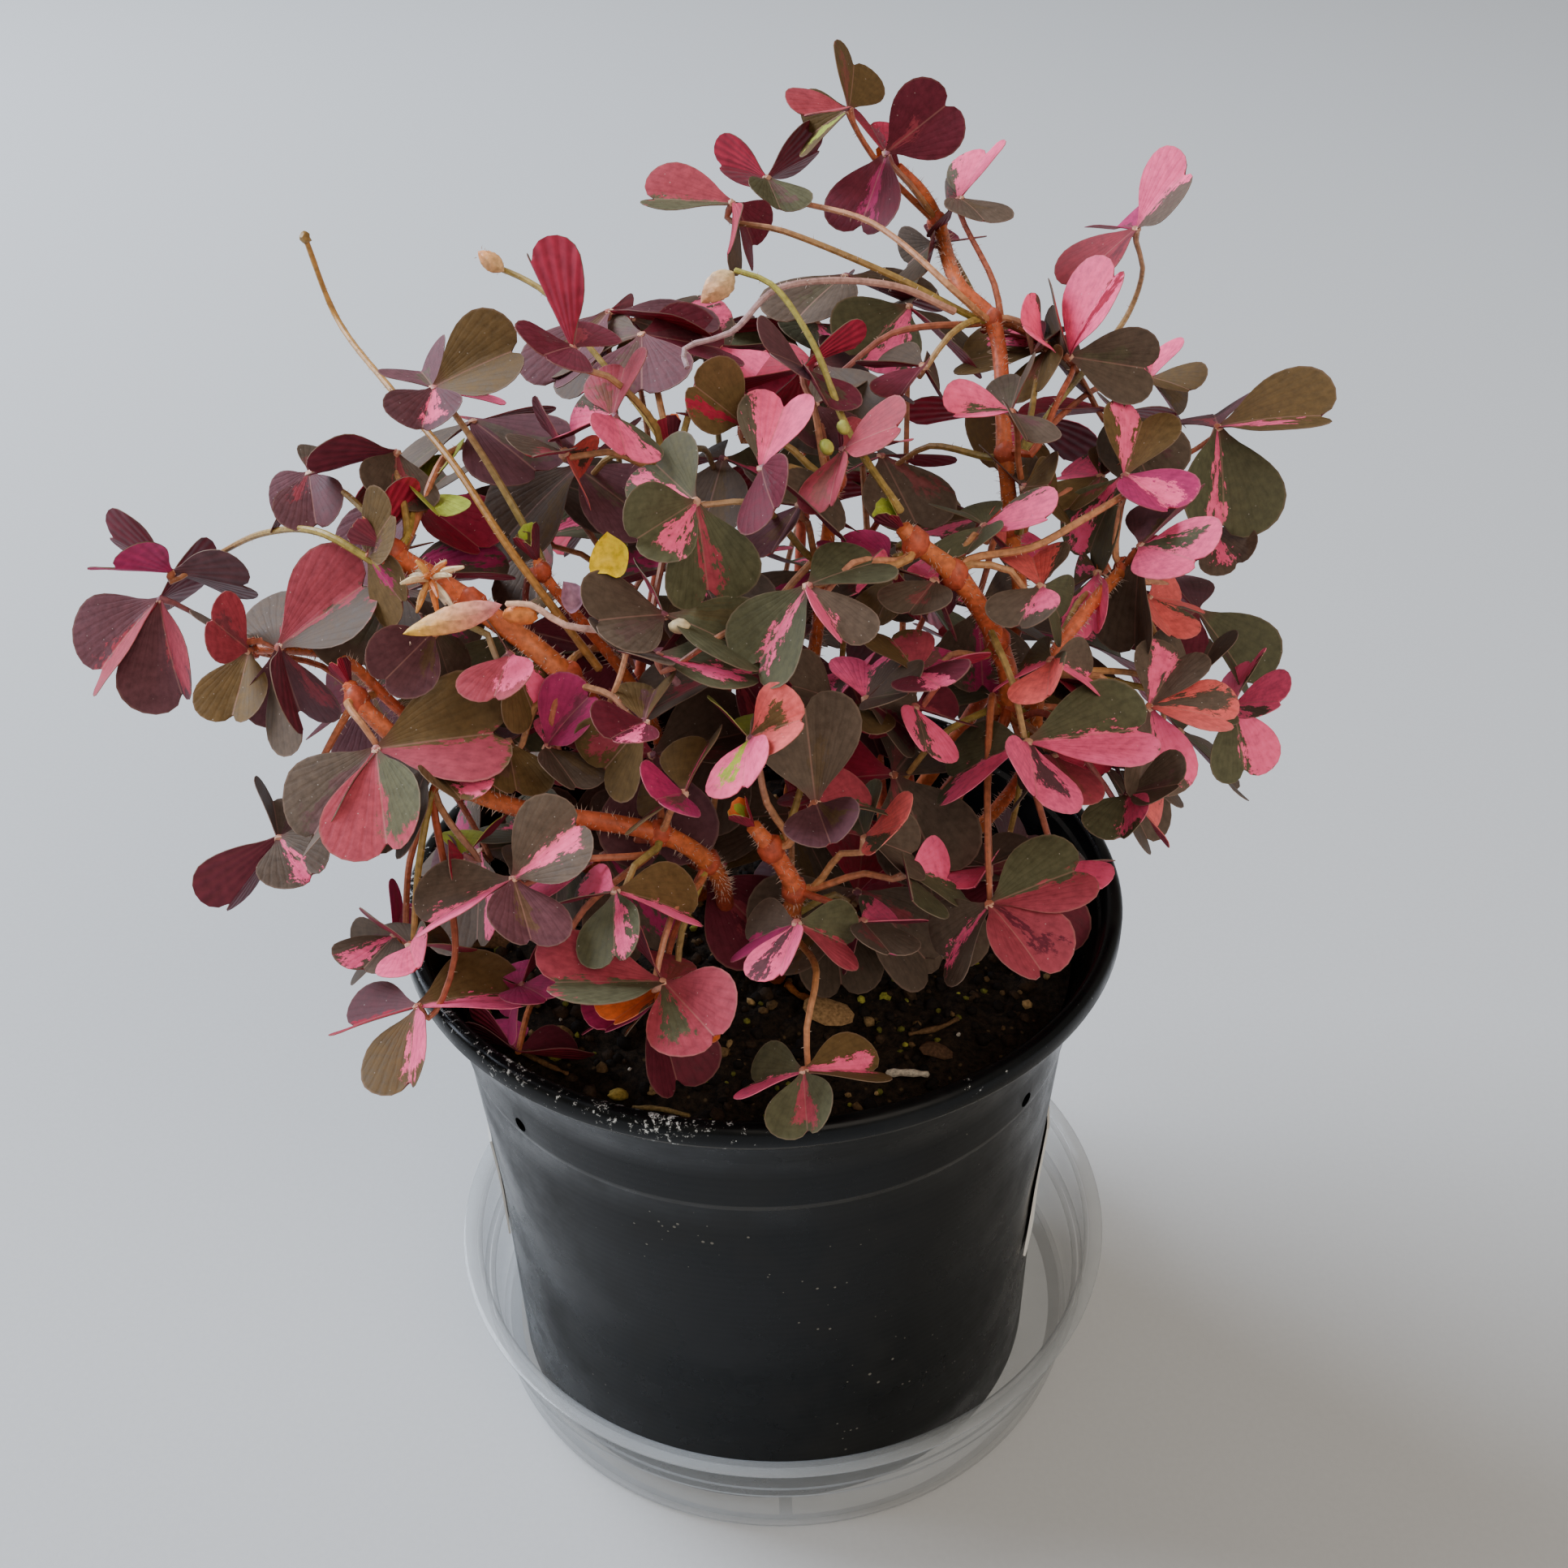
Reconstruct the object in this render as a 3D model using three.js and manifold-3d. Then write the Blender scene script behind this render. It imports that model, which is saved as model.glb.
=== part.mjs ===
// Potted oxalis: a bushy clover-leaved plant in a round black nursery pot on a clear saucer.
// Millimetres, +Z up. The pot's axis is X = 0, Y = 0, and Z = 0 is the underside of the saucer.
// +X is the right and -Y the front of the plant as it was photographed.

import * as THREE from "three";
import { mergeVertices } from "three/addons/utils/BufferGeometryUtils.js";
import Module from "manifold-3d";

const wasm = await Module();
wasm.setup();

// Driving dimensions

const GAP = 0.3; // air kept between pieces that rest on or grow from each other
const SLIVER = 0.004; // edges shorter than this are closed up

const POT = {
  rimRadius: 60, // a 12 cm nursery pot
  rimTop: 103,
  rimBand: 4,
  rimInner: 57.2,
  wall: 1.2,
  footRadius: 49.1,
  footBottom: 1.5,
  floorBottom: 3.6,
  floorTop: 5.0,
  footRing: 5, // width of the ring that the pot stands on
  bevel: 0.6, // on the rim band's edges
  segments: 32,
};

// Outer wall of the pot as [radius, height], from the foot up to the flare under the rim band.
const POT_WALL = [
  [49.1, 1.5],
  [49.9, 45],
  [52.2, 75],
  [53.1, 86],
  [55.6, 94],
  [57.4, 99],
];

const DRAIN = { count: 6, radius: 3.4, ring: 37 };
const HANGER = { angles: [-138, -39, 41, 139], height: 81.7, radius: 1.2 };

const SAUCER = {
  offset: [2.2, 1.4], // the pot doesn't stand quite in the middle of it
  floorRadius: 55.8,
  floor: 1.2,
  stepHeight: 12.5,
  rimHeight: 23.6,
  rimRadius: 61.3,
  rimInner: 57.5,
  wall: 1.0,
};

const SOIL = { edgeTop: 89.5, crownTop: 91.5 };

// The room taken by the soil, wall and rim together, as [radius, height].
const GROUND_PROFILE = [
  [0, 6],
  [57, 6],
  [60.3, 96],
  [60.3, 103.3],
  [56.7, 103.3],
  [55, 89.8],
  [20, 91.4],
  [0, 91.8],
];

// The blank strip, from its right end round the rear to its left end, in degrees from +X.
const LABEL = { bottom: 31, top: 55, thickness: 0.4, clear: 0.2, rightEnd: -24, leftEnd: 194,
  bends: 12 };

const LEAF = {
  thickness: 0.55,
  minLength: 12.2,
  maxLength: 16.6,
  halfWidth: 0.55, // of the leaflet's length
  outline: [[0.94, -1], [0.82, 0], [0.94, 1]], // lobe, notch, lobe as shares of length and half width
  stalkRadius: 0.6,
  neck: 2.2, // how far below the hub the stalk turns to its node
};

// The thickened node that a shoot's leaf stalks grow from.
const COLLAR = {
  reach: 2.3, // beyond the stem's own radius
  clear: 0.35, // extra room between stem and leaf stalk
};

const CLUSTER_COLOURS = [0x433f37, 0x4a4a3a, 0x53404a, 0x6a3a44, 0x57503a];

// The plant was read from one photograph of 1932 x 1932 pixels. A plant point is a pixel and
// how far it lies behind the canopy's front, measured along the sight line through that pixel.

const VIEW = {
  focal: 2200,
  centre: [966, 966],
  eye: new THREE.Vector3(0, -240.76, 283.95),
  forward: new THREE.Vector3(0.01359, 0.82872, -0.55949),
  right: new THREE.Vector3(0.99952, -0.02691, -0.01558),
  up: new THREE.Vector3(0.02797, 0.55901, 0.82869),
};

// The canopy's front is an ellipsoid.
const CANOPY = {
  centre: new THREE.Vector3(-4, 30, 88),
  radii: new THREE.Vector3(97, 84, 118),
};

// How far a leaflet may stand from its leaf's plane and roll about its midrib, and how far
// apart neighbours stay round the stalk, in degrees.
const EASE = { lowest: -48, highest: 34, roll: 42, apart: 66, apartOfFour: 52, rounds: 12 };

// How leaves that crowd each other are spread: the distances tried along the sight line, and
// where each blade and stalk is tested, as shares of the leaflet's length and of the stalk.
const SPREAD = {
  slides: [0, 1.5, -1.5, 3, -3, 4.5, -4.5, 6, 8, 10, 12],
  places: [[0.35, 0], [0.8, 0], [0.6, 0.3], [0.6, -0.3], [0.95, 0.36], [0.95, -0.36]],
  stalk: [0.35, 0.6, 0.85],
  near: 3.4,
  stay: 0.4,
  rounds: 4,
};

// Shoot nodes where leaf stalks grow, as [column, row, depth behind the canopy's front].
const NODES = {
  crown_tip: [1155, 275, 9],
  crown: [1222, 395, 14],
  crown_low: [1238, 560, 20],
  crown_base: [1246, 650, 28],
  heart_tip: [1128, 668, 4],
  heart: [1176, 707, 7],
  heart_low: [1228, 790, 15],
  heart_base: [1240, 868, 24],
  right_tip: [1385, 700, 12],
  right: [1290, 822, 15],
  front_tip: [950, 1045, 9],
  front: [979, 1096, 13],
  front_base: [972, 1130, 19],
  left_tip: [484, 682, 3],
  left: [582, 744, 7],
  left_low: [700, 835, 13],
  drop_tip: [440, 862, 5],
  drop: [545, 955, 9],
  drop_low: [813, 1027, 13],
  drop_base: [872, 1062, 19],
  side_tip: [312, 799, 3],
  mid: [1030, 590, 13],
  mid_low: [1018, 680, 24],
  back_left: [830, 572, 20],
  up_left: [668, 705, 14],
};

// Stems, each a list of nodes or points from the tip down. The last entry is a place on the
// soil in millimetres.
const STEMS = [
  { name: "stem_crown", radius: 1.25, way: [[1106, 206, 8], [1138, 240, 9], "crown_tip",
    [1184, 355, 12], "crown", "crown_low", "crown_base", [1252, 770, 38]], foot: [17, 14] },
  { name: "stem_heart", radius: 1.6, way: [[1112, 650, 3], "heart_tip", "heart", "heart_low",
    "heart_base"], foot: [13, 2] },
  { name: "stem_right", radius: 1.1, way: [[1405, 684, 11], "right_tip", "right", [1262, 950, 34]],
    foot: [24, 6] },
  { name: "stem_front", radius: 1.5, way: [[928, 1018, 7], "front_tip", "front", "front_base"],
    foot: [2, -12] },
  { name: "stem_left", radius: 1.7, way: [[470, 672, 2], "left_tip", "left", "left_low"],
    foot: [-11, 10] },
  { name: "stem_drop", radius: 1.4, way: [[430, 842, 4], "drop_tip", "drop", [625, 992, 10], "drop_low",
    "drop_base"], foot: [-6, -3] },
  { name: "stem_side", radius: 0.9, way: [[300, 797, 2], "side_tip", [422, 812, 10], [485, 868, 13]],
    foot: [-20, 4] },
  { name: "stem_mid", radius: 1.1, way: [[1040, 566, 12], "mid", "mid_low", [1005, 790, 40]],
    foot: [3, 20] },
  { name: "stem_back_left", radius: 1.1, way: [[826, 552, 19], "back_left", [870, 760, 38]],
    foot: [-6, 27] },
  { name: "stem_up_left", radius: 0.9, way: [[662, 690, 13], "up_left", [800, 880, 34]],
    foot: [-18, 16] },
];

// Leaves read from the photograph: node, hub [column, row, depth], stalk points, then each
// leaflet's notch [column, row] and how broadly it shows (1 is full face, minus is from below).
const LEAVES = [
  ["crown_tip", [1092, 188, 0], [[1120, 226, 2]],
    [[1168, 125, 1.0], [1060, 284, 0.8], [1066, 146, 0.35]]],
  ["crown_tip", [1046, 134, 2], [[1085, 205, 5]], [[1052, 62, 0.6], [978, 136, 0.3], [1012, 200, 0.6]]],
  ["crown", [1182, 244, 2], [[1225, 350, 9]], [[1220, 172, 0.5], [1158, 270, 0.4], [1222, 268, 0.4]]],
  ["crown", [1150, 300, 16], [[1190, 345, 19]], [[1112, 330, 0.9], [1140, 344, 0.4], [1190, 290, 0.4]]],
  ["crown", [945, 218, 4], [[1075, 275, 6], [1180, 362, 7]],
    [[1012, 170, -0.5], [884, 192, -0.7], [965, 268, 0.8]]],
  ["crown", [904, 250, 0], [[966, 285, 3], [1100, 340, 9]],
    [[806, 270, 0.5], [911, 328, -0.4], [945, 316, 0.7]]],
  ["crown", [1286, 420, 9], [], [[1278, 371, 0.4], [1237, 400, 0.4], [1310, 388, 0.5]]],
  ["crown", [1138, 450, 14], [], [[1066, 446, 0.3], [1100, 490, 0.4], [1160, 492, 0.5]]],
  ["crown_low", [1400, 281, 4], [[1408, 330, 7], [1392, 383, 10], [1300, 500, 16]],
    [[1462, 205, 0.6], [1322, 346, 0.5], [1366, 270, 0.6]]],
  ["crown_low", [1316, 439, 4], [[1305, 490, 8], [1270, 560, 14]],
    [[1292, 358, 0.3], [1368, 338, 0.5], [1416, 451, 1.1]]],
  ["crown_low", [1418, 465, 9], [], [[1470, 440, 0.5], [1477, 478, 0.5], [1440, 505, 0.4]]],
  ["crown_low", [1291, 430, 7], [], [[1186, 437, 0.5], [1262, 486, 0.4], [1330, 480, 0.4]]],
  ["crown_base", [1356, 586, 14], [], [[1291, 575, 0.5], [1304, 624, 0.5], [1400, 560, 0.4]]],
  ["crown_base", [1262, 600, 18], [], [[1320, 612, 0.8], [1290, 560, 0.5], [1222, 560, 0.5]]],
  ["crown_base", [1245, 506, 12], [], [[1165, 500, 0.5], [1275, 545, 0.4], [1262, 455, 0.4]]],
  ["heart", [1501, 525, 0], [[1453, 565, 3], [1396, 603, 4], [1333, 641, 4], [1270, 675, 5]],
    [[1490, 494, 1.2], [1628, 500, 0.5], [1516, 647, 0.85]]],
  ["heart", [1213, 647, 10], [], [[1235, 692, 0.8], [1184, 690, 0.6], [1180, 612, 0.7],
    [1302, 635, 0.5]]],
  ["heart", [1283, 722, 4], [], [[1247, 774, 0.8], [1298, 778, 0.7], [1281, 681, 1.1]]],
  ["heart_tip", [995, 721, 0], [], [[934, 819, 0.8], [1088, 682, 0.6], [1054, 796, 0.5]]],
  ["heart_tip", [811, 806, 4], [[877, 790, 2], [997, 724, -1], [1080, 702, 0]],
    [[933, 831, 0.6], [824, 785, 0.5], [745, 800, 0.4]]],
  ["heart_tip", [1097, 690, 6], [], [[1042, 738, -0.6], [1020, 664, 0.4], [1118, 745, 0.5]]],
  ["heart_tip", [1105, 704, 15], [], [[1075, 785, 0.7], [1130, 760, 0.5], [1060, 690, 0.5]]],
  ["heart", [1152, 715, 9], [], [[1112, 762, 0.8], [1152, 775, 0.4], [1118, 698, 0.5]]],
  ["heart_low", [1130, 830, 5], [], [[1107, 766, 0.9], [1192, 797, 0.4], [1160, 836, 0.5]]],
  ["heart_low", [1067, 861, 5], [], [[1088, 802, 0.9], [1140, 838, 0.4], [1130, 915, 0.7]]],
  ["heart_low", [1127, 870, 13], [], [[1150, 935, 0.5], [1108, 908, 0.5], [1180, 885, 0.5]]],
  ["heart_low", [1267, 914, 0], [[1247, 839, 3], [1222, 780, 8]],
    [[1150, 955, 0.6], [1408, 898, 0.75], [1285, 995, 0.6]]],
  ["heart_base", [1297, 930, 9], [], [[1365, 950, -0.8], [1330, 985, 0.5], [1255, 985, 0.4]]],
  ["heart_base", [1391, 977, 3], [[1360, 966, 5], [1290, 880, 12]],
    [[1374, 1037, 0.85], [1443, 1025, 0.5], [1462, 950, 0.6], [1382, 935, 0.6]]],
  ["heart_base", [1219, 1114, 0], [[1217, 1040, 4], [1217, 947, 8], [1222, 860, 13]],
    [[1328, 1069, 0.8], [1293, 1194, 0.8], [1148, 1188, 0.75]]],
  ["heart_base", [1217, 1066, 7], [[1218, 950, 14]],
    [[1135, 1040, 0.7], [1288, 1030, 0.5], [1195, 1100, 0.5]]],
  ["heart_base", [1300, 1065, 11], [[1262, 930, 18]],
    [[1350, 1048, 0.6], [1352, 1098, 0.5], [1290, 1120, 0.4]]],
  ["right_tip", [1386, 585, 6], [], [[1413, 502, 1.0], [1330, 683, 0.7], [1455, 625, 0.6]]],
  ["right_tip", [1405, 672, 4], [], [[1392, 800, 0.6], [1485, 686, 0.7], [1468, 612, 0.35]]],
  ["right_tip", [1493, 650, 9], [], [[1533, 706, 1.0], [1537, 615, 0.5], [1450, 690, 0.4]]],
  ["right_tip", [1415, 735, 13], [], [[1450, 795, 0.6], [1465, 742, 0.6], [1380, 770, 0.5]]],
  ["right", [1352, 705, 13], [], [[1310, 726, 0.5], [1335, 787, 0.6], [1380, 760, 0.5]]],
  ["right", [1295, 813, 3], [], [[1240, 826, 0.5], [1357, 836, 0.9], [1287, 866, 0.7]]],
  ["right", [1417, 870, 0], [[1355, 833, 6]], [[1461, 793, 0.95], [1500, 915, 0.65], [1462, 962, 0.8]]],
  ["right", [1519, 868, 2], [[1420, 850, 12]], [[1588, 861, 0.65], [1537, 797, 0.5], [1545, 950, 0.8]]],
  ["right", [1470, 840, 12], [[1400, 830, 14]], [[1502, 780, 0.6], [1495, 890, 0.5], [1420, 800, 0.5]]],
  ["front_tip", [925, 908, 0], [[945, 990, 5]], [[945, 835, 0.7], [988, 924, 0.7], [903, 975, 0.55],
    [897, 884, 0.4]]],
  ["front_tip", [1005, 989, 2], [], [[1012, 870, 1.0], [1028, 1052, 1.0], [1076, 972, 0.7]]],
  ["front", [1066, 1031, 5], [], [[1095, 1099, 0.55], [1122, 1012, 0.6], [1100, 978, 0.5]]],
  ["front_tip", [1030, 864, 9], [], [[978, 838, 0.8], [1054, 818, 0.4], [1066, 897, 0.5]]],
  ["front", [1119, 1075, 6], [], [[1178, 1074, 0.9], [1128, 1118, 0.4], [1090, 1030, 0.4]]],
  ["front_base", [981, 1137, 1], [], [[905, 1162, 0.6], [955, 1216, 0.6], [1056, 1177, 0.8]]],
  ["front", [1063, 1135, 7], [], [[1106, 1182, -1.0], [1070, 1192, 0.5], [1120, 1130, 0.4]]],
  ["front_base", [990, 1319, -8], [[994, 1267, -5], [1006, 1198, 2]],
    [[912, 1334, 0.65], [995, 1409, 0.9], [1088, 1313, 0.65]]],
  ["drop_low", [842, 977, 2], [], [[872, 893, 0.6], [772, 1010, 0.6], [806, 945, 0.4]]],
  ["drop_low", [758, 1097, 1], [], [[752, 1190, 0.75], [859, 1118, 0.65], [693, 1106, 0.45]]],
  ["drop_low", [632, 1082, 0], [[700, 1062, 6]], [[668, 985, 0.8], [707, 1050, 0.55], [524, 1134, 0.55],
    [662, 1172, 0.85]]],
  ["drop_base", [818, 1209, -2], [[826, 1133, 4]],
    [[896, 1294, 1.0], [679, 1210, 0.55], [792, 1150, 0.4]]],
  ["drop_base", [820, 1218, 6], [], [[790, 1266, 0.7], [746, 1260, 0.6], [850, 1290, 0.5]]],
  ["drop_base", [805, 1228, 13], [], [[775, 1292, 0.9], [800, 1338, 0.8], [720, 1260, 0.4]]],
  ["drop_low", [641, 1214, 8], [[720, 1120, 12]],
    [[625, 1260, 0.6], [678, 1224, 0.6], [660, 1170, 0.4]]],
  ["left_tip", [212, 704, 1], [[260, 688, 0], [330, 656, -1], [400, 658, -1]],
    [[131, 647, -0.4], [117, 701, -0.35], [306, 719, -0.5]]],
  ["left_tip", [381, 582, 3], [], [[387, 653, 0.95], [332, 647, 0.4], [430, 560, 0.4]]],
  ["left_tip", [488, 556, 7], [], [[388, 575, -0.3], [460, 622, 0.5], [482, 640, -0.35]]],
  ["left_tip", [522, 608, 8], [], [[545, 550, 0.5], [548, 640, 0.5], [492, 636, 0.4]]],
  ["left_tip", [452, 684, 2], [], [[486, 613, 0.55], [507, 604, -0.3], [529, 661, 0.5],
    [504, 755, 0.6]]],
  ["left", [535, 777, 9], [], [[470, 842, 1.0], [560, 860, 0.5], [500, 720, 0.4]]],
  ["left", [630, 806, 9], [], [[600, 862, 0.6], [640, 893, 0.8], [600, 745, 0.4]]],
  ["left_low", [673, 919, 9], [], [[665, 832, 0.4], [722, 872, 0.5], [732, 972, 0.5]]],
  ["left_low", [625, 912, 6], [[660, 870, 9]], [[640, 992, 0.9], [657, 893, 0.4], [545, 950, 0.4]]],
  ["left_low", [794, 889, 3], [], [[806, 830, 0.85], [713, 880, 0.45], [760, 980, 0.85]]],
  ["side_tip", [196, 738, 0], [[250, 762, 1]], [[125, 848, 0.6], [182, 864, 0.6], [255, 700, -0.4]]],
  ["side_tip", [307, 801, 2], [], [[297, 737, 0.4], [256, 762, 0.4], [274, 885, 0.75]]],
  ["side_tip", [343, 797, 0], [], [[449, 718, 0.8], [357, 708, 0.5], [405, 878, 0.9],
    [366, 916, -0.3]]],
  ["drop_tip", [463, 923, 0], [], [[379, 1036, 0.55], [467, 1055, 0.85], [615, 900, 0.8]]],
  ["drop_tip", [343, 1031, 4], [[390, 950, 6]], [[388, 1082, 1.1], [292, 1125, -0.7], [335, 975, 0.4]]],
  ["drop", [528, 942, 8], [], [[487, 985, 0.7], [515, 1050, 0.6], [547, 1012, 0.6]]],
  ["drop", [570, 1055, 9], [], [[517, 1082, 0.6], [542, 1100, -0.4], [605, 1010, 0.5]]],
  ["drop", [514, 1239, 0], [[560, 1180, 5]], [[413, 1266, 0.5], [492, 1347, 0.6], [637, 1210, 0.6]]],
  ["drop", [486, 1153, 7], [], [[437, 1202, 0.8], [478, 1216, 0.4], [467, 1100, 0.3]]],
  ["drop", [505, 1163, 4], [], [[568, 1160, 0.5], [506, 1190, 0.6], [470, 1130, 0.4]]],
  ["mid", [990, 452, 8], [], [[953, 428, 0.5], [1060, 410, -0.35], [985, 497, 0.6], [1017, 510, 0.5]]],
  ["mid", [1004, 498, 13], [], [[1022, 556, 0.9], [960, 540, 0.5], [1050, 470, 0.5]]],
  ["mid", [938, 576, 2], [], [[974, 484, 0.9], [1033, 650, 0.3], [950, 636, 0.5]]],
  ["mid", [915, 522, 11], [], [[896, 440, 0.8], [855, 500, 0.5], [965, 500, 0.5]]],
  ["mid", [1039, 553, 4], [], [[1104, 545, 0.4], [1116, 512, 0.5], [1012, 634, 0.5]]],
  ["mid_low", [985, 622, 7], [], [[940, 696, 0.5], [945, 610, 0.5], [1045, 640, 0.5]]],
  ["mid_low", [857, 618, 0], [[927, 619, 4]], [[795, 560, 1.0], [775, 676, 1.0], [872, 735, 0.95]]],
  ["back_left", [706, 427, 2], [[748, 463, 5], [809, 528, 14]],
    [[655, 319, -0.5], [665, 435, 0.7], [712, 375, 0.9]]],
  ["back_left", [755, 512, 5], [], [[765, 440, 0.7], [695, 530, 0.5], [780, 562, 0.5]]],
  ["back_left", [696, 556, 5], [], [[688, 515, 0.4], [644, 562, 0.3], [690, 617, 0.9]]],
  ["back_left", [820, 757, 7], [], [[938, 800, 0.6], [805, 722, 0.5], [720, 762, 0.8]]],
  ["up_left", [534, 477, 3], [[556, 505, 5], [618, 599, 9]],
    [[631, 427, 0.8], [518, 449, 1.1], [517, 542, 0.95], [597, 484, 0.5]]],
];

// The rear of the plant isn't in the photograph. Its shoots stand in a half ring behind the
// visible ones, and their leaves fill the back of the canopy.
const REAR = {
  shoots: 6,
  leavesPerShoot: 3,
  seed: 4,
  firstAngle: 8,
  lastAngle: 172,
  centre: [2, 34],
  nodeReach: [24, 20],
  nodeHeights: [116, 146],
  hubReach: [42, 34],
  hubHeights: [112, 190],
  stemRadius: 1.0,
  collar: 1.0, // beyond the stem's own radius
  footRing: 30,
  footDepth: 0.5, // below the top of the soil
};

// Inner leaves fill the canopy behind the photographed ones. Each takes the roomiest of a few
// seeded places in an oval of the photograph and grows from the nearest shoot.
const INNER = {
  leaves: 40,
  seed: 23,
  middle: [985, 780],
  reach: [540, 400],
  depths: [9, 46],
  tries: 12,
  lowest: 106,
  stalkLengths: [13, 48],
};

// Thin bare stalks, a stem's worth of points [column, row, depth] from the tip down.
const STALKS = [
  { name: "tall_stalk", radius: 0.55, way: [[376, 293, 8], [411, 384, 9], [488, 487, 10],
    [557, 569, 10], [630, 679, 10], [739, 825, 16]] },
  { name: "old_stalk_right", radius: 0.5, way: [[847, 453, 3], [843, 430, 3], [900, 410, 3],
    [960, 355, 3], [1100, 352, 6], [1176, 384, 9]] },
  { name: "bud_stalk", radius: 0.5, way: [[906, 333, 0], [950, 350, 0], [1000, 420, 3], [1045, 530, 5],
    [1110, 630, 0]] },
  { name: "wilted_stalk", radius: 0.5, way: [[624, 744, 1], [653, 745, 2], [696, 770, 3], [776, 784, 5],
    [835, 842, 12]] },
];

// Closed buds and a spent flower: ovals from [column, row, depth] to [column, row] at the
// same distance from the eye. The small bud hangs on a thin stalk of its own.
const BUD_STALK = { radius: 0.45, sides: 5 };
const BUDS = [
  { name: "bud", radius: 2.0, from: [868, 369, 4], to: [898, 340], colour: 0xd98f62 },
  {
    name: "bud_small",
    radius: 1.5,
    from: [592, 312, -12],
    to: [620, 333],
    colour: 0xdb8a4e,
    stalk: [[616, 331, 5], [640, 341, 9], [676, 364, 13], [730, 432, 18], [790, 506, 20],
      [824, 558, 20]],
  },
  { name: "wilted_flower", radius: 1.8, from: [497, 781, -5], to: [613, 746], colour: 0xd39a3c },
];

// Small helpers

const deg = (a) => (a * Math.PI) / 180;

// A seeded random sequence, so the plant is the same every time.
function makeRandom(seed) {
  let state = seed >>> 0;
  return () => {
    state = (Math.imul(state, 1664525) + 1013904223) >>> 0;
    return state / 4294967296;
  };
}

function toSolid(geometry) {
  const bare = geometry.index ? geometry.clone() : geometry;
  bare.deleteAttribute("normal");
  bare.deleteAttribute("uv");
  const merged = mergeVertices(bare, 1e-4);
  return new wasm.Manifold(
    new wasm.Mesh({
      numProp: 3,
      vertProperties: Float32Array.from(merged.attributes.position.array),
      triVerts: Uint32Array.from(merged.index.array),
    }),
  );
}

function toGeometry(solid) {
  const mesh = solid.getMesh();
  const geometry = new THREE.BufferGeometry();
  geometry.setAttribute("position", new THREE.BufferAttribute(Float32Array.from(mesh.vertProperties),
    3));
  geometry.setIndex(new THREE.BufferAttribute(Uint32Array.from(mesh.triVerts), 1));
  geometry.computeVertexNormals();
  return geometry;
}

// The largest single body of a solid that a cut may have left in pieces.
function largestBody(solid) {
  const bodies = solid.decompose();
  bodies.sort((a, b) => b.volume() - a.volume());
  return bodies[0];
}

function turned(profile, segments) {
  const points = profile.map(([r, z]) => new THREE.Vector2(r, z));
  const lathe = new THREE.LatheGeometry(points, segments);
  lathe.rotateX(Math.PI / 2);
  return toSolid(lathe);
}

// A round rod of one radius along a smooth way through the points.
function rod(points, radius, sides, steps) {
  const section = new THREE.Shape();
  for (let i = 0; i < sides; i += 1) {
    const a = (2 * Math.PI * i) / sides;
    if (i === 0) {
      section.moveTo(radius * Math.cos(a), radius * Math.sin(a));
    } else {
      section.lineTo(radius * Math.cos(a), radius * Math.sin(a));
    }
  }
  const path = points.length > 2 ? new THREE.CatmullRomCurve3(points) : new THREE.LineCurve3(points[0],
    points[1]);
  return toSolid(new THREE.ExtrudeGeometry(section, { steps, extrudePath: path, curveSegments: 1 }));
}

// Sight lines

function sightLine([column, row]) {
  return VIEW.forward
    .clone()
    .addScaledVector(VIEW.right, (column - VIEW.centre[0]) / VIEW.focal)
    .addScaledVector(VIEW.up, (VIEW.centre[1] - row) / VIEW.focal);
}

// How far along its sight line a pixel meets the canopy's front, or passes closest to it.
function canopyDepth(pixel) {
  const line = sightLine(pixel).divide(CANOPY.radii);
  const start = VIEW.eye.clone().sub(CANOPY.centre).divide(CANOPY.radii);
  const a = line.dot(line);
  const b = start.dot(line);
  const c = start.dot(start) - 1;
  const root = b * b - a * c;
  return root < 0 ? -b / a : (-b - Math.sqrt(root)) / a;
}

function plantPoint([column, row, depth]) {
  const along = canopyDepth([column, row]) + depth;
  return VIEW.eye.clone().addScaledVector(sightLine([column, row]), along);
}

// A stem's foot, a little under the crown of the soil.
function soilPoint([x, y]) {
  return new THREE.Vector3(x, y, SOIL.crownTop - 0.5);
}

function wayPoint(entry) {
  return plantPoint(typeof entry === "string" ? NODES[entry] : entry);
}

// Leaves as places and directions

const UP = new THREE.Vector3(0, 0, 1);

// Where a leaflet of the given length ends on its notch's sight line: the near and far answer.
function leafletEnds(hub, notch, length) {
  const line = sightLine(notch);
  const offset = VIEW.eye.clone().sub(hub);
  const a = line.dot(line);
  const b = offset.dot(line);
  const root = b * b - a * (offset.dot(offset) - length * length);
  const spread = root > 0 ? Math.sqrt(root) : 0;
  return [(-b - spread) / a, (-b + spread) / a].map((t) =>
    VIEW.eye.clone().addScaledVector(line, t).sub(hub).normalize(),
  );
}

// The set of near and far answers that makes the most natural leaf: leaflets spread evenly
// round the stalk and lying close to level.
function settleLeaflets(choices) {
  let best = null;
  for (let code = 0; code < 2 ** choices.length; code += 1) {
    const set = choices.map((pair, i) => pair[(code >> i) & 1]);
    let cost = 0;
    set.forEach((m, i) => {
      cost += 0.6 * (m.z + 0.15) ** 2;
      for (let j = 0; j < i; j += 1) {
        cost += (m.dot(set[j]) + 0.35) ** 2;
      }
    });
    if (best === null || cost < best.cost - 1e-9) {
      best = { cost, set };
    }
  }
  return best.set;
}

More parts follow.
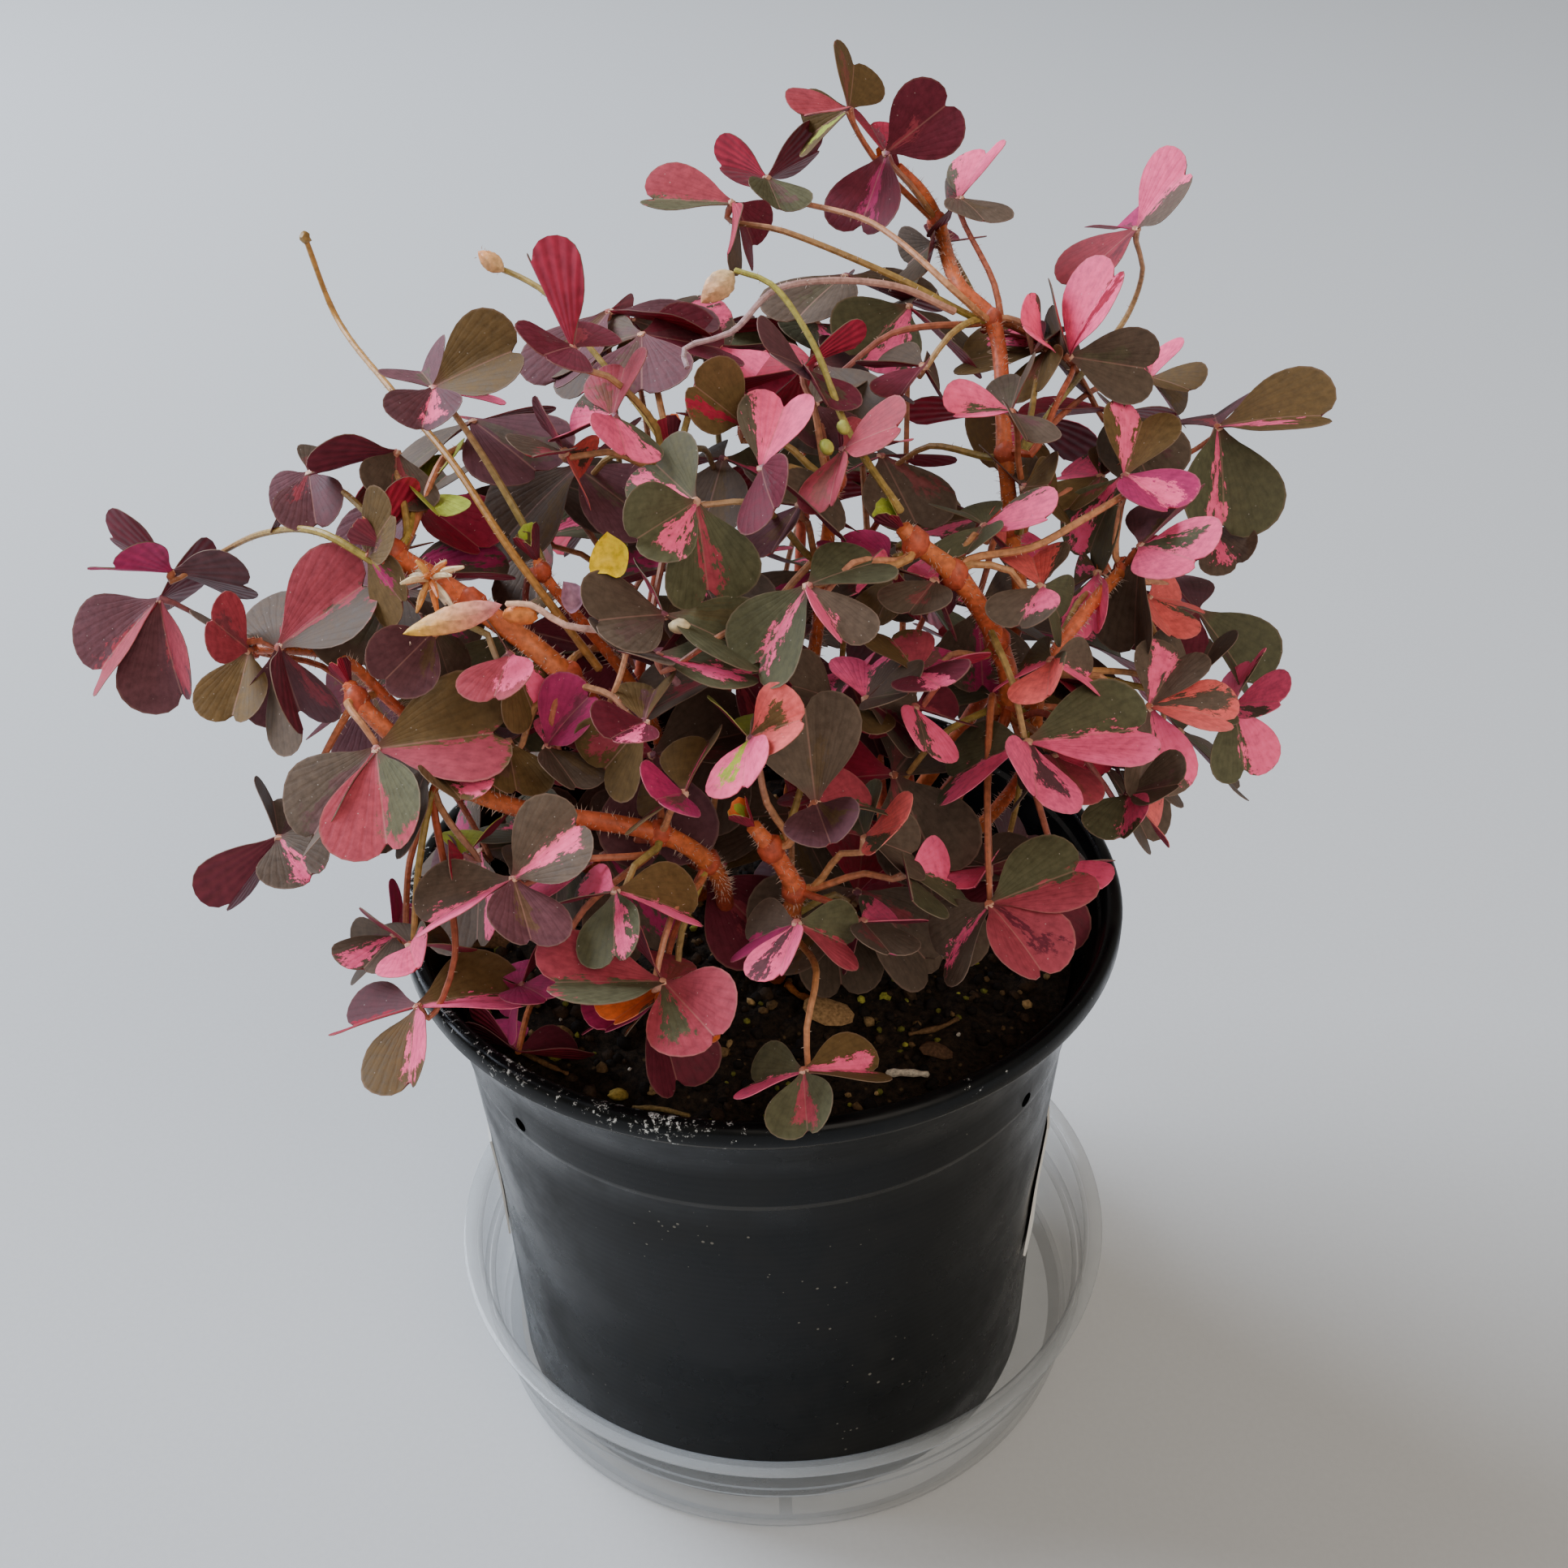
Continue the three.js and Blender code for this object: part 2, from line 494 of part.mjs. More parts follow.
// A leaflet's upper side, from how broadly it shows to the camera.
function leafletNormal(hub, midrib, width, preferred) {
  const toEye = VIEW.eye.clone().sub(hub).normalize();
  const facing = toEye.clone().addScaledVector(midrib, -toEye.dot(midrib)).normalize();
  const across = new THREE.Vector3().crossVectors(midrib, facing);
  const roll = Math.acos(Math.min(1, Math.abs(width)));
  const options = [roll, -roll].map((angle) =>
    facing
      .clone()
      .multiplyScalar(Math.cos(angle))
      .addScaledVector(across, Math.sin(angle))
      .multiplyScalar(Math.sign(width)),
  );
  return options[0].dot(preferred) >= options[1].dot(preferred) ? options[0] : options[1];
}

// Two directions at right angles in the plane a leaf's axis stands on.
function planeOf(axis) {
  const first = new THREE.Vector3().crossVectors(axis, new THREE.Vector3(0.36, 0.48, -0.8)).normalize();
  return [first, new THREE.Vector3().crossVectors(axis, first)];
}

// Leaflets as they can stand on one stalk: kept apart round the leaf's axis, near its plane,
// and with their upper sides to the same side.
function easeLeaflets(leaflets, axis) {
  const [first, second] = planeOf(axis);
  const polar = leaflets
    .map((leaflet) => ({
      leaflet,
      angle: Math.atan2(leaflet.midrib.dot(second), leaflet.midrib.dot(first)),
      tilt: THREE.MathUtils.clamp(Math.asin(leaflet.midrib.dot(axis)), deg(EASE.lowest),
        deg(EASE.highest)),
    }))
    .sort((p, q) => p.angle - q.angle);
  const apart = deg(leaflets.length > 3 ? EASE.apartOfFour : EASE.apart);
  for (let round = 0; round < EASE.rounds; round += 1) {
    polar.forEach((low, i) => {
      const high = polar[(i + 1) % polar.length];
      const wrap = i + 1 === polar.length ? 2 * Math.PI : 0;
      const short = Math.max(0, apart - (high.angle + wrap - low.angle));
      low.angle -= short / 2;
      high.angle += short / 2;
    });
  }
  return polar.map(({ leaflet, angle, tilt }) => {
    const midrib = first
      .clone()
      .multiplyScalar(Math.cos(tilt) * Math.cos(angle))
      .addScaledVector(second, Math.cos(tilt) * Math.sin(angle))
      .addScaledVector(axis, Math.sin(tilt));
    const level = axis.clone().addScaledVector(midrib, -Math.sin(tilt)).normalize();
    const side = new THREE.Vector3().crossVectors(midrib, level);
    const roll = Math.atan2(leaflet.normal.dot(side), leaflet.normal.dot(level));
    const kept = THREE.MathUtils.clamp(roll, -deg(EASE.roll), deg(EASE.roll));
    const normal = level.multiplyScalar(Math.cos(kept)).addScaledVector(side, Math.sin(kept));
    return { ...leaflet, midrib, normal, angle };
  });
}

// Where a leaf stalk leaves a node: beside the stem, on the side it is heading for.
function besideStem(node, target) {
  const { way, radius, foot } = STEMS.find((stem) => stem.way.includes(node));
  const place = way.indexOf(node);
  const after = place + 1 < way.length ? wayPoint(way[place + 1]) : soilPoint(foot);
  const along = after.sub(wayPoint(way[place - 1])).normalize();
  const side = target.clone().sub(wayPoint(node));
  side.addScaledVector(along, -side.dot(along)).normalize();
  return wayPoint(node).addScaledVector(side, radius + GAP + LEAF.stalkRadius + COLLAR.clear);
}

// One leaf from its line in the table.
function readLeaf([node, pixel, via, tips], random) {
  const hub = plantPoint(pixel);
  const longest = Math.max(...tips.map((tip) => closestReach(hub, tip)));
  const length = THREE.MathUtils.clamp(longest * 1.04, LEAF.minLength, LEAF.maxLength);
  const midribs = settleLeaflets(tips.map((tip) => leafletEnds(hub, tip, length)));
  const preferred = UP.clone();
  midribs.forEach((m) => preferred.addScaledVector(m, -0.25));
  preferred.normalize();
  const leaflets = tips.map((tip, i) => ({
    midrib: midribs[i],
    normal: leafletNormal(hub, midribs[i], tip[2], preferred),
    length: Math.min(length, Math.max(closestReach(hub, tip), length * 0.8)),
    fold: deg(16 + 20 * random()),
  }));
  const bends = [...via].reverse().map(plantPoint);
  const stalk = [besideStem(node, bends.length > 0 ? bends[0] : hub), ...bends, hub];
  const axis = preferred.clone().multiplyScalar(0.5);
  leaflets.forEach(({ normal }) => axis.add(normal));
  axis.normalize();
  return { node, hub, axis, leaflets: easeLeaflets(leaflets, axis), stalk,
    way: sightLine(pixel).normalize() };
}

// The distance from a hub to the nearest point of a pixel's sight line.
function closestReach(hub, pixel) {
  const line = sightLine(pixel).normalize();
  const offset = hub.clone().sub(VIEW.eye);
  return offset.addScaledVector(line, -offset.dot(line)).length();
}

// A leaf moved along its own sight line, which keeps it on its pixels. Its stalk stretches.
function slideLeaf(leaf, distance) {
  const last = leaf.stalk.length - 1;
  return {
    ...leaf,
    hub: leaf.hub.clone().addScaledVector(leaf.way, distance),
    stalk: leaf.stalk.map((p, i) => p.clone().addScaledVector(leaf.way, (distance * i) / last)),
  };
}

// Points spread over a leaf's blades and the outer part of its stalk.
function leafSamples(leaf) {
  const points = leaf.leaflets.flatMap(({ midrib, normal, length, fold }) => {
    const across = new THREE.Vector3().crossVectors(normal, midrib);
    return SPREAD.places.map(([along, out]) =>
      leaf.hub
        .clone()
        .addScaledVector(midrib, along * length)
        .addScaledVector(across, out * length * Math.cos(fold))
        .addScaledVector(normal, Math.abs(out) * length * Math.sin(fold)),
    );
  });
  const [inner, outer] = leaf.stalk.slice(-2);
  SPREAD.stalk.forEach((t) => points.push(inner.clone().lerp(outer, t)));
  return points;
}

// Leaves that crowd each other are slid apart, each in turn to where it has the most room.
function spreadLeaves(leaves) {
  const slides = leaves.map(() => 0);
  const samples = leaves.map((leaf) => leafSamples(leaf));
  const fixed = STEMS.flatMap((stem) => stem.way.map(wayPoint));
  const crowding = (points, others) => {
    let sum = 0;
    points.forEach((p) =>
      others.forEach((q) => {
        sum += Math.max(0, SPREAD.near ** 2 - p.distanceToSquared(q));
      }),
    );
    return sum;
  };
  for (let round = 0; round < SPREAD.rounds; round += 1) {
    leaves.forEach((leaf, i) => {
      const others = samples.flatMap((points, j) => (j === i ? [] : points)).concat(fixed);
      let best = null;
      SPREAD.slides.forEach((distance) => {
        const points = leafSamples(slideLeaf(leaf, distance));
        const cost = crowding(points, others) + SPREAD.stay * distance ** 2;
        if (best === null || cost < best.cost - 1e-6) {
          best = { cost, distance, points };
        }
      });
      slides[i] = best.distance;
      samples[i] = best.points;
    });
  }
  return leaves.map((leaf, i) => slideLeaf(leaf, slides[i]));
}

// Rear shoots: a node on the half ring behind, with leaf hubs further out and higher.
function rearShoots() {
  const random = makeRandom(REAR.seed);
  const { centre, nodeReach, nodeHeights, hubReach, hubHeights } = REAR;
  return [...Array(REAR.shoots).keys()].map((c) => {
    const angle = deg(THREE.MathUtils.lerp(REAR.firstAngle, REAR.lastAngle, c / (REAR.shoots - 1)));
    const node = new THREE.Vector3(
      centre[0] + nodeReach[0] * Math.cos(angle),
      centre[1] + nodeReach[1] * Math.sin(angle) - 4,
      THREE.MathUtils.lerp(nodeHeights[0], nodeHeights[1], random()),
    );
    const foot = new THREE.Vector3(REAR.footRing * Math.cos(angle), REAR.footRing * Math.sin(angle),
      SOIL.crownTop - REAR.footDepth);
    const leaves = [...Array(REAR.leavesPerShoot).keys()].map((k) => {
      const level = (k + 0.4 * random()) / (REAR.leavesPerShoot - 0.6);
      const turn = angle + deg(26 * (random() - 0.5));
      const inward = 1 - 0.45 * level ** 2;
      const hub = new THREE.Vector3(
        centre[0] + hubReach[0] * inward * Math.cos(turn),
        centre[1] + hubReach[1] * inward * Math.sin(turn),
        THREE.MathUtils.lerp(hubHeights[0], hubHeights[1], level),
      );
      const out = new THREE.Vector3(Math.cos(turn), Math.sin(turn), 0.2 + level).normalize();
      return spreadLeaf(`rear_${c + 1}`, hub, node, out, random);
    });
    return { name: `rear_${c + 1}`, node, foot, leaves };
  });
}

function spreadLeaf(node, hub, start, out, random) {
  const axis = out.clone().multiplyScalar(0.7).add(UP).normalize();
  const first = new THREE.Vector3().crossVectors(axis, new THREE.Vector3(1, 0.2, 0)).normalize();
  const length = 13.5 + 2.2 * random();
  const turn = random() * 2 * Math.PI;
  const leaflets = [0, 1, 2].map((i) => {
    const midrib = first
      .clone()
      .applyAxisAngle(axis, turn + (i * 2 * Math.PI) / 3 + 0.3 * (random() - 0.5))
      .addScaledVector(axis, -0.25 - 0.3 * random())
      .normalize();
    const normal = axis.clone().addScaledVector(midrib, -axis.dot(midrib)).normalize();
    normal.applyAxisAngle(midrib, 0.7 * (random() - 0.5));
    return { midrib, normal, length, fold: deg(14 + 20 * random()) };
  });
  return { node, hub, axis, leaflets: easeLeaflets(leaflets, axis), stalk: [start, hub] };
}

// Leaf solids

// The sections of a leaf stalk from its hub down: rings of points, one for each gap between
// the leaflets. The stalk leaves the underside of the hub with a short bent neck, through the
// gap that faces its node, and arches when it has no points read between its ends.
function stalkRings(leaf, spokes, radius) {
  const points = [...leaf.stalk].reverse();
  if (points.length === 2) {
    const middle = points[0].clone().lerp(points[1], 0.45);
    middle.z += 0.08 * points[0].distanceTo(points[1]);
    points.splice(1, 0, middle);
  }
  const away = points[1].clone().sub(points[0]);
  const gap = spokes.reduce((best, spoke) => (spoke.dot(away) > best.dot(away) ? spoke : best));
  points.splice(1, 0, leaf.hub.clone().addScaledVector(leaf.axis, -LEAF.neck).addScaledVector(gap,
    0.5 * LEAF.neck));
  const curve = new THREE.CatmullRomCurve3(points);
  const steps = points.length - 1;
  const turn = new THREE.Quaternion();
  let before = leaf.axis;
  return [...Array(steps).keys()].map((i) => {
    const t = (i + 1) / steps;
    const back = curve.getTangent(t).negate();
    turn.premultiply(new THREE.Quaternion().setFromUnitVectors(before, back));
    before = back;
    const centre = curve.getPoint(t);
    return spokes.map((spoke) => centre.clone().addScaledVector(spoke.clone().applyQuaternion(turn),
      radius));
  });
}

// The leaflets in order round the leaf's axis, and the spokes that point between them.
function leafSpokes({ leaflets, axis }) {
  const ordered = [...leaflets].sort((p, q) => p.angle - q.angle);
  const [first, second] = planeOf(axis);
  const spokes = ordered.map(({ angle }, i) => {
    const before = i > 0 ? ordered[i - 1].angle : ordered.at(-1).angle - 2 * Math.PI;
    const middle = (angle + before) / 2;
    return first.clone().multiplyScalar(Math.cos(middle)).addScaledVector(second, Math.sin(middle));
  });
  return { ordered, spokes };
}

// A leaf as one closed body: a folded, notched leaflet for each direction round the hub, and
// the stalk below.
function leafSolid(leaf, grow) {
  const { axis } = leaf;
  const { ordered, spokes } = leafSpokes(leaf);
  const n = ordered.length;
  const lift = LEAF.thickness / 2 + grow;
  const vertices = [leaf.hub.clone().addScaledVector(axis, lift)];
  const faces = [];
  const add = (point) => vertices.push(point) - 1;
  const raised = (point, way, height) => point.clone().addScaledVector(way, height);
  const axils = spokes.map((spoke) => {
    const point = leaf.hub.clone().addScaledVector(spoke, LEAF.stalkRadius + grow);
    return [add(raised(point, axis, lift)), add(raised(point, axis, -lift))];
  });
  ordered.forEach(({ midrib, normal, length, fold }, i) => {
    const across = new THREE.Vector3().crossVectors(normal, midrib);
    const half = LEAF.halfWidth * length + grow;
    const [right, notch, left] = LEAF.outline.map(([along, out]) => {
      const point = leaf.hub
        .clone()
        .addScaledVector(midrib, along * length + grow)
        .addScaledVector(across, out * half * Math.cos(fold))
        .addScaledVector(normal, Math.abs(out) * half * Math.sin(fold));
      return [add(raised(point, normal, lift)), add(raised(point, normal, -lift))];
    });
    const before = axils[i];
    const after = axils[(i + 1) % n];
    const rim = [before, right, notch, left, after];
    for (let k = 0; k < rim.length - 1; k += 1) {
      faces.push([0, rim[k][0], rim[k + 1][0]]);
      faces.push([rim[k][1], rim[k + 1][1], rim[k + 1][0]], [rim[k][1], rim[k + 1][0], rim[k][0]]);
    }
    faces.push([notch[1], right[1], before[1]], [notch[1], before[1], after[1]],
      [notch[1], after[1], left[1]]);
  });
  let upper = axils.map(([, below]) => below);
  stalkRings(leaf, spokes, LEAF.stalkRadius + grow).forEach((ring) => {
    const lower = ring.map(add);
    faces.push(...sleeve(upper, lower));
    upper = lower;
  });
  for (let k = 1; k < n - 1; k += 1) {
    faces.push([upper[0], upper[k + 1], upper[k]]);
  }
  return solidFrom(vertices, faces);
}

// The faces between two rings of vertex numbers.
function sleeve(upper, lower) {
  return upper.flatMap((u, k) => {
    const next = (k + 1) % upper.length;
    return [[lower[k], lower[next], upper[next]], [lower[k], upper[next], u]];
  });
}

function solidFrom(vertices, faces) {
  const geometry = new THREE.BufferGeometry().setFromPoints(vertices);
  geometry.setIndex(faces.flat());
  return toSolid(geometry);
}

// A leaf's stalk by itself.
function stalkSolid(leaf, grow) {
  const { spokes } = leafSpokes(leaf);
  const rings = stalkRings(leaf, spokes, LEAF.stalkRadius + grow);
  const top = spokes.map((spoke) => leaf.hub.clone().addScaledVector(spoke, LEAF.stalkRadius + grow));
  const vertices = [top, ...rings].flat();
  const n = spokes.length;
  const faces = [];
  for (let i = 0; i < rings.length; i += 1) {
    const ring = [...Array(n).keys()].map((k) => i * n + k);
    faces.push(...sleeve(ring, ring.map((k) => k + n)));
  }
  const last = n * rings.length;
  for (let k = 1; k < n - 1; k += 1) {
    faces.push([0, k, k + 1], [last, last + k + 1, last + k]);
  }
  return solidFrom(vertices, faces);
}

// A bud: an oval drawn out between two points.
function oval(from, to, radius, grow) {
  const half = from.distanceTo(to) / 2 + grow;
  const shape = new THREE.SphereGeometry(1, 8, 6);
  shape.scale(radius + grow, half, radius + grow);
  const turn = new THREE.Quaternion().setFromUnitVectors(new THREE.Vector3(0, 1, 0),
    to.clone().sub(from).normalize());
  shape.applyQuaternion(turn);
  const middle = from.clone().lerp(to, 0.5);
  shape.translate(middle.x, middle.y, middle.z);
  return toSolid(shape);
}

// The photographed leaves gathered by node, then the rear shoots.
function planShoots() {
  const random = makeRandom(11);
  const leaves = spreadLeaves(LEAVES.map((entry) => readLeaf(entry, random)));
  const seen = Object.keys(NODES).map((name) => ({
    name,
    node: wayPoint(name),
    collar: STEMS.find((stem) => stem.way.includes(name)).radius + COLLAR.reach,
    leaves: leaves.filter((leaf) => leaf.node === name),
  }));
  const rear = rearShoots().map((shoot) => ({ ...shoot, collar: REAR.stemRadius + REAR.collar }));
  return growInnerLeaves([...seen, ...rear]);
}

// Adds the inner leaves to the shoots that they grow from.
function growInnerLeaves(shoots) {
  const random = makeRandom(INNER.seed);
  const hubs = shoots.flatMap((shoot) => shoot.leaves.map((leaf) => leaf.hub));
  for (let i = 0; i < INNER.leaves; i += 1) {
    let best = null;
    for (let k = 0; k < INNER.tries; k += 1) {
      const turn = 2 * Math.PI * random();
      const reach = Math.sqrt(random());
      const column = INNER.middle[0] + INNER.reach[0] * reach * Math.cos(turn);
      const row = INNER.middle[1] + INNER.reach[1] * reach * Math.sin(turn);
      const hub = plantPoint([column, row, THREE.MathUtils.lerp(...INNER.depths, random())]);
      const lengths = shoots.map((shoot) => shoot.node.distanceTo(hub));
      const length = Math.min(...lengths);
      const room = Math.min(...hubs.map((other) => other.distanceTo(hub)));
      const fits = hub.z > INNER.lowest && length > INNER.stalkLengths[0] && length < INNER.stalkLengths[1];
      if (fits && (best === null || room > best.room)) {
        best = { hub, room, home: shoots[lengths.indexOf(length)] };
      }
    }
    if (best !== null) {
      const { hub, home } = best;
      const start = home.foot ? home.node.clone() : besideStem(home.name, hub);
      const out = hub.clone().sub(CANOPY.centre).normalize();
      home.leaves.push(spreadLeaf(home.name, hub, start, out, random));
      hubs.push(hub);
    }
  }
  return shoots;
}

// Assembly

const plant = new THREE.Group();

function addMesh(name, solid, colour, roughness, extra = {}) {
  const settled = largestBody(toSolid(toGeometry(solid.simplify(SLIVER))));
  const material = new THREE.MeshStandardMaterial({ color: colour, roughness, metalness: 0, ...extra });
  const mesh = new THREE.Mesh(toGeometry(settled), material);
  mesh.name = name;
  plant.add(mesh);
}

function wallRadius(height) {
  for (let i = 1; i < POT_WALL.length; i += 1) {
    const [r1, z1] = POT_WALL[i];
    const [r0, z0] = POT_WALL[i - 1];
    if (height <= z1) {
      return THREE.MathUtils.mapLinear(height, z0, z1, r0, r1);
    }
  }
  return POT_WALL.at(-1)[0];
}

function upright(radius, sides, x, y, bottom, top) {
  const post = new THREE.CylinderGeometry(radius, radius, top - bottom, sides);
  post.rotateX(Math.PI / 2);
  post.translate(x, y, (top + bottom) / 2);
  return toSolid(post);
}

function potSolid() {
  const rimBottom = POT.rimTop - POT.rimBand;
  const inner = POT_WALL.slice(1, -1).map(([r, z]) => [r - POT.wall, z]);
  const profile = [
    [0, POT.floorBottom],
    [POT.footRadius - POT.footRing, POT.floorBottom],
    [POT.footRadius - POT.footRing, POT.footBottom],
    ...POT_WALL,
    [POT.rimRadius - POT.bevel, rimBottom],
    [POT.rimRadius, rimBottom + POT.bevel],
    [POT.rimRadius, POT.rimTop - POT.bevel],
    [POT.rimRadius - POT.bevel, POT.rimTop],
    [POT.rimInner + POT.bevel, POT.rimTop],
    [POT.rimInner, POT.rimTop - POT.bevel],
    [POT.rimInner - POT.bevel, rimBottom + POT.bevel],
    ...inner.reverse(),
    [POT.footRadius - POT.wall, POT.floorTop],
    [0, POT.floorTop],
  ];
  let pot = turned(profile, POT.segments);
  for (let i = 0; i < DRAIN.count; i += 1) {
    const a = (2 * Math.PI * (i + 0.5)) / DRAIN.count;
    const hole = upright(DRAIN.radius, 8, DRAIN.ring * Math.cos(a), DRAIN.ring * Math.sin(a), 0,
      POT.floorTop + 2);
    pot = pot.subtract(hole);
  }
  for (const angle of HANGER.angles) {
    const hole = new THREE.CylinderGeometry(HANGER.radius, HANGER.radius, 8, 6);
    hole.rotateZ(Math.PI / 2);
    hole.translate(wallRadius(HANGER.height), 0, HANGER.height);
    hole.rotateZ(deg(angle));
    pot = pot.subtract(toSolid(hole));
  }
  return pot;
}

function saucerSolid() {
  const { floorRadius, floor, stepHeight, rimHeight, rimRadius, rimInner, wall } = SAUCER;
  const profile = [
    [0, 0],
    [floorRadius, 0],
    [floorRadius + 1.4, stepHeight],
    [rimInner + wall - 0.4, stepHeight + 0.9],
    [rimInner + wall, rimHeight - wall],
    [rimRadius, rimHeight - wall],
    [rimRadius, rimHeight],
    [rimInner, rimHeight],
    [rimInner - 0.5, stepHeight + 1.7],
    [floorRadius + 0.3, stepHeight + 0.9],
    [floorRadius - wall, floor],
    [0, floor],
  ];
  const solid = turned(profile, POT.segments);
  return solid.translate([SAUCER.offset[0], SAUCER.offset[1], 0]);
}

function soilSolid() {
  const profile = [
    [0, POT.floorTop + GAP],
    [POT.footRadius - POT.wall - GAP, POT.floorTop + GAP],
    ...[45, 75, 86, SOIL.edgeTop].map((z) => [wallRadius(z) - POT.wall - GAP - 0.15, z]),
    [20, SOIL.crownTop - 0.4],
    [0, SOIL.crownTop],
  ];
  return turned(profile, POT.segments);
}

// A strip bent round the rear of the pot, a hair off its wall.
function labelSolid() {
  const inner = GAP + LABEL.clear;
  const outer = inner + LABEL.thickness;
  const corners = [[LABEL.bottom, inner], [LABEL.bottom, outer], [LABEL.top, outer],
    [LABEL.top, inner]];
  const section = [...corners, corners[0]].map(([z, off]) => [wallRadius(z) + off, z]);
  const reach = 2 * POT.rimRadius;
  const sector = new THREE.Shape();
  sector.moveTo(0, 0);
  for (let i = 0; i <= LABEL.bends; i += 1) {
    const a = deg(THREE.MathUtils.lerp(LABEL.rightEnd, LABEL.leftEnd, i / LABEL.bends));
    sector.lineTo(reach * Math.cos(a), reach * Math.sin(a));
  }
  const wedge = toSolid(new THREE.ExtrudeGeometry(sector,
    { depth: 2 * LABEL.top, bevelEnabled: false }));
  return turned(section, 4 * LABEL.bends).intersect(wedge);
}

// Plant solids take their room in turn: each new one is cut back from the ones before it.
const taken = [];

function reserve(owner, solid) {
  taken.push({ owner, solid, box: solid.boundingBox() });
}

function apart(a, b) {
  return [0, 1, 2].some((i) => a.min[i] > b.max[i] || a.max[i] < b.min[i]);
}

// The union of what lies close to a solid and belongs to others, or null.
function closeTo(solid, list, owner) {
  const box = solid.boundingBox();
  const close = list.filter((other) => other.owner !== owner && !apart(box, other.box));
  return close.length > 0 ? wasm.Manifold.union(close.map((other) => other.solid)) : null;
}

function cut(solid, tool) {
  return tool ? solid.subtract(tool) : solid;
}

function clearOfOthers(solid, owner) {
  return cut(solid, closeTo(solid, taken, owner));
}

function ball(centre, radius) {
  return toSolid(new THREE.IcosahedronGeometry(radius, 0).translate(centre.x, centre.y, centre.z));
}

addMesh("saucer", saucerSolid(), 0xdfe6e8, 0.12, { transparent: true, opacity: 0.35 });
addMesh("pot", potSolid(), 0x1e2225, 0.45);
addMesh("label", labelSolid(), 0xe9e9e4, 0.6);
addMesh("soil", soilSolid(), 0x1d1712, 0.98);

// Everything of the plant stays above the soil and clear of the rim and wall.
reserve("ground", turned(GROUND_PROFILE, POT.segments));

// Stems come first.
for (const stem of STEMS) {
  const points = [...stem.way.map(wayPoint), soilPoint(stem.foot)];
  const steps = 2 * points.length;
  addMesh(stem.name, largestBody(clearOfOthers(rod(points, stem.radius, 6, steps), stem.name)),
    0x9c4a2c, 0.6);
  reserve(stem.name, rod(points, stem.radius + GAP, 6, steps));
}

for (const stalk of STALKS) {
  const points = stalk.way.map(wayPoint);
  const steps = 2 * points.length;
  addMesh(stalk.name, largestBody(clearOfOthers(rod(points, stalk.radius, 5, steps), stalk.name)),
    0xa58a52, 0.6);
  reserve(stalk.name, rod(points, stalk.radius + GAP, 5, steps));
}

for (const bud of BUDS) {
  const from = plantPoint(bud.from);
  const along = canopyDepth(bud.from) + bud.from[2];
  const to = VIEW.eye.clone().addScaledVector(sightLine(bud.to), along);
  const way = (bud.stalk ?? []).map(wayPoint);
  const shape = (grow) =>
    wasm.Manifold.union([
      oval(from, to, bud.radius, grow),
      ...(way.length > 0 ? [rod(way, BUD_STALK.radius + grow, BUD_STALK.sides, 2 * way.length)] : []),
    ]);
  addMesh(bud.name, largestBody(clearOfOthers(shape(0), bud.name)), bud.colour, 0.7);
  reserve(bud.name, shape(GAP));
}

const shoots = planShoots();

// Each shoot is a collar round the stem with its leaves. Collars, rear stems and leaf stalks
// keep their whole shape: blades that cross them give way.
const core = (shoot, grow) =>
  wasm.Manifold.union([
    ball(shoot.node, shoot.collar + grow),
    ...(shoot.foot ? [rod([shoot.node, shoot.foot], REAR.stemRadius + grow, 5, 3)] : []),
  ]);
const cores = shoots.map((shoot) => clearOfOthers(core(shoot, 0), shoot.name));
shoots.forEach((shoot) => reserve(shoot.name, core(shoot, GAP)));

const stalks = shoots.flatMap((shoot) =>
  shoot.leaves.map((leaf) => {
    const solid = stalkSolid(leaf, GAP);
    return { owner: shoot.name, solid, box: solid.boundingBox() };
  }),
);
const grownLeaves = [];

shoots.forEach((shoot, index) => {
  const leaves = shoot.leaves.map((leaf) => {
    const whole = leafSolid(leaf, 0);
    const earlier = closeTo(whole, grownLeaves, shoot.name);
    const clear = cut(clearOfOthers(whole, shoot.name), closeTo(whole, stalks, shoot.name));
    return largestBody(earlier ? cut(clear, earlier.subtract(stalkSolid(leaf, GAP))) : clear);
  });
  const solid = largestBody(wasm.Manifold.union([cores[index], ...leaves]));
  addMesh(`leaves_${shoot.name}`, solid, CLUSTER_COLOURS[index % CLUSTER_COLOURS.length], 0.65);
  shoot.leaves.forEach((leaf) => {
    const grown = leafSolid(leaf, GAP);
    grownLeaves.push({ owner: shoot.name, solid: grown, box: grown.boundingBox() });
  });
});

export default plant;
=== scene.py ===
"""Looks of a potted oxalis: a variegated bushy clover-leaved plant in a black nursery pot.

The plant's layout is worked out in millimetres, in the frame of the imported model, and turned
to metres when a mesh is made. Leaves are placed by the pixel at which the photograph shows
them and by how far they lie behind the front of the canopy.
"""

import logging
import math
from dataclasses import dataclass, field, replace
from enum import Enum
from functools import partial
from typing import Any, Callable, Iterable, Sequence

import bmesh
import bpy
import numpy as np
from mathutils import Matrix, Vector


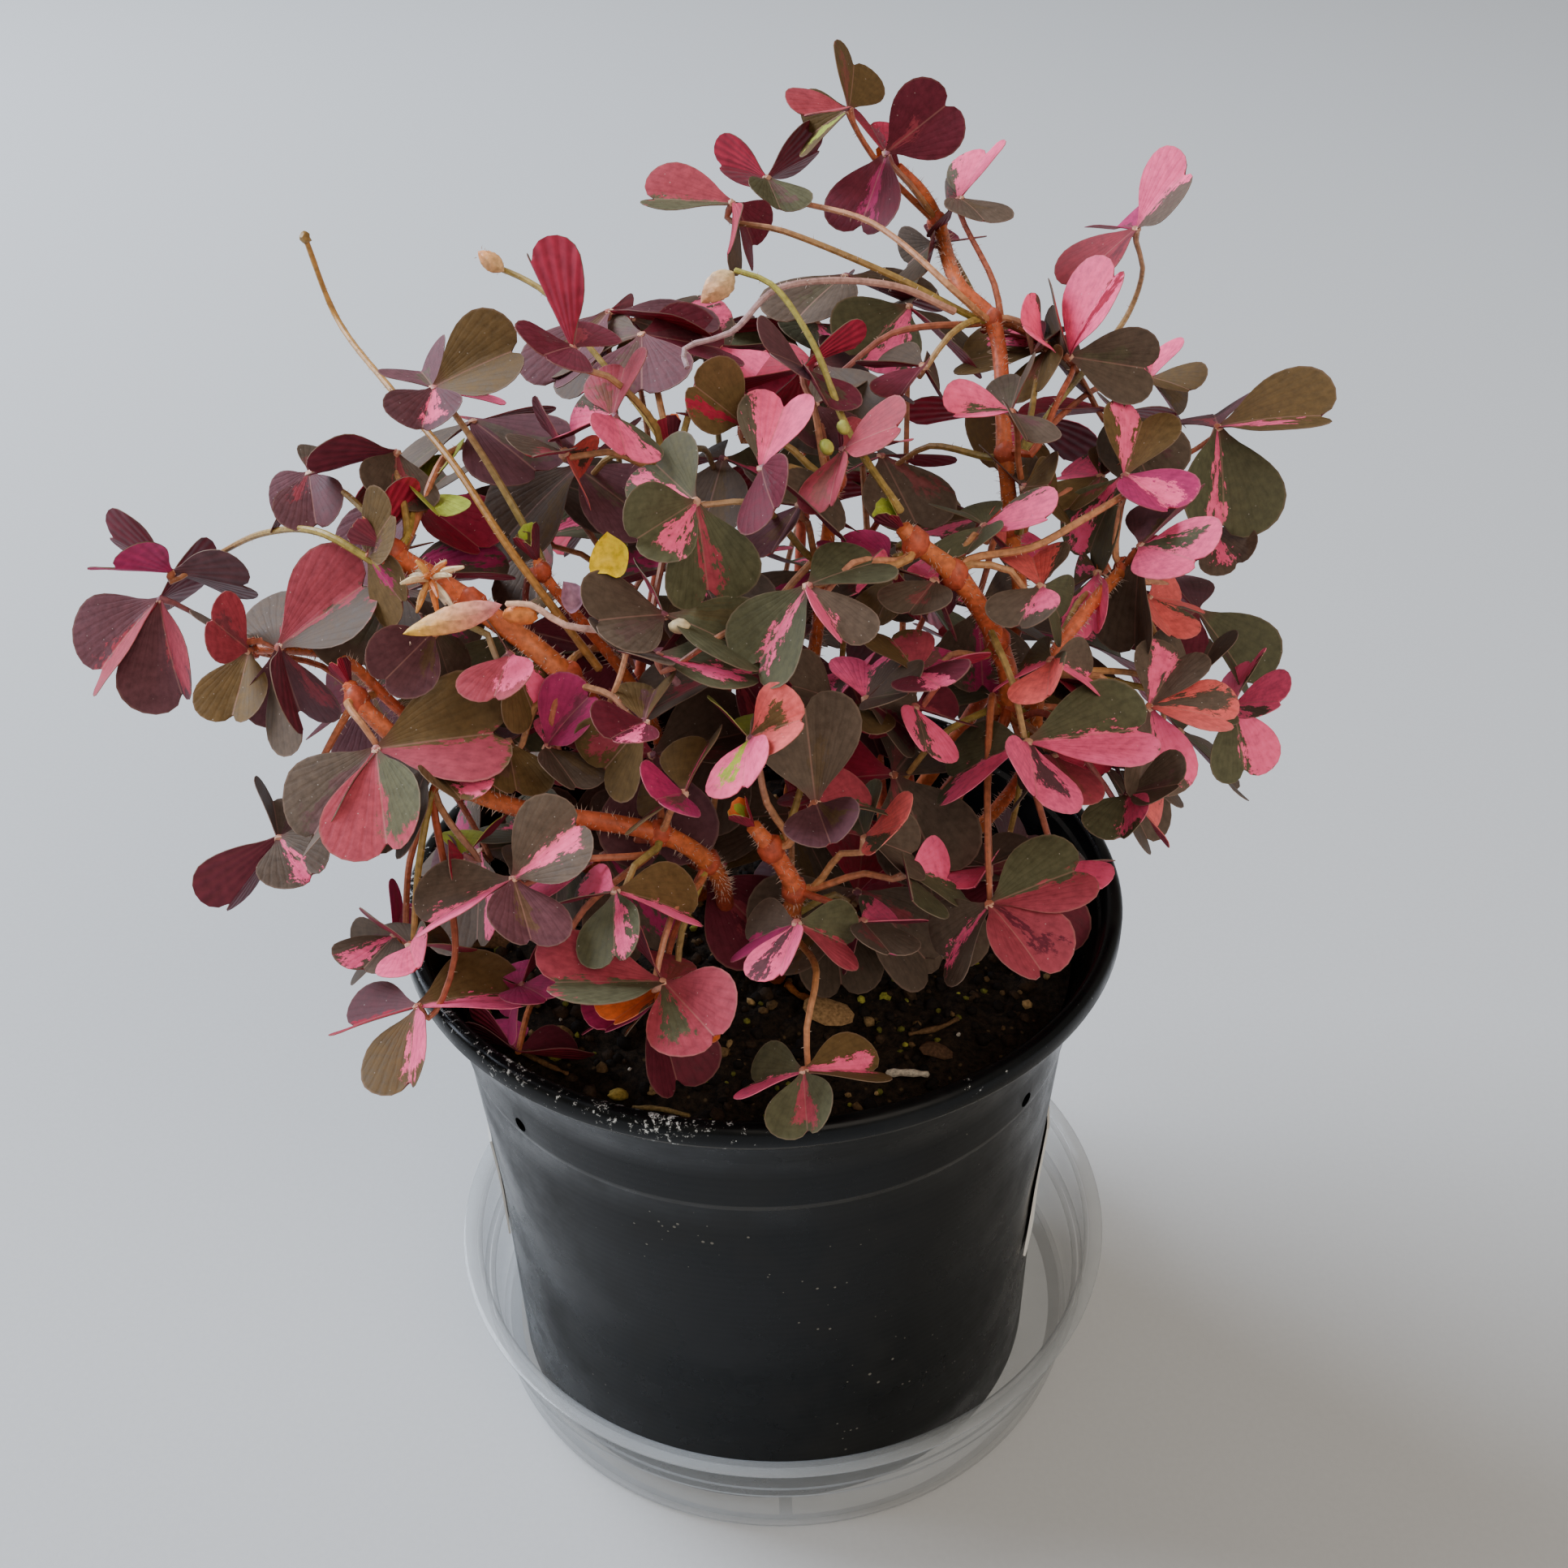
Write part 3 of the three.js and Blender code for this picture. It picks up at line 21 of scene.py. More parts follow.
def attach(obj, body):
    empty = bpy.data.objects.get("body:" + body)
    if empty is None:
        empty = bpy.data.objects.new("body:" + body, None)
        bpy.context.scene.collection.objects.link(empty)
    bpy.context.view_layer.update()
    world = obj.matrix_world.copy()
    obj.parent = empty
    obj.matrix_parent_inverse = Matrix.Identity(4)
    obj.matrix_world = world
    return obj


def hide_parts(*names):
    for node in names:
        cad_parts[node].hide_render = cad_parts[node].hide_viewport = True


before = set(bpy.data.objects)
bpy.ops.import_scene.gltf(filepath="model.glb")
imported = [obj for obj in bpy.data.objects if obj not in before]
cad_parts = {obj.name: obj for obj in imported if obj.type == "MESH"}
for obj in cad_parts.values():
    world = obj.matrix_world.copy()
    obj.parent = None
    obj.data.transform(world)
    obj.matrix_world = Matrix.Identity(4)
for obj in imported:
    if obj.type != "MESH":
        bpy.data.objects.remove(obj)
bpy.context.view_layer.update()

LOG = logging.getLogger("potted_oxalis")
Array = np.ndarray

# The table of leaves read from the photograph: shoot node, hub (column, row, depth), points of
# the leaf stalk, then each leaflet's notch [column, row, how broadly it shows], and the tints
# of the leaflets. "PG" is a pink leaflet with a green flame, "P|G" is half pink and half green.
LEAVES: list[tuple[str, tuple, list, list, str]] = [
    ("crown_tip", (1092, 188, 0), [[1120, 226, 2]],
     [[1168, 125, 1], [1060, 284, 0.8], [1066, 146, 0.35]], "B BM C"),
    ("crown_tip", (1046, 134, 2), [[1085, 205, 5]], [[1052, 62, 0.6], [978, 136, 0.3], [1012, 200, 0.6]],
     "Z R ZL"),
    ("crown", (1182, 244, 2), [[1225, 350, 9]], [[1220, 172, 0.5], [1158, 270, 0.4], [1222, 268, 0.4]],
     "P D D"),
    ("crown", (1150, 300, 16), [[1190, 345, 19]], [[1112, 330, 0.9], [1140, 344, 0.4], [1190, 290, 0.4]],
     "D D B"),
    ("crown", (945, 218, 4), [[1075, 275, 6], [1180, 362, 7]],
     [[1012, 170, -0.5], [884, 192, -0.7], [965, 268, 0.8]], "B C G"),
    ("crown", (904, 250, 0), [[966, 285, 3], [1100, 340, 9]],
     [[806, 270, 0.5], [911, 328, -0.4], [945, 316, 0.7]], "R|G C B"),
    ("crown", (1286, 420, 9), [], [[1278, 371, 0.4], [1237, 400, 0.4], [1310, 388, 0.5]], "P BP D"),
    ("crown", (1138, 450, 14), [], [[1066, 446, 0.3], [1100, 490, 0.4], [1160, 492, 0.5]], "D B D"),
    ("crown_low", (1400, 281, 4), [[1408, 330, 7], [1392, 383, 10], [1300, 500, 16]],
     [[1462, 205, 0.6], [1322, 346, 0.5], [1366, 270, 0.6]], "P|D R M"),
    ("crown_low", (1316, 439, 4), [[1305, 490, 8], [1270, 560, 14]],
     [[1292, 358, 0.3], [1368, 338, 0.5], [1416, 451, 1.1]], "D PC D"),
    ("crown_low", (1418, 465, 9), [], [[1470, 440, 0.5], [1477, 478, 0.5], [1440, 505, 0.4]], "PD Z D"),
    ("crown_low", (1291, 430, 7), [], [[1186, 437, 0.5], [1262, 486, 0.4], [1330, 480, 0.4]], "ZP Z D"),
    ("crown_base", (1356, 586, 14), [], [[1291, 575, 0.5], [1304, 624, 0.5], [1400, 560, 0.4]], "P Z Z"),
    ("crown_base", (1262, 600, 18), [], [[1320, 612, 0.8], [1290, 560, 0.5], [1222, 560, 0.5]], "Z Z D"),
    ("crown_base", (1245, 506, 12), [], [[1165, 500, 0.5], [1275, 545, 0.4], [1262, 455, 0.4]], "PG D D"),
    ("heart", (1501, 525, 0), [[1453, 565, 3], [1396, 603, 4], [1333, 641, 4], [1270, 675, 5]],
     [[1490, 494, 1.2], [1628, 500, 0.5], [1516, 647, 0.85]], "V ZP GP"),
    ("heart", (1213, 647, 10), [],
     [[1235, 692, 0.8], [1184, 690, 0.6], [1180, 612, 0.7], [1302, 635, 0.5]], "S G G P"),
    ("heart", (1283, 722, 4), [], [[1247, 774, 0.8], [1298, 778, 0.7], [1281, 681, 1.1]], "D|P G S"),
    ("heart_tip", (995, 721, 0), [], [[934, 819, 0.8], [1088, 682, 0.6], [1054, 796, 0.5]], "GP G P|D"),
    ("heart_tip", (811, 806, 4), [[877, 790, 2], [997, 724, -1], [1080, 702, 0]],
     [[933, 831, 0.6], [824, 785, 0.5], [745, 800, 0.4]], "GP B D"),
    ("heart_tip", (1097, 690, 6), [], [[1042, 738, -0.6], [1020, 664, 0.4], [1118, 745, 0.5]], "P M D"),
    ("heart_tip", (1105, 704, 15), [], [[1075, 785, 0.7], [1130, 760, 0.5], [1060, 690, 0.5]], "Z D D"),
    ("heart", (1152, 715, 9), [], [[1112, 762, 0.8], [1152, 775, 0.4], [1118, 698, 0.5]], "D B P"),
    ("heart_low", (1130, 830, 5), [], [[1107, 766, 0.9], [1192, 797, 0.4], [1160, 836, 0.5]], "Z|R M BP"),
    ("heart_low", (1067, 861, 5), [], [[1088, 802, 0.9], [1140, 838, 0.4], [1130, 915, 0.7]], "P|D D DB"),
    ("heart_low", (1127, 870, 13), [], [[1150, 935, 0.5], [1108, 908, 0.5], [1180, 885, 0.5]], "PD P B"),
    ("heart_low", (1267, 914, 0), [[1247, 839, 3], [1222, 780, 8]],
     [[1150, 955, 0.6], [1408, 898, 0.75], [1285, 995, 0.6]], "G|P G|P PV"),
    ("heart_base", (1297, 930, 9), [], [[1365, 950, -0.8], [1330, 985, 0.5], [1255, 985, 0.4]], "CG R D"),
    ("heart_base", (1391, 977, 3), [[1360, 966, 5], [1290, 880, 12]],
     [[1374, 1037, 0.85], [1443, 1025, 0.5], [1462, 950, 0.6], [1382, 935, 0.6]], "G|P S D D"),
    ("heart_base", (1219, 1114, 0), [[1217, 1040, 4], [1217, 947, 8], [1222, 860, 13]],
     [[1328, 1069, 0.8], [1293, 1194, 0.8], [1148, 1188, 0.75]], "G|R RB DP"),
    ("heart_base", (1217, 1066, 7), [[1218, 950, 14]],
     [[1135, 1040, 0.7], [1288, 1030, 0.5], [1195, 1100, 0.5]], "D D P"),
    ("heart_base", (1300, 1065, 11), [[1262, 930, 18]],
     [[1350, 1048, 0.6], [1352, 1098, 0.5], [1290, 1120, 0.4]], "D P P"),
    ("right_tip", (1386, 585, 6), [], [[1413, 502, 1], [1330, 683, 0.7], [1455, 625, 0.6]], "ZP GP MP"),
    ("right_tip", (1405, 672, 4), [], [[1392, 800, 0.6], [1485, 686, 0.7], [1468, 612, 0.35]], "D PG V"),
    ("right_tip", (1493, 650, 9), [], [[1533, 706, 1], [1537, 615, 0.5], [1450, 690, 0.4]], "DP P D"),
    ("right_tip", (1415, 735, 13), [], [[1450, 795, 0.6], [1465, 742, 0.6], [1380, 770, 0.5]], "S S D"),
    ("right", (1352, 705, 13), [], [[1310, 726, 0.5], [1335, 787, 0.6], [1380, 760, 0.5]], "ZP P O"),
    ("right", (1295, 813, 3), [], [[1240, 826, 0.5], [1357, 836, 0.9], [1287, 866, 0.7]], "G|P D|P S"),
    ("right", (1417, 870, 0), [[1355, 833, 6]], [[1461, 793, 0.95], [1500, 915, 0.65], [1462, 962, 0.8]],
     "DP SD D|P"),
    ("right", (1519, 868, 2), [[1420, 850, 12]], [[1588, 861, 0.65], [1537, 797, 0.5], [1545, 950, 0.8]],
     "PD P G|P"),
    ("right", (1470, 840, 12), [[1400, 830, 14]], [[1502, 780, 0.6], [1495, 890, 0.5], [1420, 800, 0.5]],
     "D G D"),
    ("front_tip", (925, 908, 0), [[945, 990, 5]],
     [[945, 835, 0.7], [988, 924, 0.7], [903, 975, 0.55], [897, 884, 0.4]], "SZ L PL L"),
    ("front_tip", (1005, 989, 2), [], [[1012, 870, 1], [1028, 1052, 1], [1076, 972, 0.7]], "D V R|G"),
    ("front", (1066, 1031, 5), [], [[1095, 1099, 0.55], [1122, 1012, 0.6], [1100, 978, 0.5]], "D SG G"),
    ("front_tip", (1030, 864, 9), [], [[978, 838, 0.8], [1054, 818, 0.4], [1066, 897, 0.5]], "D PD Z"),
    ("front", (1119, 1075, 6), [], [[1178, 1074, 0.9], [1128, 1118, 0.4], [1090, 1030, 0.4]], "P|G G D"),
    ("front_base", (981, 1137, 1), [], [[905, 1162, 0.6], [955, 1216, 0.6], [1056, 1177, 0.8]],
     "D|M PV G|R"),
    ("front", (1063, 1135, 7), [], [[1106, 1182, -1], [1070, 1192, 0.5], [1120, 1130, 0.4]], "M B P"),
    ("front_base", (990, 1319, -8), [[994, 1267, -5], [1006, 1198, 2]],
     [[912, 1334, 0.65], [995, 1409, 0.9], [1088, 1313, 0.65]], "G|P GR ZP"),
    ("drop_low", (842, 977, 2), [], [[872, 893, 0.6], [772, 1010, 0.6], [806, 945, 0.4]], "ZP ZR M"),
    ("drop_low", (758, 1097, 1), [], [[752, 1190, 0.75], [859, 1118, 0.65], [693, 1106, 0.45]],
     "GP Z|P D|P"),
    ("drop_low", (632, 1082, 0), [[700, 1062, 6]],
     [[668, 985, 0.8], [707, 1050, 0.55], [524, 1134, 0.55], [662, 1172, 0.85]], "DP DP D|P V"),
    ("drop_base", (818, 1209, -2), [[826, 1133, 4]],
     [[896, 1294, 1], [679, 1210, 0.55], [792, 1150, 0.4]], "RG R|G R"),
    ("drop_base", (820, 1218, 6), [], [[790, 1266, 0.7], [746, 1260, 0.6], [850, 1290, 0.5]], "O O O"),
    ("drop_base", (805, 1228, 13), [], [[775, 1292, 0.9], [800, 1338, 0.8], [720, 1260, 0.4]], "M B M"),
    ("drop_low", (641, 1214, 8), [[720, 1120, 12]],
     [[625, 1260, 0.6], [678, 1224, 0.6], [660, 1170, 0.4]], "M M M"),
    ("left_tip", (212, 704, 1), [[260, 688, 0], [330, 656, -1], [400, 658, -1]],
     [[131, 647, -0.4], [117, 701, -0.35], [306, 719, -0.5]], "B M V"),
    ("left_tip", (381, 582, 3), [], [[387, 653, 0.95], [332, 647, 0.4], [430, 560, 0.4]], "V V D"),
    ("left_tip", (488, 556, 7), [], [[388, 575, -0.3], [460, 622, 0.5], [482, 640, -0.35]], "B PB C"),
    ("left_tip", (522, 608, 8), [], [[545, 550, 0.5], [548, 640, 0.5], [492, 636, 0.4]], "L L L"),
    ("left_tip", (452, 684, 2), [],
     [[486, 613, 0.55], [507, 604, -0.3], [529, 661, 0.5], [504, 755, 0.6]], "Z C ZC ZM"),
    ("left", (535, 777, 9), [], [[470, 842, 1], [560, 860, 0.5], [500, 720, 0.4]], "V D D"),
    ("left", (630, 806, 9), [], [[600, 862, 0.6], [640, 893, 0.8], [600, 745, 0.4]], "R|P ZP D"),
    ("left_low", (673, 919, 9), [], [[665, 832, 0.4], [722, 872, 0.5], [732, 972, 0.5]], "M PG D"),
    ("left_low", (625, 912, 6), [[660, 870, 9]], [[640, 992, 0.9], [657, 893, 0.4], [545, 950, 0.4]],
     "Z V Z"),
    ("left_low", (794, 889, 3), [], [[806, 830, 0.85], [713, 880, 0.45], [760, 980, 0.85]], "Z BP ZR"),
    ("side_tip", (196, 738, 0), [[250, 762, 1]], [[125, 848, 0.6], [182, 864, 0.6], [255, 700, -0.4]],
     "V|R V|R B"),
    ("side_tip", (307, 801, 2), [], [[297, 737, 0.4], [256, 762, 0.4], [274, 885, 0.75]], "R D Z"),
    ("side_tip", (343, 797, 0), [],
     [[449, 718, 0.8], [357, 708, 0.5], [405, 878, 0.9], [366, 916, -0.3]], "R|D D|C V B"),
    ("drop_tip", (463, 923, 0), [], [[379, 1036, 0.55], [467, 1055, 0.85], [615, 900, 0.8]], "D R|G Z|R"),
    ("drop_tip", (343, 1031, 4), [[390, 950, 6]], [[388, 1082, 1.1], [292, 1125, -0.7], [335, 975, 0.4]],
     "DP B D"),
    ("drop", (528, 942, 8), [], [[487, 985, 0.7], [515, 1050, 0.6], [547, 1012, 0.6]], "DR D ZP"),
    ("drop", (570, 1055, 9), [], [[517, 1082, 0.6], [542, 1100, -0.4], [605, 1010, 0.5]], "V|M C L"),
    ("drop", (514, 1239, 0), [[560, 1180, 5]], [[413, 1266, 0.5], [492, 1347, 0.6], [637, 1210, 0.6]],
     "V|C Z|P Z|P"),
    ("drop", (486, 1153, 7), [], [[437, 1202, 0.8], [478, 1216, 0.4], [467, 1100, 0.3]], "DP D M"),
    ("drop", (505, 1163, 4), [], [[568, 1160, 0.5], [506, 1190, 0.6], [470, 1130, 0.4]], "Z P D"),
    ("mid", (990, 452, 8), [], [[953, 428, 0.5], [1060, 410, -0.35], [985, 497, 0.6], [1017, 510, 0.5]],
     "V C V B"),
    ("mid", (1004, 498, 13), [], [[1022, 556, 0.9], [960, 540, 0.5], [1050, 470, 0.5]], "V D D"),
    ("mid", (938, 576, 2), [], [[974, 484, 0.9], [1033, 650, 0.3], [950, 636, 0.5]], "P D B"),
    ("mid", (915, 522, 11), [], [[896, 440, 0.8], [855, 500, 0.5], [965, 500, 0.5]], "ZC B D"),
    ("mid", (1039, 553, 4), [], [[1104, 545, 0.4], [1116, 512, 0.5], [1012, 634, 0.5]], "R R R"),
    ("mid_low", (985, 622, 7), [], [[940, 696, 0.5], [945, 610, 0.5], [1045, 640, 0.5]], "V Z P"),
    ("mid_low", (857, 618, 0), [[927, 619, 4]], [[795, 560, 1], [775, 676, 1], [872, 735, 0.95]],
     "GP GP GR"),
    ("back_left", (706, 427, 2), [[748, 463, 5], [809, 528, 14]],
     [[655, 319, -0.5], [665, 435, 0.7], [712, 375, 0.9]], "CR B B"),
    ("back_left", (755, 512, 5), [], [[765, 440, 0.7], [695, 530, 0.5], [780, 562, 0.5]], "R P P"),
    ("back_left", (696, 556, 5), [], [[688, 515, 0.4], [644, 562, 0.3], [690, 617, 0.9]], "B D SD"),
    ("back_left", (820, 757, 7), [], [[938, 800, 0.6], [805, 722, 0.5], [720, 762, 0.8]], "G G D"),
    ("up_left", (534, 477, 3), [[556, 505, 5], [618, 599, 9]],
     [[631, 427, 0.8], [518, 449, 1.1], [517, 542, 0.95], [597, 484, 0.5]], "Z V VP PZ"),
]

# Shoot nodes where leaf stalks grow, as (column, row, depth behind the canopy's front).
NODES: dict[str, tuple[float, float, float]] = {
    "crown_tip": (1155, 275, 9),
    "crown": (1222, 395, 14),
    "crown_low": (1238, 560, 20),
    "crown_base": (1246, 650, 28),
    "heart_tip": (1128, 668, 4),
    "heart": (1176, 707, 7),
    "heart_low": (1228, 790, 15),
    "heart_base": (1240, 868, 24),
    "right_tip": (1385, 700, 12),
    "right": (1290, 822, 15),
    "front_tip": (950, 1045, 9),
    "front": (979, 1096, 13),
    "front_base": (972, 1130, 19),
    "left_tip": (484, 682, 3),
    "left": (582, 744, 7),
    "left_low": (700, 835, 13),
    "drop_tip": (440, 862, 5),
    "drop": (545, 955, 9),
    "drop_low": (813, 1027, 13),
    "drop_base": (872, 1062, 19),
    "side_tip": (312, 799, 3),
    "mid": (1030, 590, 13),
    "mid_low": (1018, 680, 24),
    "back_left": (830, 572, 20),
    "up_left": (668, 705, 14),
}

# Stems from the tip down: radius in mm, points or node names, and the foot on the soil.
STEMS: dict[str, tuple[float, list, tuple[float, float]]] = {
    "stem_crown": (1.25,
     [(1106, 206, 8), (1138, 240, 9), "crown_tip", (1184, 355, 12), "crown", "crown_low", "crown_base",
     (1252, 770, 38)], (17, 14)),
    "stem_heart": (1.6, [(1112, 650, 3), "heart_tip", "heart", "heart_low", "heart_base"], (13, 2)),
    "stem_right": (1.1, [(1405, 684, 11), "right_tip", "right", (1262, 950, 34)], (24, 6)),
    "stem_front": (1.5, [(928, 1018, 7), "front_tip", "front", "front_base"], (2, -12)),
    "stem_left": (1.7, [(470, 672, 2), "left_tip", "left", "left_low"], (-11, 10)),
    "stem_drop": (1.4, [(430, 842, 4), "drop_tip", "drop", (625, 992, 10), "drop_low", "drop_base"],
     (-6, -3)),
    "stem_side": (0.9, [(300, 797, 2), "side_tip", (422, 812, 10), (485, 868, 13)], (-20, 4)),
    "stem_mid": (1.1, [(1040, 566, 12), "mid", "mid_low", (1005, 790, 40)], (3, 20)),
    "stem_back_left": (1.1, [(826, 552, 19), "back_left", (870, 760, 38)], (-6, 27)),
    "stem_up_left": (0.9, [(662, 690, 13), "up_left", (800, 880, 34)], (-18, 16)),
}

# Thin bare stalks: radius in mm and points from the tip down.
STALKS: dict[str, tuple[float, list]] = {
    "tall_stalk": (0.55,
     [(376, 293, 8), (411, 384, 9), (488, 487, 10), (557, 569, 10), (630, 679, 10), (739, 825, 16)]),
    "old_stalk_right": (0.5,
     [(847, 453, 3), (843, 430, 3), (900, 410, 3), (960, 355, 3), (1100, 352, 6), (1176, 384, 9)]),
    "bud_stalk": (0.5, [(906, 333, 0), (950, 350, 0), (1000, 420, 3), (1045, 530, 5), (1110, 630, 0)]),
    "wilted_stalk": (0.5, [(624, 744, 1), (653, 745, 2), (696, 770, 3), (776, 784, 5), (835, 842, 12)]),
}


# Seed capsules and spent buds: both ends, radius in mm and colour.
SEED_HEADS: tuple[tuple, ...] = (
    ((785, 768, 4), (790, 780, 4), 1.3, "#b8733a"),
    ((828, 772, 3), (846, 771, 3), 1.1, "#e3cfa4"),
    ((626, 757, 3), (657, 757, 3), 1.5, "#cf7a3c"),
    ((1015, 545, 1), (1022, 556, 1), 1.0, "#a9b050"),
    ((1036, 522, 2), (1042, 532, 2), 0.9, "#b5b85c"),
)


class Random:
    """The plant's own random sequence, the same as the one that its layout was drawn with."""

    def __init__(self, seed: int) -> None:
        """Starts the sequence from a seed."""
        self.state = seed

    def draw(self) -> float:
        """Returns the next number from 0 up to 1."""
        self.state = (self.state * 1664525 + 1013904223) % 4294967296
        return self.state / 4294967296


def vec(*values: float) -> Array:
    """Returns the numbers as a vector."""
    return np.array(values, float)


def unit(v: Array) -> Array:
    """Returns the vector at length 1."""
    return v / np.linalg.norm(v)


def mix(a: Any, b: Any, share: float) -> Any:
    """Returns what lies at that share of the way from a to b."""
    return a + (b - a) * share


def turned(v: Array, axis: Array, angle: float) -> Array:
    """Turns a vector about an axis.

    Args:
        v: the vector.
        axis: a unit vector.
        angle: in radians.

    Returns:
        The turned vector.
    """
    c, s = math.cos(angle), math.sin(angle)
    return v * c + np.cross(axis, v) * s + axis * np.dot(axis, v) * (1 - c)


def smooth_way(points: Sequence[Array], spacing: float) -> Array:
    """Draws a smooth curve through points.

    Args:
        points: two or more points in mm.
        spacing: about how far apart the samples are to be, in mm.

    Returns:
        The samples, one in each row.
    """
    p = [np.asarray(q, float) for q in points]
    p = [2 * p[0] - p[1], *p, 2 * p[-1] - p[-2]]
    out = [p[1]]
    for a, b, c, d in zip(p, p[1:], p[2:], p[3:]):
        t1 = math.sqrt(np.linalg.norm(b - a)) + 1e-9
        t2 = t1 + math.sqrt(np.linalg.norm(c - b)) + 1e-9
        t3 = t2 + math.sqrt(np.linalg.norm(d - c)) + 1e-9
        count = max(2, int(np.linalg.norm(c - b) / spacing))
        for t in np.linspace(t1, t2, count + 1)[1:]:
            ab, bc, cd = mix(a, b, t / t1), mix(b, c, (t - t1) / (t2 - t1)), mix(c, d, (t - t2) / (t3 - t2))
            abc, bcd = mix(ab, bc, t / t2), mix(bc, cd, (t - t1) / (t3 - t1))
            out.append(mix(abc, bcd, (t - t1) / (t2 - t1)))
    return np.array(out)


# The camera and the canopy

@dataclass(frozen=True)
class PhotoView:
    """The camera that took the photograph, and the canopy's front as an ellipsoid."""

    focal: float = 2200.0
    centre: tuple[float, float] = (966.0, 966.0)
    picture: int = 1932
    sensor: float = 36.0
    eye: Array = field(default_factory=lambda: vec(0, -240.76, 283.95))
    forward: Array = field(default_factory=lambda: vec(0.01359, 0.82872, -0.55949))
    right: Array = field(default_factory=lambda: vec(0.99952, -0.02691, -0.01558))
    up: Array = field(default_factory=lambda: vec(0.02797, 0.55901, 0.82869))
    canopy_centre: Array = field(default_factory=lambda: vec(-4, 30, 88))
    canopy_radii: Array = field(default_factory=lambda: vec(97, 84, 118))

    def sight_line(self, pixel: Sequence[float]) -> Array:
        """Works out the direction through a pixel.

        Args:
            pixel: its column and row.

        Returns:
            The direction, 1 long along the view.
        """
        x = (pixel[0] - self.centre[0]) / self.focal
        y = (self.centre[1] - pixel[1]) / self.focal
        return self.forward + self.right * x + self.up * y

    def canopy_depth(self, pixel: Sequence[float]) -> float:
        """Works out where a pixel's sight line meets the canopy's front.

        Args:
            pixel: its column and row.

        Returns:
            How far along its sight line that is.
        """
        line = self.sight_line(pixel) / self.canopy_radii
        start = (self.eye - self.canopy_centre) / self.canopy_radii
        a, b, c = line @ line, start @ line, start @ start - 1
        root = b * b - a * c
        return -b / a if root < 0 else (-b - math.sqrt(root)) / a

    def place(self, spot: Sequence[float]) -> Array:
        """Returns the point in mm of a (column, row, depth)."""
        return self.eye + self.sight_line(spot) * (self.canopy_depth(spot) + spot[2])

    def camera(self) -> bpy.types.Object:
        """Makes the camera and sets it as the scene's."""
        data = bpy.data.cameras.new("photo_camera")
        data.sensor_width = self.sensor
        data.lens = self.focal / self.picture * self.sensor
        data.clip_start, data.clip_end = 0.01, 20.0
        camera = bpy.data.objects.new("photo_camera", data)
        bpy.context.scene.collection.objects.link(camera)
        rotation = Matrix([self.right.tolist(), self.up.tolist(), (-self.forward).tolist()]).transposed()
        camera.matrix_world = Matrix.Translation(Vector((self.eye / 1000).tolist())) @ rotation.to_4x4()
        bpy.context.scene.camera = camera
        return camera


VIEW = PhotoView()
UP = vec(0, 0, 1)


# Layout of the plant

@dataclass
class Leaflet:
    """One of the heart-shaped parts of a leaf."""

    midrib: Array
    normal: Array
    length: float
    fold: float
    tint: str
    shown: float
    angle: float = 0.0


@dataclass
class Leaf:
    """A leaf: its hub, the axis it stands on, its leaflets and the points of its stalk."""

    node: str
    hub: Array
    axis: Array
    leaflets: list[Leaflet]
    stalk: list[Array]
    way: Array


@dataclass
class Shoot:
    """A shoot node with its leaves, and the foot of its stem where that is drawn with it."""

    name: str
    at: Array
    foot: Array | None
    leaves: list[Leaf]


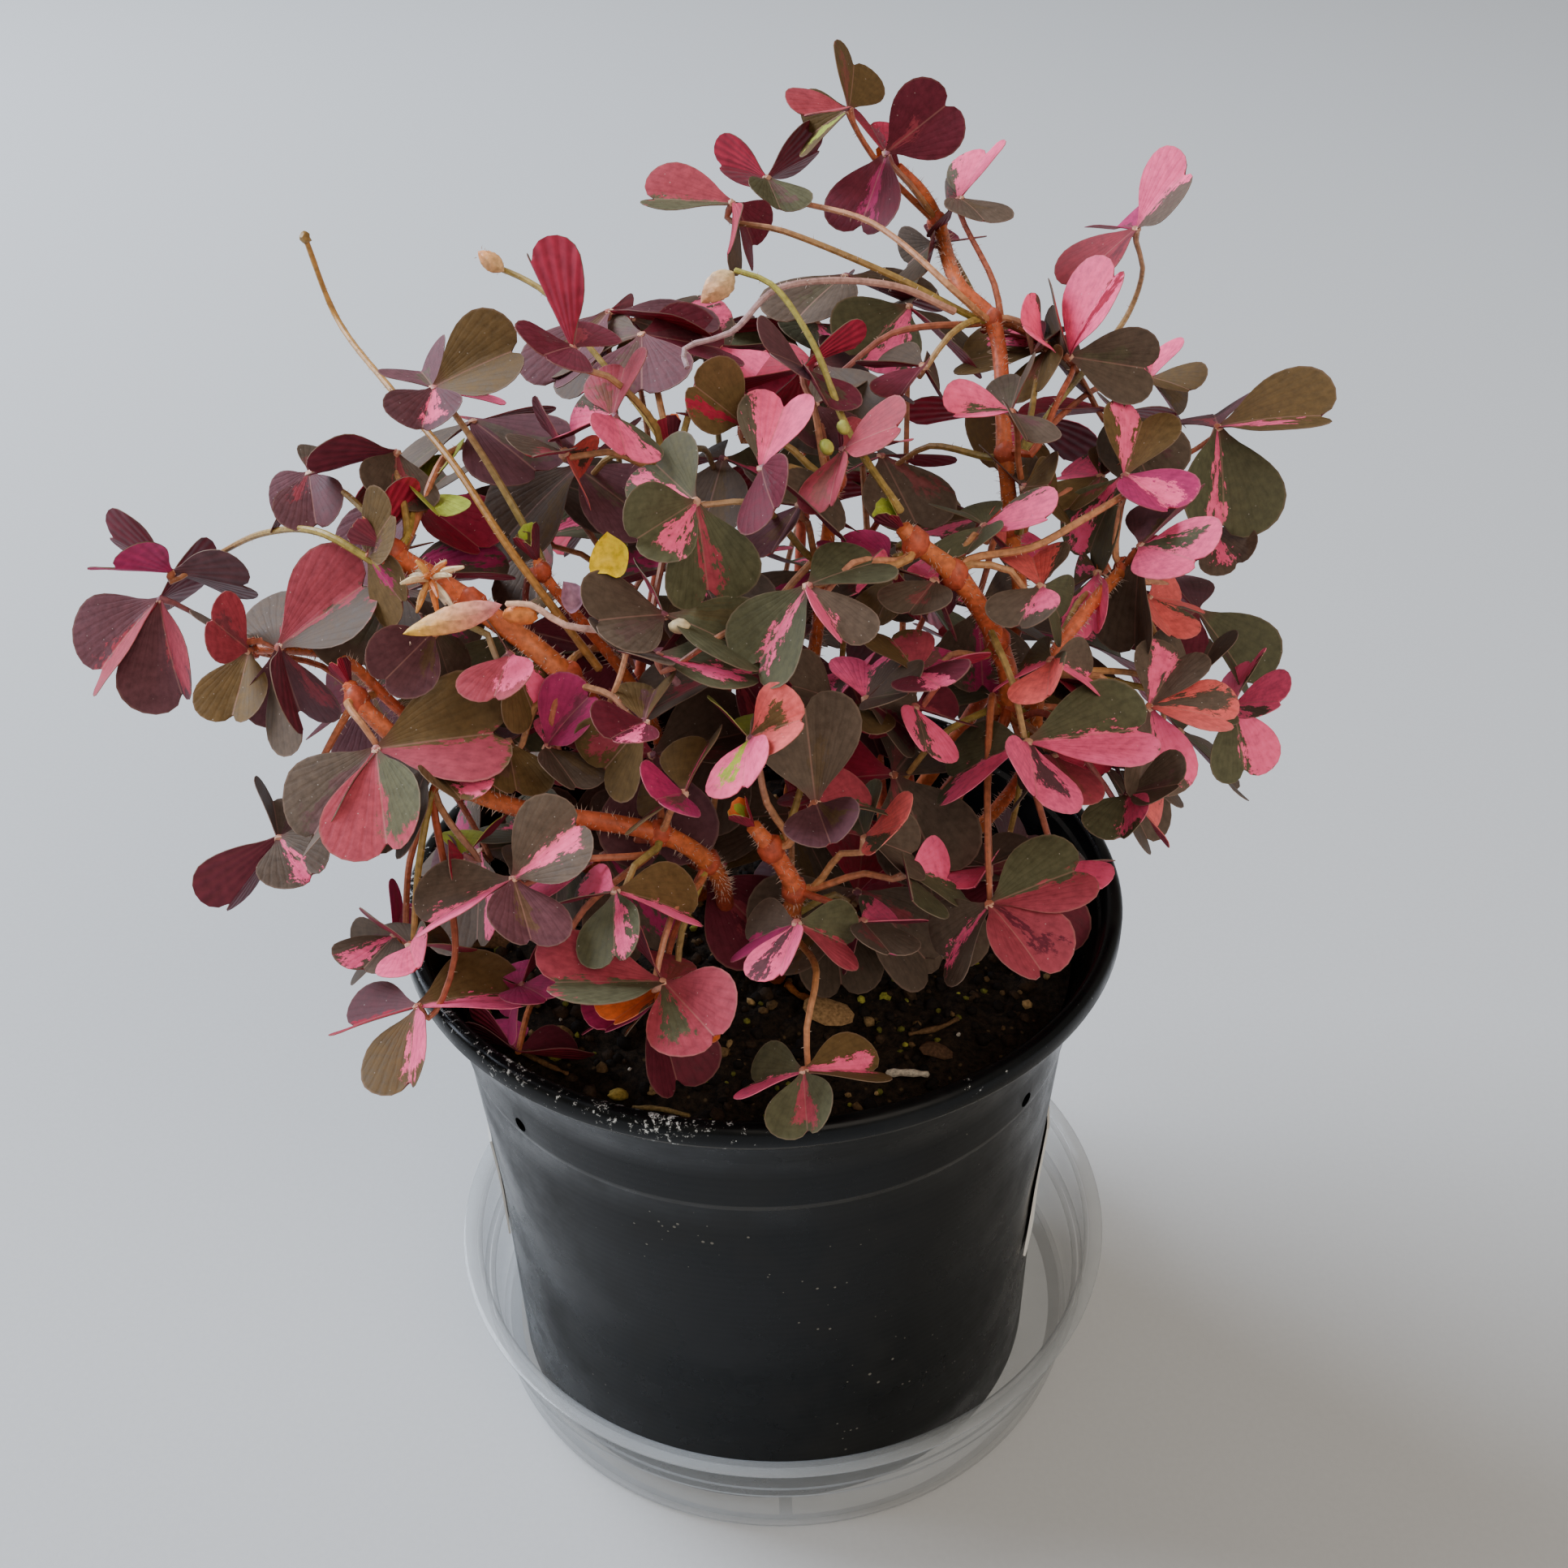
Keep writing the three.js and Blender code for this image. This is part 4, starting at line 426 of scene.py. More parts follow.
@dataclass
class Layout:
    """Where every leaf, stem and stalk of the plant is, in mm."""

    gap: float = 0.3
    stalk_radius: float = 0.6
    collar_clear: float = 0.35
    lengths: tuple[float, float] = (12.2, 16.6)
    neck: float = 2.2
    inner_leaves: int = 40
    soil_foot: float = 91.0
    ease_tilt: tuple[float, float] = (math.radians(-48), math.radians(34))
    ease_roll: float = math.radians(42)
    apart: float = math.radians(66)
    apart_of_four: float = math.radians(52)
    rounds: int = 12
    slides: tuple[float, ...] = (0, 1.5, -1.5, 3, -3, 4.5, -4.5, 6, 8, 10, 12)
    samples: tuple[tuple[float, float], ...] = (
        (0.35, 0), (0.8, 0), (0.6, 0.3), (0.6, -0.3), (0.95, 0.36), (0.95, -0.36))
    near: float = 3.4

    def soil_point(self, foot: Sequence[float]) -> Array:
        """Returns a stem's foot, just under the top of the soil."""
        return vec(foot[0], foot[1], self.soil_foot)

    def way_point(self, entry: Any) -> Array:
        """Returns the point of a node's name or of a (column, row, depth)."""
        return VIEW.place(NODES[entry] if isinstance(entry, str) else entry)

    def stem_points(self, name: str) -> list[Array]:
        """Returns a stem's points from its tip down to the soil."""
        _, way, foot = STEMS[name]
        return [*(self.way_point(entry) for entry in way), self.soil_point(foot)]

    def closest_reach(self, hub: Array, pixel: Sequence[float]) -> float:
        """Measures from a hub to the nearest point of a pixel's sight line.

        Args:
            hub: where the leaflets meet.
            pixel: the leaflet's notch.

        Returns:
            The distance in mm.
        """
        line = unit(VIEW.sight_line(pixel))
        offset = hub - VIEW.eye
        return float(np.linalg.norm(offset - line * (offset @ line)))

    def leaflet_ends(self, hub: Array, pixel: Sequence[float], length: float) -> list[Array]:
        """Works out in which directions a leaflet ends on its sight line.

        Args:
            hub: where it starts.
            pixel: its notch.
            length: how long it is, in mm.

        Returns:
            The near direction and the far one.
        """
        line = VIEW.sight_line(pixel)
        offset = VIEW.eye - hub
        a, b = line @ line, offset @ line
        root = b * b - a * (offset @ offset - length * length)
        spread = math.sqrt(root) if root > 0 else 0.0
        return [unit(VIEW.eye + line * t - hub) for t in ((-b - spread) / a, (-b + spread) / a)]

    def settle(self, choices: list[list[Array]]) -> list[Array]:
        """Picks the near and far answers that make the most natural leaf.

        Args:
            choices: the near and far direction of each leaflet.

        Returns:
            One direction for each leaflet.
        """
        best: tuple[float, list[Array]] | None = None
        for code in range(2 ** len(choices)):
            chosen = [pair[(code >> i) & 1] for i, pair in enumerate(choices)]
            cost = sum(0.6 * (m[2] + 0.15) ** 2 for m in chosen)
            cost += sum((m @ k + 0.35) ** 2 for i, m in enumerate(chosen) for k in chosen[:i])
            if best is None or cost < best[0] - 1e-9:
                best = (cost, chosen)
        return best[1]

    def leaflet_normal(self, hub: Array, midrib: Array, shown: float, preferred: Array) -> Array:
        """Works out which way a leaflet's upper side faces.

        Args:
            hub: where it starts.
            midrib: its direction.
            shown: how broadly it shows to the camera, under 0 from below.
            preferred: the direction that it would rather face.

        Returns:
            The normal.
        """
        to_eye = unit(VIEW.eye - hub)
        facing = unit(to_eye - midrib * (to_eye @ midrib))
        across = np.cross(midrib, facing)
        roll = math.acos(min(1.0, abs(shown)))
        sign = 1.0 if shown > 0 else -1.0
        options = [(facing * math.cos(r) + across * math.sin(r)) * sign for r in (roll, -roll)]
        return options[0] if options[0] @ preferred >= options[1] @ preferred else options[1]

    def plane(self, axis: Array) -> tuple[Array, Array]:
        """Returns two directions at right angles in the plane that a leaf's axis stands on."""
        first = unit(np.cross(axis, vec(0.36, 0.48, -0.8)))
        return first, np.cross(axis, first)

    def ease(self, leaflets: list[Leaflet], axis: Array) -> list[Leaflet]:
        """Spreads leaflets round their stalk and brings them near the leaf's plane.

        Args:
            leaflets: the leaflets as they were read.
            axis: the leaf's axis.

        Returns:
            The eased leaflets in order round the axis.
        """
        first, second = self.plane(axis)
        polar = []
        for leaflet in leaflets:
            angle = math.atan2(leaflet.midrib @ second, leaflet.midrib @ first)
            tilt = min(max(math.asin(leaflet.midrib @ axis), self.ease_tilt[0]), self.ease_tilt[1])
            polar.append([angle, tilt, leaflet])
        polar.sort(key=lambda entry: entry[0])
        apart = self.apart_of_four if len(leaflets) > 3 else self.apart
        for _ in range(self.rounds):
            for i, low in enumerate(polar):
                high = polar[(i + 1) % len(polar)]
                wrap = 2 * math.pi if i + 1 == len(polar) else 0.0
                short = max(0.0, apart - (high[0] + wrap - low[0]))
                low[0] -= short / 2
                high[0] += short / 2
        eased = []
        for angle, tilt, leaflet in polar:
            flat = first * math.cos(angle) + second * math.sin(angle)
            midrib = flat * math.cos(tilt) + axis * math.sin(tilt)
            level = unit(axis - midrib * math.sin(tilt))
            side = np.cross(midrib, level)
            roll = math.atan2(leaflet.normal @ side, leaflet.normal @ level)
            roll = min(max(roll, -self.ease_roll), self.ease_roll)
            normal = level * math.cos(roll) + side * math.sin(roll)
            eased.append(replace(leaflet, midrib=midrib, normal=normal, angle=angle))
        return eased

    def beside_stem(self, node: str, target: Array) -> Array:
        """Finds where a leaf stalk leaves a node: beside the stem, towards the target.

        Args:
            node: the node's name.
            target: the point that the stalk goes to next.

        Returns:
            The point in mm.
        """
        radius, way, foot = next(stem for stem in STEMS.values() if node in stem[1])
        at = way.index(node)
        after = self.way_point(way[at + 1]) if at + 1 < len(way) else self.soil_point(foot)
        along = unit(after - self.way_point(way[at - 1]))
        side = target - self.way_point(node)
        side = unit(side - along * (side @ along))
        return self.way_point(node) + side * (radius + self.gap + self.stalk_radius + self.collar_clear)

    def read_leaf(self, row: tuple, random: Random) -> Leaf:
        """Works out one leaf from its row of the table.

        Args:
            row: node, hub, stalk points, leaflets and tints.
            random: the sequence that the folds are drawn from.

        Returns:
            The leaf, before crowding is eased.
        """
        node, pixel, via, tips, tints = row
        hub = VIEW.place(pixel)
        longest = max(self.closest_reach(hub, tip) for tip in tips)
        length = min(max(longest * 1.04, self.lengths[0]), self.lengths[1])
        midribs = self.settle([self.leaflet_ends(hub, tip, length) for tip in tips])
        preferred = unit(UP - 0.25 * sum(midribs))
        leaflets = [
            Leaflet(
                midrib=midrib,
                normal=self.leaflet_normal(hub, midrib, tip[2], preferred),
                length=min(length, max(self.closest_reach(hub, tip), length * 0.8)),
                fold=math.radians(16 + 20 * random.draw()),
                tint=tint,
                shown=tip[2],
            )
            for midrib, tip, tint in zip(midribs, tips, tints.split())
        ]
        bends = [VIEW.place(spot) for spot in reversed(via)]
        stalk = [self.beside_stem(node, bends[0] if bends else hub), *bends, hub]
        axis = unit(preferred * 0.5 + sum(leaflet.normal for leaflet in leaflets))
        return Leaf(node, hub, axis, self.ease(leaflets, axis), stalk, unit(VIEW.sight_line(pixel)))

    def leaf_samples(self, leaf: Leaf, slide: float) -> Array:
        """Spreads points over a leaf's blades and the outer part of its stalk.

        Args:
            leaf: the leaf.
            slide: how far it is moved along its sight line.

        Returns:
            The points, one in each row.
        """
        last = len(leaf.stalk) - 1
        hub = leaf.hub + leaf.way * slide
        points = []
        for leaflet in leaf.leaflets:
            across = np.cross(leaflet.normal, leaflet.midrib)
            cos, sin = math.cos(leaflet.fold), math.sin(leaflet.fold)
            for along, out in self.samples:
                off = across * out * leaflet.length * cos
                rise = abs(out) * leaflet.length * sin
                points.append(hub + leaflet.midrib * along * leaflet.length + off + leaflet.normal * rise)
        inner = leaf.stalk[-2] + leaf.way * slide * (last - 1) / last
        points += [mix(inner, hub, share) for share in (0.35, 0.6, 0.85)]
        return np.array(points)

    def spread(self, leaves: list[Leaf]) -> list[Leaf]:
        """Slides leaves that crowd each other along their sight lines, which keeps their pixels.

        Args:
            leaves: the leaves as they were read.

        Returns:
            The same leaves, moved.
        """
        slides = [0.0] * len(leaves)
        samples = [self.leaf_samples(leaf, 0.0) for leaf in leaves]
        fixed = np.array([self.way_point(entry) for _, way, _ in STEMS.values() for entry in way])
        for _ in range(4):
            for i, leaf in enumerate(leaves):
                others = np.concatenate([s for j, s in enumerate(samples) if j != i] + [fixed])
                best: tuple[float, float, Array] | None = None
                for slide in self.slides:
                    points = self.leaf_samples(leaf, slide)
                    squares = ((points[:, None, :] - others[None, :, :]) ** 2).sum(axis=2)
                    cost = np.maximum(0, self.near**2 - squares).sum() + 0.4 * slide**2
                    if best is None or cost < best[0] - 1e-6:
                        best = (cost, slide, points)
                slides[i], samples[i] = best[1], best[2]
        for leaf, slide in zip(leaves, slides):
            last = len(leaf.stalk) - 1
            leaf.hub = leaf.hub + leaf.way * slide
            leaf.stalk = [p + leaf.way * slide * i / last for i, p in enumerate(leaf.stalk)]
        return leaves

    def seen_leaves(self) -> list[Leaf]:
        """Returns the photographed leaves."""
        random = Random(11)
        return self.spread([self.read_leaf(row, random) for row in LEAVES])

    def rear_shoots(self) -> list[Shoot]:
        """Grows the rear shoots, which the photograph doesn't show.

        Returns:
            The shoots with their leaves.
        """
        random = Random(4)
        shoots = []
        # six shoots on an arc round the rear of the canopy, whose middle is at (2, 34)
        for c in range(6):
            angle = math.radians(mix(8, 172, c / 5))
            cos, sin = math.cos(angle), math.sin(angle)
            node = vec(2 + 24 * cos, 34 + 20 * sin - 4, mix(116, 146, random.draw()))
            foot = vec(30 * cos, 30 * sin, self.soil_foot)
            leaves = []
            for k in range(3):
                level = (k + 0.4 * random.draw()) / 2.4
                turn = angle + math.radians(26 * (random.draw() - 0.5))
                inward = 1 - 0.45 * level**2
                x, y = 2 + 42 * inward * math.cos(turn), 34 + 34 * inward * math.sin(turn)
                hub = vec(x, y, mix(112, 190, level))
                out = unit(vec(math.cos(turn), math.sin(turn), 0.2 + level))
                leaves.append(self.rear_leaf(f"rear_{c + 1}", hub, node, out, random))
            shoots.append(Shoot(f"rear_{c + 1}", node, foot, leaves))
        return shoots

    def rear_leaf(self, name: str, hub: Array, start: Array, out: Array, random: Random) -> Leaf:
        """Works out a leaf of a rear shoot.

        Args:
            name: the shoot.
            hub: where the leaflets meet.
            start: the shoot's node.
            out: the direction that the leaf leans to.
            random: the sequence that it is drawn from.

        Returns:
            The leaf.
        """
        axis = unit(out * 0.7 + UP)
        first = unit(np.cross(axis, vec(1, 0.2, 0)))
        length = 13.5 + 2.2 * random.draw()
        turn = random.draw() * 2 * math.pi
        leaflets = []
        for i in range(3):
            midrib = turned(first, axis, turn + i * 2 * math.pi / 3 + 0.3 * (random.draw() - 0.5))
            midrib = unit(midrib + axis * (-0.25 - 0.3 * random.draw()))
            normal = unit(axis - midrib * (axis @ midrib))
            normal = turned(normal, midrib, 0.7 * (random.draw() - 0.5))
            fold = math.radians(14 + 20 * random.draw())
            tint = REAR_TINTS[int(997 * abs(hub[0] + 3 * hub[1] + 7 * i)) % len(REAR_TINTS)]
            leaflets.append(Leaflet(midrib, normal, length, fold, tint, 1.0))
        return Leaf(name, hub, axis, self.ease(leaflets, axis), [start, hub], unit(out))

    def grow_inner(self, shoots: list[Shoot]) -> None:
        """Adds the inner leaves that fill the canopy to the shoots that they grow from.

        Args:
            shoots: every shoot, with its leaves so far.
        """
        random = Random(23)
        hubs = [leaf.hub for shoot in shoots for leaf in shoot.leaves]
        for _ in range(self.inner_leaves):
            best: tuple[float, Array, Shoot] | None = None
            # the roomiest of 12 places, each a pixel inside the canopy's outline and a depth
            for _ in range(12):
                turn = 2 * math.pi * random.draw()
                reach = math.sqrt(random.draw())
                column, row = 985 + 540 * reach * math.cos(turn), 780 + 400 * reach * math.sin(turn)
                hub = VIEW.place((column, row, mix(9, 46, random.draw())))
                lengths = [float(np.linalg.norm(shoot.at - hub)) for shoot in shoots]
                room = min(float(np.linalg.norm(other - hub)) for other in hubs)
                if hub[2] > 106 and 13 < min(lengths) < 48 and (best is None or room > best[0]):
                    best = (room, hub, shoots[lengths.index(min(lengths))])
            if best is not None:
                _, hub, home = best
                start = home.at if home.foot is not None else self.beside_stem(home.name, hub)
                out = unit(hub - VIEW.canopy_centre)
                home.leaves.append(self.rear_leaf(home.name, hub, start, out, random))
                hubs.append(hub)

    def shoots(self) -> list[Shoot]:
        """Grows the whole plant.

        Returns:
            Every shoot with its leaves: the photographed ones, then the rear ones.
        """
        leaves = self.seen_leaves()
        shoots = []
        for name in NODES:
            own = [leaf for leaf in leaves if leaf.node == name]
            shoots.append(Shoot(name, self.way_point(name), None, own))
        shoots += self.rear_shoots()
        self.grow_inner(shoots)
        return shoots

    def route(self, leaf: Leaf) -> list[Array]:
        """Works out the way of a leaf stalk, with the bent neck at its hub.

        Args:
            leaf: the leaf.

        Returns:
            The stalk's points from the hub down.
        """
        points = list(reversed(leaf.stalk))
        if len(points) == 2:
            middle = mix(points[0], points[1], 0.45)
            middle[2] += 0.08 * np.linalg.norm(points[0] - points[1])
            points.insert(1, middle)
        first, second = self.plane(leaf.axis)
        ordered = sorted(leaf.leaflets, key=lambda leaflet: leaflet.angle)
        before = [ordered[-1].angle - 2 * math.pi, *(leaflet.angle for leaflet in ordered[:-1])]
        middles = [(leaflet.angle + b) / 2 for leaflet, b in zip(ordered, before)]
        spokes = [first * math.cos(m) + second * math.sin(m) for m in middles]
        gap = max(spokes, key=lambda spoke: spoke @ (points[1] - points[0]))
        points.insert(1, leaf.hub - leaf.axis * self.neck + gap * 0.5 * self.neck)
        return points


# Colours and meshes

def circle(radius: Array | float, height: float, angles: Array, centre: Sequence[float] = (0, 0)) -> Array:
    """Returns the points at those angles round an upright axis, one in each row."""
    x, y = centre[0] + radius * np.cos(angles), centre[1] + radius * np.sin(angles)
    return np.stack([x, y, np.broadcast_to(height, angles.shape)], 1)


def ring_faces(rings: int, sides: int) -> list[tuple[int, ...]]:
    """Joins rings of vertices to a closed skin.

    Args:
        rings: how many rings follow one another.
        sides: how many vertices each has. After them come one that closes the first ring and
            one that closes the last.

    Returns:
        The faces.
    """
    first, last = rings * sides, rings * sides + 1
    faces: list[tuple[int, ...]] = []
    for k in range(sides):
        n = (k + 1) % sides
        faces.append((first, n, k))
        faces += [(i + k, i + n, i + sides + n, i + sides + k) for i in range(0, first - sides, sides)]
        faces.append((last, first - sides + k, first - sides + n))
    return faces


def linear(code: str) -> Array:
    """Turns an sRGB hex colour such as "#e0708f" to linear red, green, blue and alpha."""
    parts = [int(code[i:i + 2], 16) / 255 for i in (1, 3, 5)]
    return vec(*(p / 12.92 if p <= 0.04045 else ((p + 0.055) / 1.055) ** 2.4 for p in parts), 1.0)


class Tint(Enum):
    """The colours of the leaflets, each with its letter in the table of leaves."""

    DARK_OLIVE = ("D", "#5f5044")
    DARK_GREEN = ("G", "#57553e")
    MAUVE = ("V", "#653f45")
    BURGUNDY = ("B", "#6a2836")
    CRIMSON = ("C", "#a3273f")
    MAGENTA = ("M", "#ad3263")
    BRONZE = ("Z", "#665031")
    PINK = ("P", "#ff6490")
    SALMON = ("S", "#e66663")
    ROSE = ("R", "#a3434f")
    ORANGE = ("O", "#e06f36")
    LIME = ("L", "#a8b543")

    @property
    def colour(self) -> Array:
        """The tint as a linear colour."""
        return linear(self.value[1])


TINTS = {tint.value[0]: tint for tint in Tint}
REAR_TINTS = ("D", "B", "DP", "D", "V", "G", "DM", "D", "B", "ZP", "D", "C", "V", "D|P", "GP")
BRIGHT = (Tint.PINK, Tint.SALMON, Tint.ORANGE)


@dataclass(frozen=True)
class Flame:
    """A leaflet's colours: a base, and a patch in a sector that runs out from the hub.

    The sector is stated from -1 at one side margin to 1 at the other, and reach is how far
    out from the hub it runs, as a share of the leaflet's length.
    """

    base: Array
    patch: Array
    low: float
    high: float
    reach: float

    @classmethod
    def read(cls, code: str, lower_side: float, rng: np.random.Generator) -> "Flame":
        """Reads a leaflet's letters from the table.

        Args:
            code: such as "P", "PG" or "P|G".
            lower_side: 1 if the half that lies lower or to the right is the positive one, or -1.
            rng: what the sector is drawn with.

        Returns:
            The flame.
        """
        first = TINTS[code[0]]
        if "|" in code:
            split = rng.uniform(-0.06, 0.1)
            low, high = (split, 9.0) if lower_side > 0 else (-9.0, -split)
            return cls(first.colour, TINTS[code[2]].colour, low, high, rng.uniform(0.85, 1.3))
        if len(code) > 1:
            middle, half = rng.uniform(-0.6, 0.6), rng.uniform(0.13, 0.28)
            reach = rng.uniform(0.75, 1.15)
            return cls(first.colour, TINTS[code[1]].colour, middle - half, middle + half, reach)
        if first in BRIGHT:
            low = rng.uniform(0.5, 0.85)
            low, high = (low, 9.0) if rng.random() < 0.5 else (-9.0, -low)
            dark = mix(Tint.DARK_OLIVE.colour, Tint.DARK_GREEN.colour, rng.random())
            return cls(first.colour, dark, low, high, 9.0)
        other = (Tint.BRONZE, Tint.MAUVE, Tint.DARK_GREEN, Tint.ROSE)[rng.integers(4)]
        middle = rng.uniform(-0.7, 0.7)
        return cls(first.colour, mix(first.colour, other.colour, rng.uniform(0.3, 0.8)),
                   middle - 0.2, middle + 0.2, rng.uniform(0.5, 1.0))


class Body:
    """Collects the meshes of one piece, with their material slots and vertex attributes."""

    def __init__(self) -> None:
        """Starts an empty piece."""
        self.points: list[Array] = []
        self.faces: list[tuple[int, ...]] = []
        self.slots: list[int] = []
        self.layers: dict[str, list[tuple[int, Array]]] = {}
        self.count = 0

    def add(self, points: Array, faces: Iterable[Sequence[int]], slot: int | Sequence[int] = 0,
            **layers: Array) -> None:
        """Adds a mesh.

        Args:
            points: one vertex in mm in each row.
            faces: vertex numbers of each face.
            slot: the material slot, or one for each face.
            layers: values for the vertices, one row each or one row for all.
        """
        faces = list(faces)
        start = self.count
        self.points.append(points)
        self.faces += [tuple(start + i for i in face) for face in faces]
        self.slots += [slot] * len(faces) if isinstance(slot, int) else list(slot)
        for name, values in layers.items():
            rows = np.broadcast_to(np.asarray(values, float), (len(points), np.shape(values)[-1]))
            self.layers.setdefault(name, []).append((start, rows))
        self.count += len(points)

    def piece(self, name: str, materials: Sequence[bpy.types.Material], slot: str,
              nodes: Sequence[str] = (), crease: float = 38.0) -> bpy.types.Object:
        """Makes the piece's object, which rides on the root.

        Args:
            name: the piece's name.
            materials: what its material slots hold.
            slot: the name of its material slot; not used.
            nodes: the CAD nodes that it stands for.
            crease: faces that meet at more than this many degrees stay sharp.

        Returns:
            The object.
        """
        mesh = bpy.data.meshes.new(name)
        mesh.from_pydata((np.concatenate(self.points) / 1000).tolist(), [], self.faces)
        for layer, parts in self.layers.items():
            width = parts[0][1].shape[1]
            kind, key = ("FLOAT_COLOR", "color") if width == 4 else ("FLOAT_VECTOR", "vector")
            values = np.zeros((self.count, width))
            for start, rows in parts:
                values[start:start + len(rows)] = rows
            mesh.attributes.new(layer, kind, "POINT").data.foreach_set(key, values.ravel())
        for material in materials:
            mesh.materials.append(material)
        mesh.polygons.foreach_set("material_index", self.slots)
        mesh.polygons.foreach_set("use_smooth", [True] * len(self.faces))
        mesh.set_sharp_from_angle(angle=math.radians(crease))
        mesh.validate()
        piece = bpy.data.objects.new(name, mesh)
        bpy.context.scene.collection.objects.link(piece)
        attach(piece, "root")
        if nodes:
            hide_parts(*nodes)
        LOG.info("%s: %d faces", name, len(self.faces))
        return piece

    def tube(self, way: Array, radii: Array | float, sides: int, slot: int, **layers: Array) -> None:
        """Adds a round rod with closed ends.

        Args:
            way: points along its middle.
            radii: its radius at each point, or one for all.
            sides: how many sides it has.
            slot: its material slot.
            layers: values for each point of the way.
        """
        radii = np.broadcast_to(radii, len(way))
        tangents = np.gradient(way, axis=0)
        tangents /= np.linalg.norm(tangents, axis=1)[:, None]
        side = unit(np.cross(tangents[0], vec(0.31, 0.52, 0.8)))
        angles = np.arange(sides) * 2 * math.pi / sides
        rings = []
        for centre, tangent, radius in zip(way, tangents, radii):
            side = unit(side - tangent * (side @ tangent))
            round_it = np.outer(np.cos(angles), side) + np.outer(np.sin(angles), np.cross(tangent, side))
            rings.append(centre + radius * round_it)
        caps = [way[0] - tangents[0] * radii[0] * 0.6, way[-1] + tangents[-1] * radii[-1] * 0.6]
        for name, values in layers.items():
            if np.ndim(values) > 1:
                rows = np.repeat(values, sides, axis=0)
                layers[name] = np.concatenate([rows, rows[:1], rows[-1:]])
        self.add(np.concatenate([*rings, caps]), ring_faces(len(way), sides), slot, **layers)

    def blob(self, centre: Array, sizes: Array, rng: np.random.Generator, lumps: float, slot: int,
             axis: Array | None = None, detail: int = 1, **layers: Array) -> None:
        """Adds a lumpy closed oval.

        Args:
            centre: its middle.
            sizes: its half sizes; the last lies along the axis.
            rng: what the lumps are drawn with.
            lumps: how far they rise and fall, as a share of the size.
            slot: its material slot.
            axis: the direction of its last size, or None for a random turn.
            detail: 1 for about 80 faces, 2 for about 320.
            layers: one value for all its vertices.
        """
        if detail not in BALLS:
            ball = bmesh.new()
            bmesh.ops.create_icosphere(ball, subdivisions=detail, radius=1.0)
            faces = [[vertex.index for vertex in face.verts] for face in ball.faces]
            BALLS[detail] = (np.array([vertex.co[:] for vertex in ball.verts]), faces)
            ball.free()
        points, faces = BALLS[detail]
        axis = unit(rng.normal(size=3)) if axis is None else unit(axis)
        side = unit(np.cross(axis, vec(0.3, 0.5, 0.81)))
        shaped = points * (1 + lumps * rng.normal(size=len(points)))[:, None] * np.asarray(sizes)
        turn = np.array([side, np.cross(axis, side), axis])
        self.add(centre + shaped @ turn, faces, slot, **layers)

    def hairs(self, way: Array, radii: Array, count: int, length: float, slot: int,
              rng: np.random.Generator) -> None:
        """Adds fine pointed hairs that stand out from a stem.

        Args:
            way: points along the stem's middle.
            radii: the stem's radius at each.
            count: how many hairs.
            length: about how long they are.
            slot: their material slot.
            rng: what their places are drawn with.
        """
        for _ in range(count):
            i = rng.integers(len(way) - 1)
            at = mix(way[i], way[i + 1], rng.random())
            along = unit(way[i + 1] - way[i])
            out = rng.normal(size=3)
            out = unit(out - along * (out @ along))
            side = np.cross(along, out) * 0.055  # a hair is 0.11 mm wide at its root
            root = at + out * radii[i] * 0.9
            tip = root + (out + along * rng.uniform(-0.4, 0.4)) * length * rng.uniform(0.6, 1.3)
            points = np.array([root + side, root - side, root + along * 0.1, tip])
            self.add(points, ((0, 2, 1), (0, 1, 3), (1, 2, 3), (2, 0, 3)), slot)


BALLS: dict[int, tuple[Array, list]] = {}


def lathe(profile: Sequence[tuple[float, float]], segments: int,
          centre: tuple[float, float] = (0, 0)) -> tuple[Array, list[tuple[int, ...]]]:
    """Turns a closed outline about an upright axis.

    Args:
        profile: (radius, height) points; the first and last lie on the axis.
        segments: how many steps round.
        centre: where the axis stands.

    Returns:
        The vertices and the faces.
    """
    angles = np.arange(segments) * 2 * math.pi / segments
    rings = [circle(radius, height, angles, centre) for radius, height in profile[1:-1]]
    ends = [[*centre, profile[0][1]], [*centre, profile[-1][1]]]
    return np.concatenate([*rings, ends]), ring_faces(len(rings), segments)


# Finishes

Socket = bpy.types.NodeSocket
AddNode = Callable[..., Socket]
Feeds = dict[str, Socket]


def add_node(tree: bpy.types.NodeTree, kind: str, sources: Any = (), out: int = 0,
             **settings: Any) -> Socket:
    """Adds a shader node with its settings and links.

    Args:
        tree: the material's node tree.
        kind: the node's type, without the "ShaderNode" that every one starts with.
        sources: its inputs by place or name: a socket to link, or a value to set.
        out: which output to return.
        settings: its properties.

    Returns:
        The output socket.
    """
    node = tree.nodes.new("ShaderNode" + kind)
    for name, value in settings.items():
        setattr(node, name, value)
    for key, source in (sources.items() if isinstance(sources, dict) else enumerate(sources)):
        if isinstance(source, Socket):
            tree.links.new(source, node.inputs[key])
        else:
            node.inputs[key].default_value = source
    return node.outputs[out]


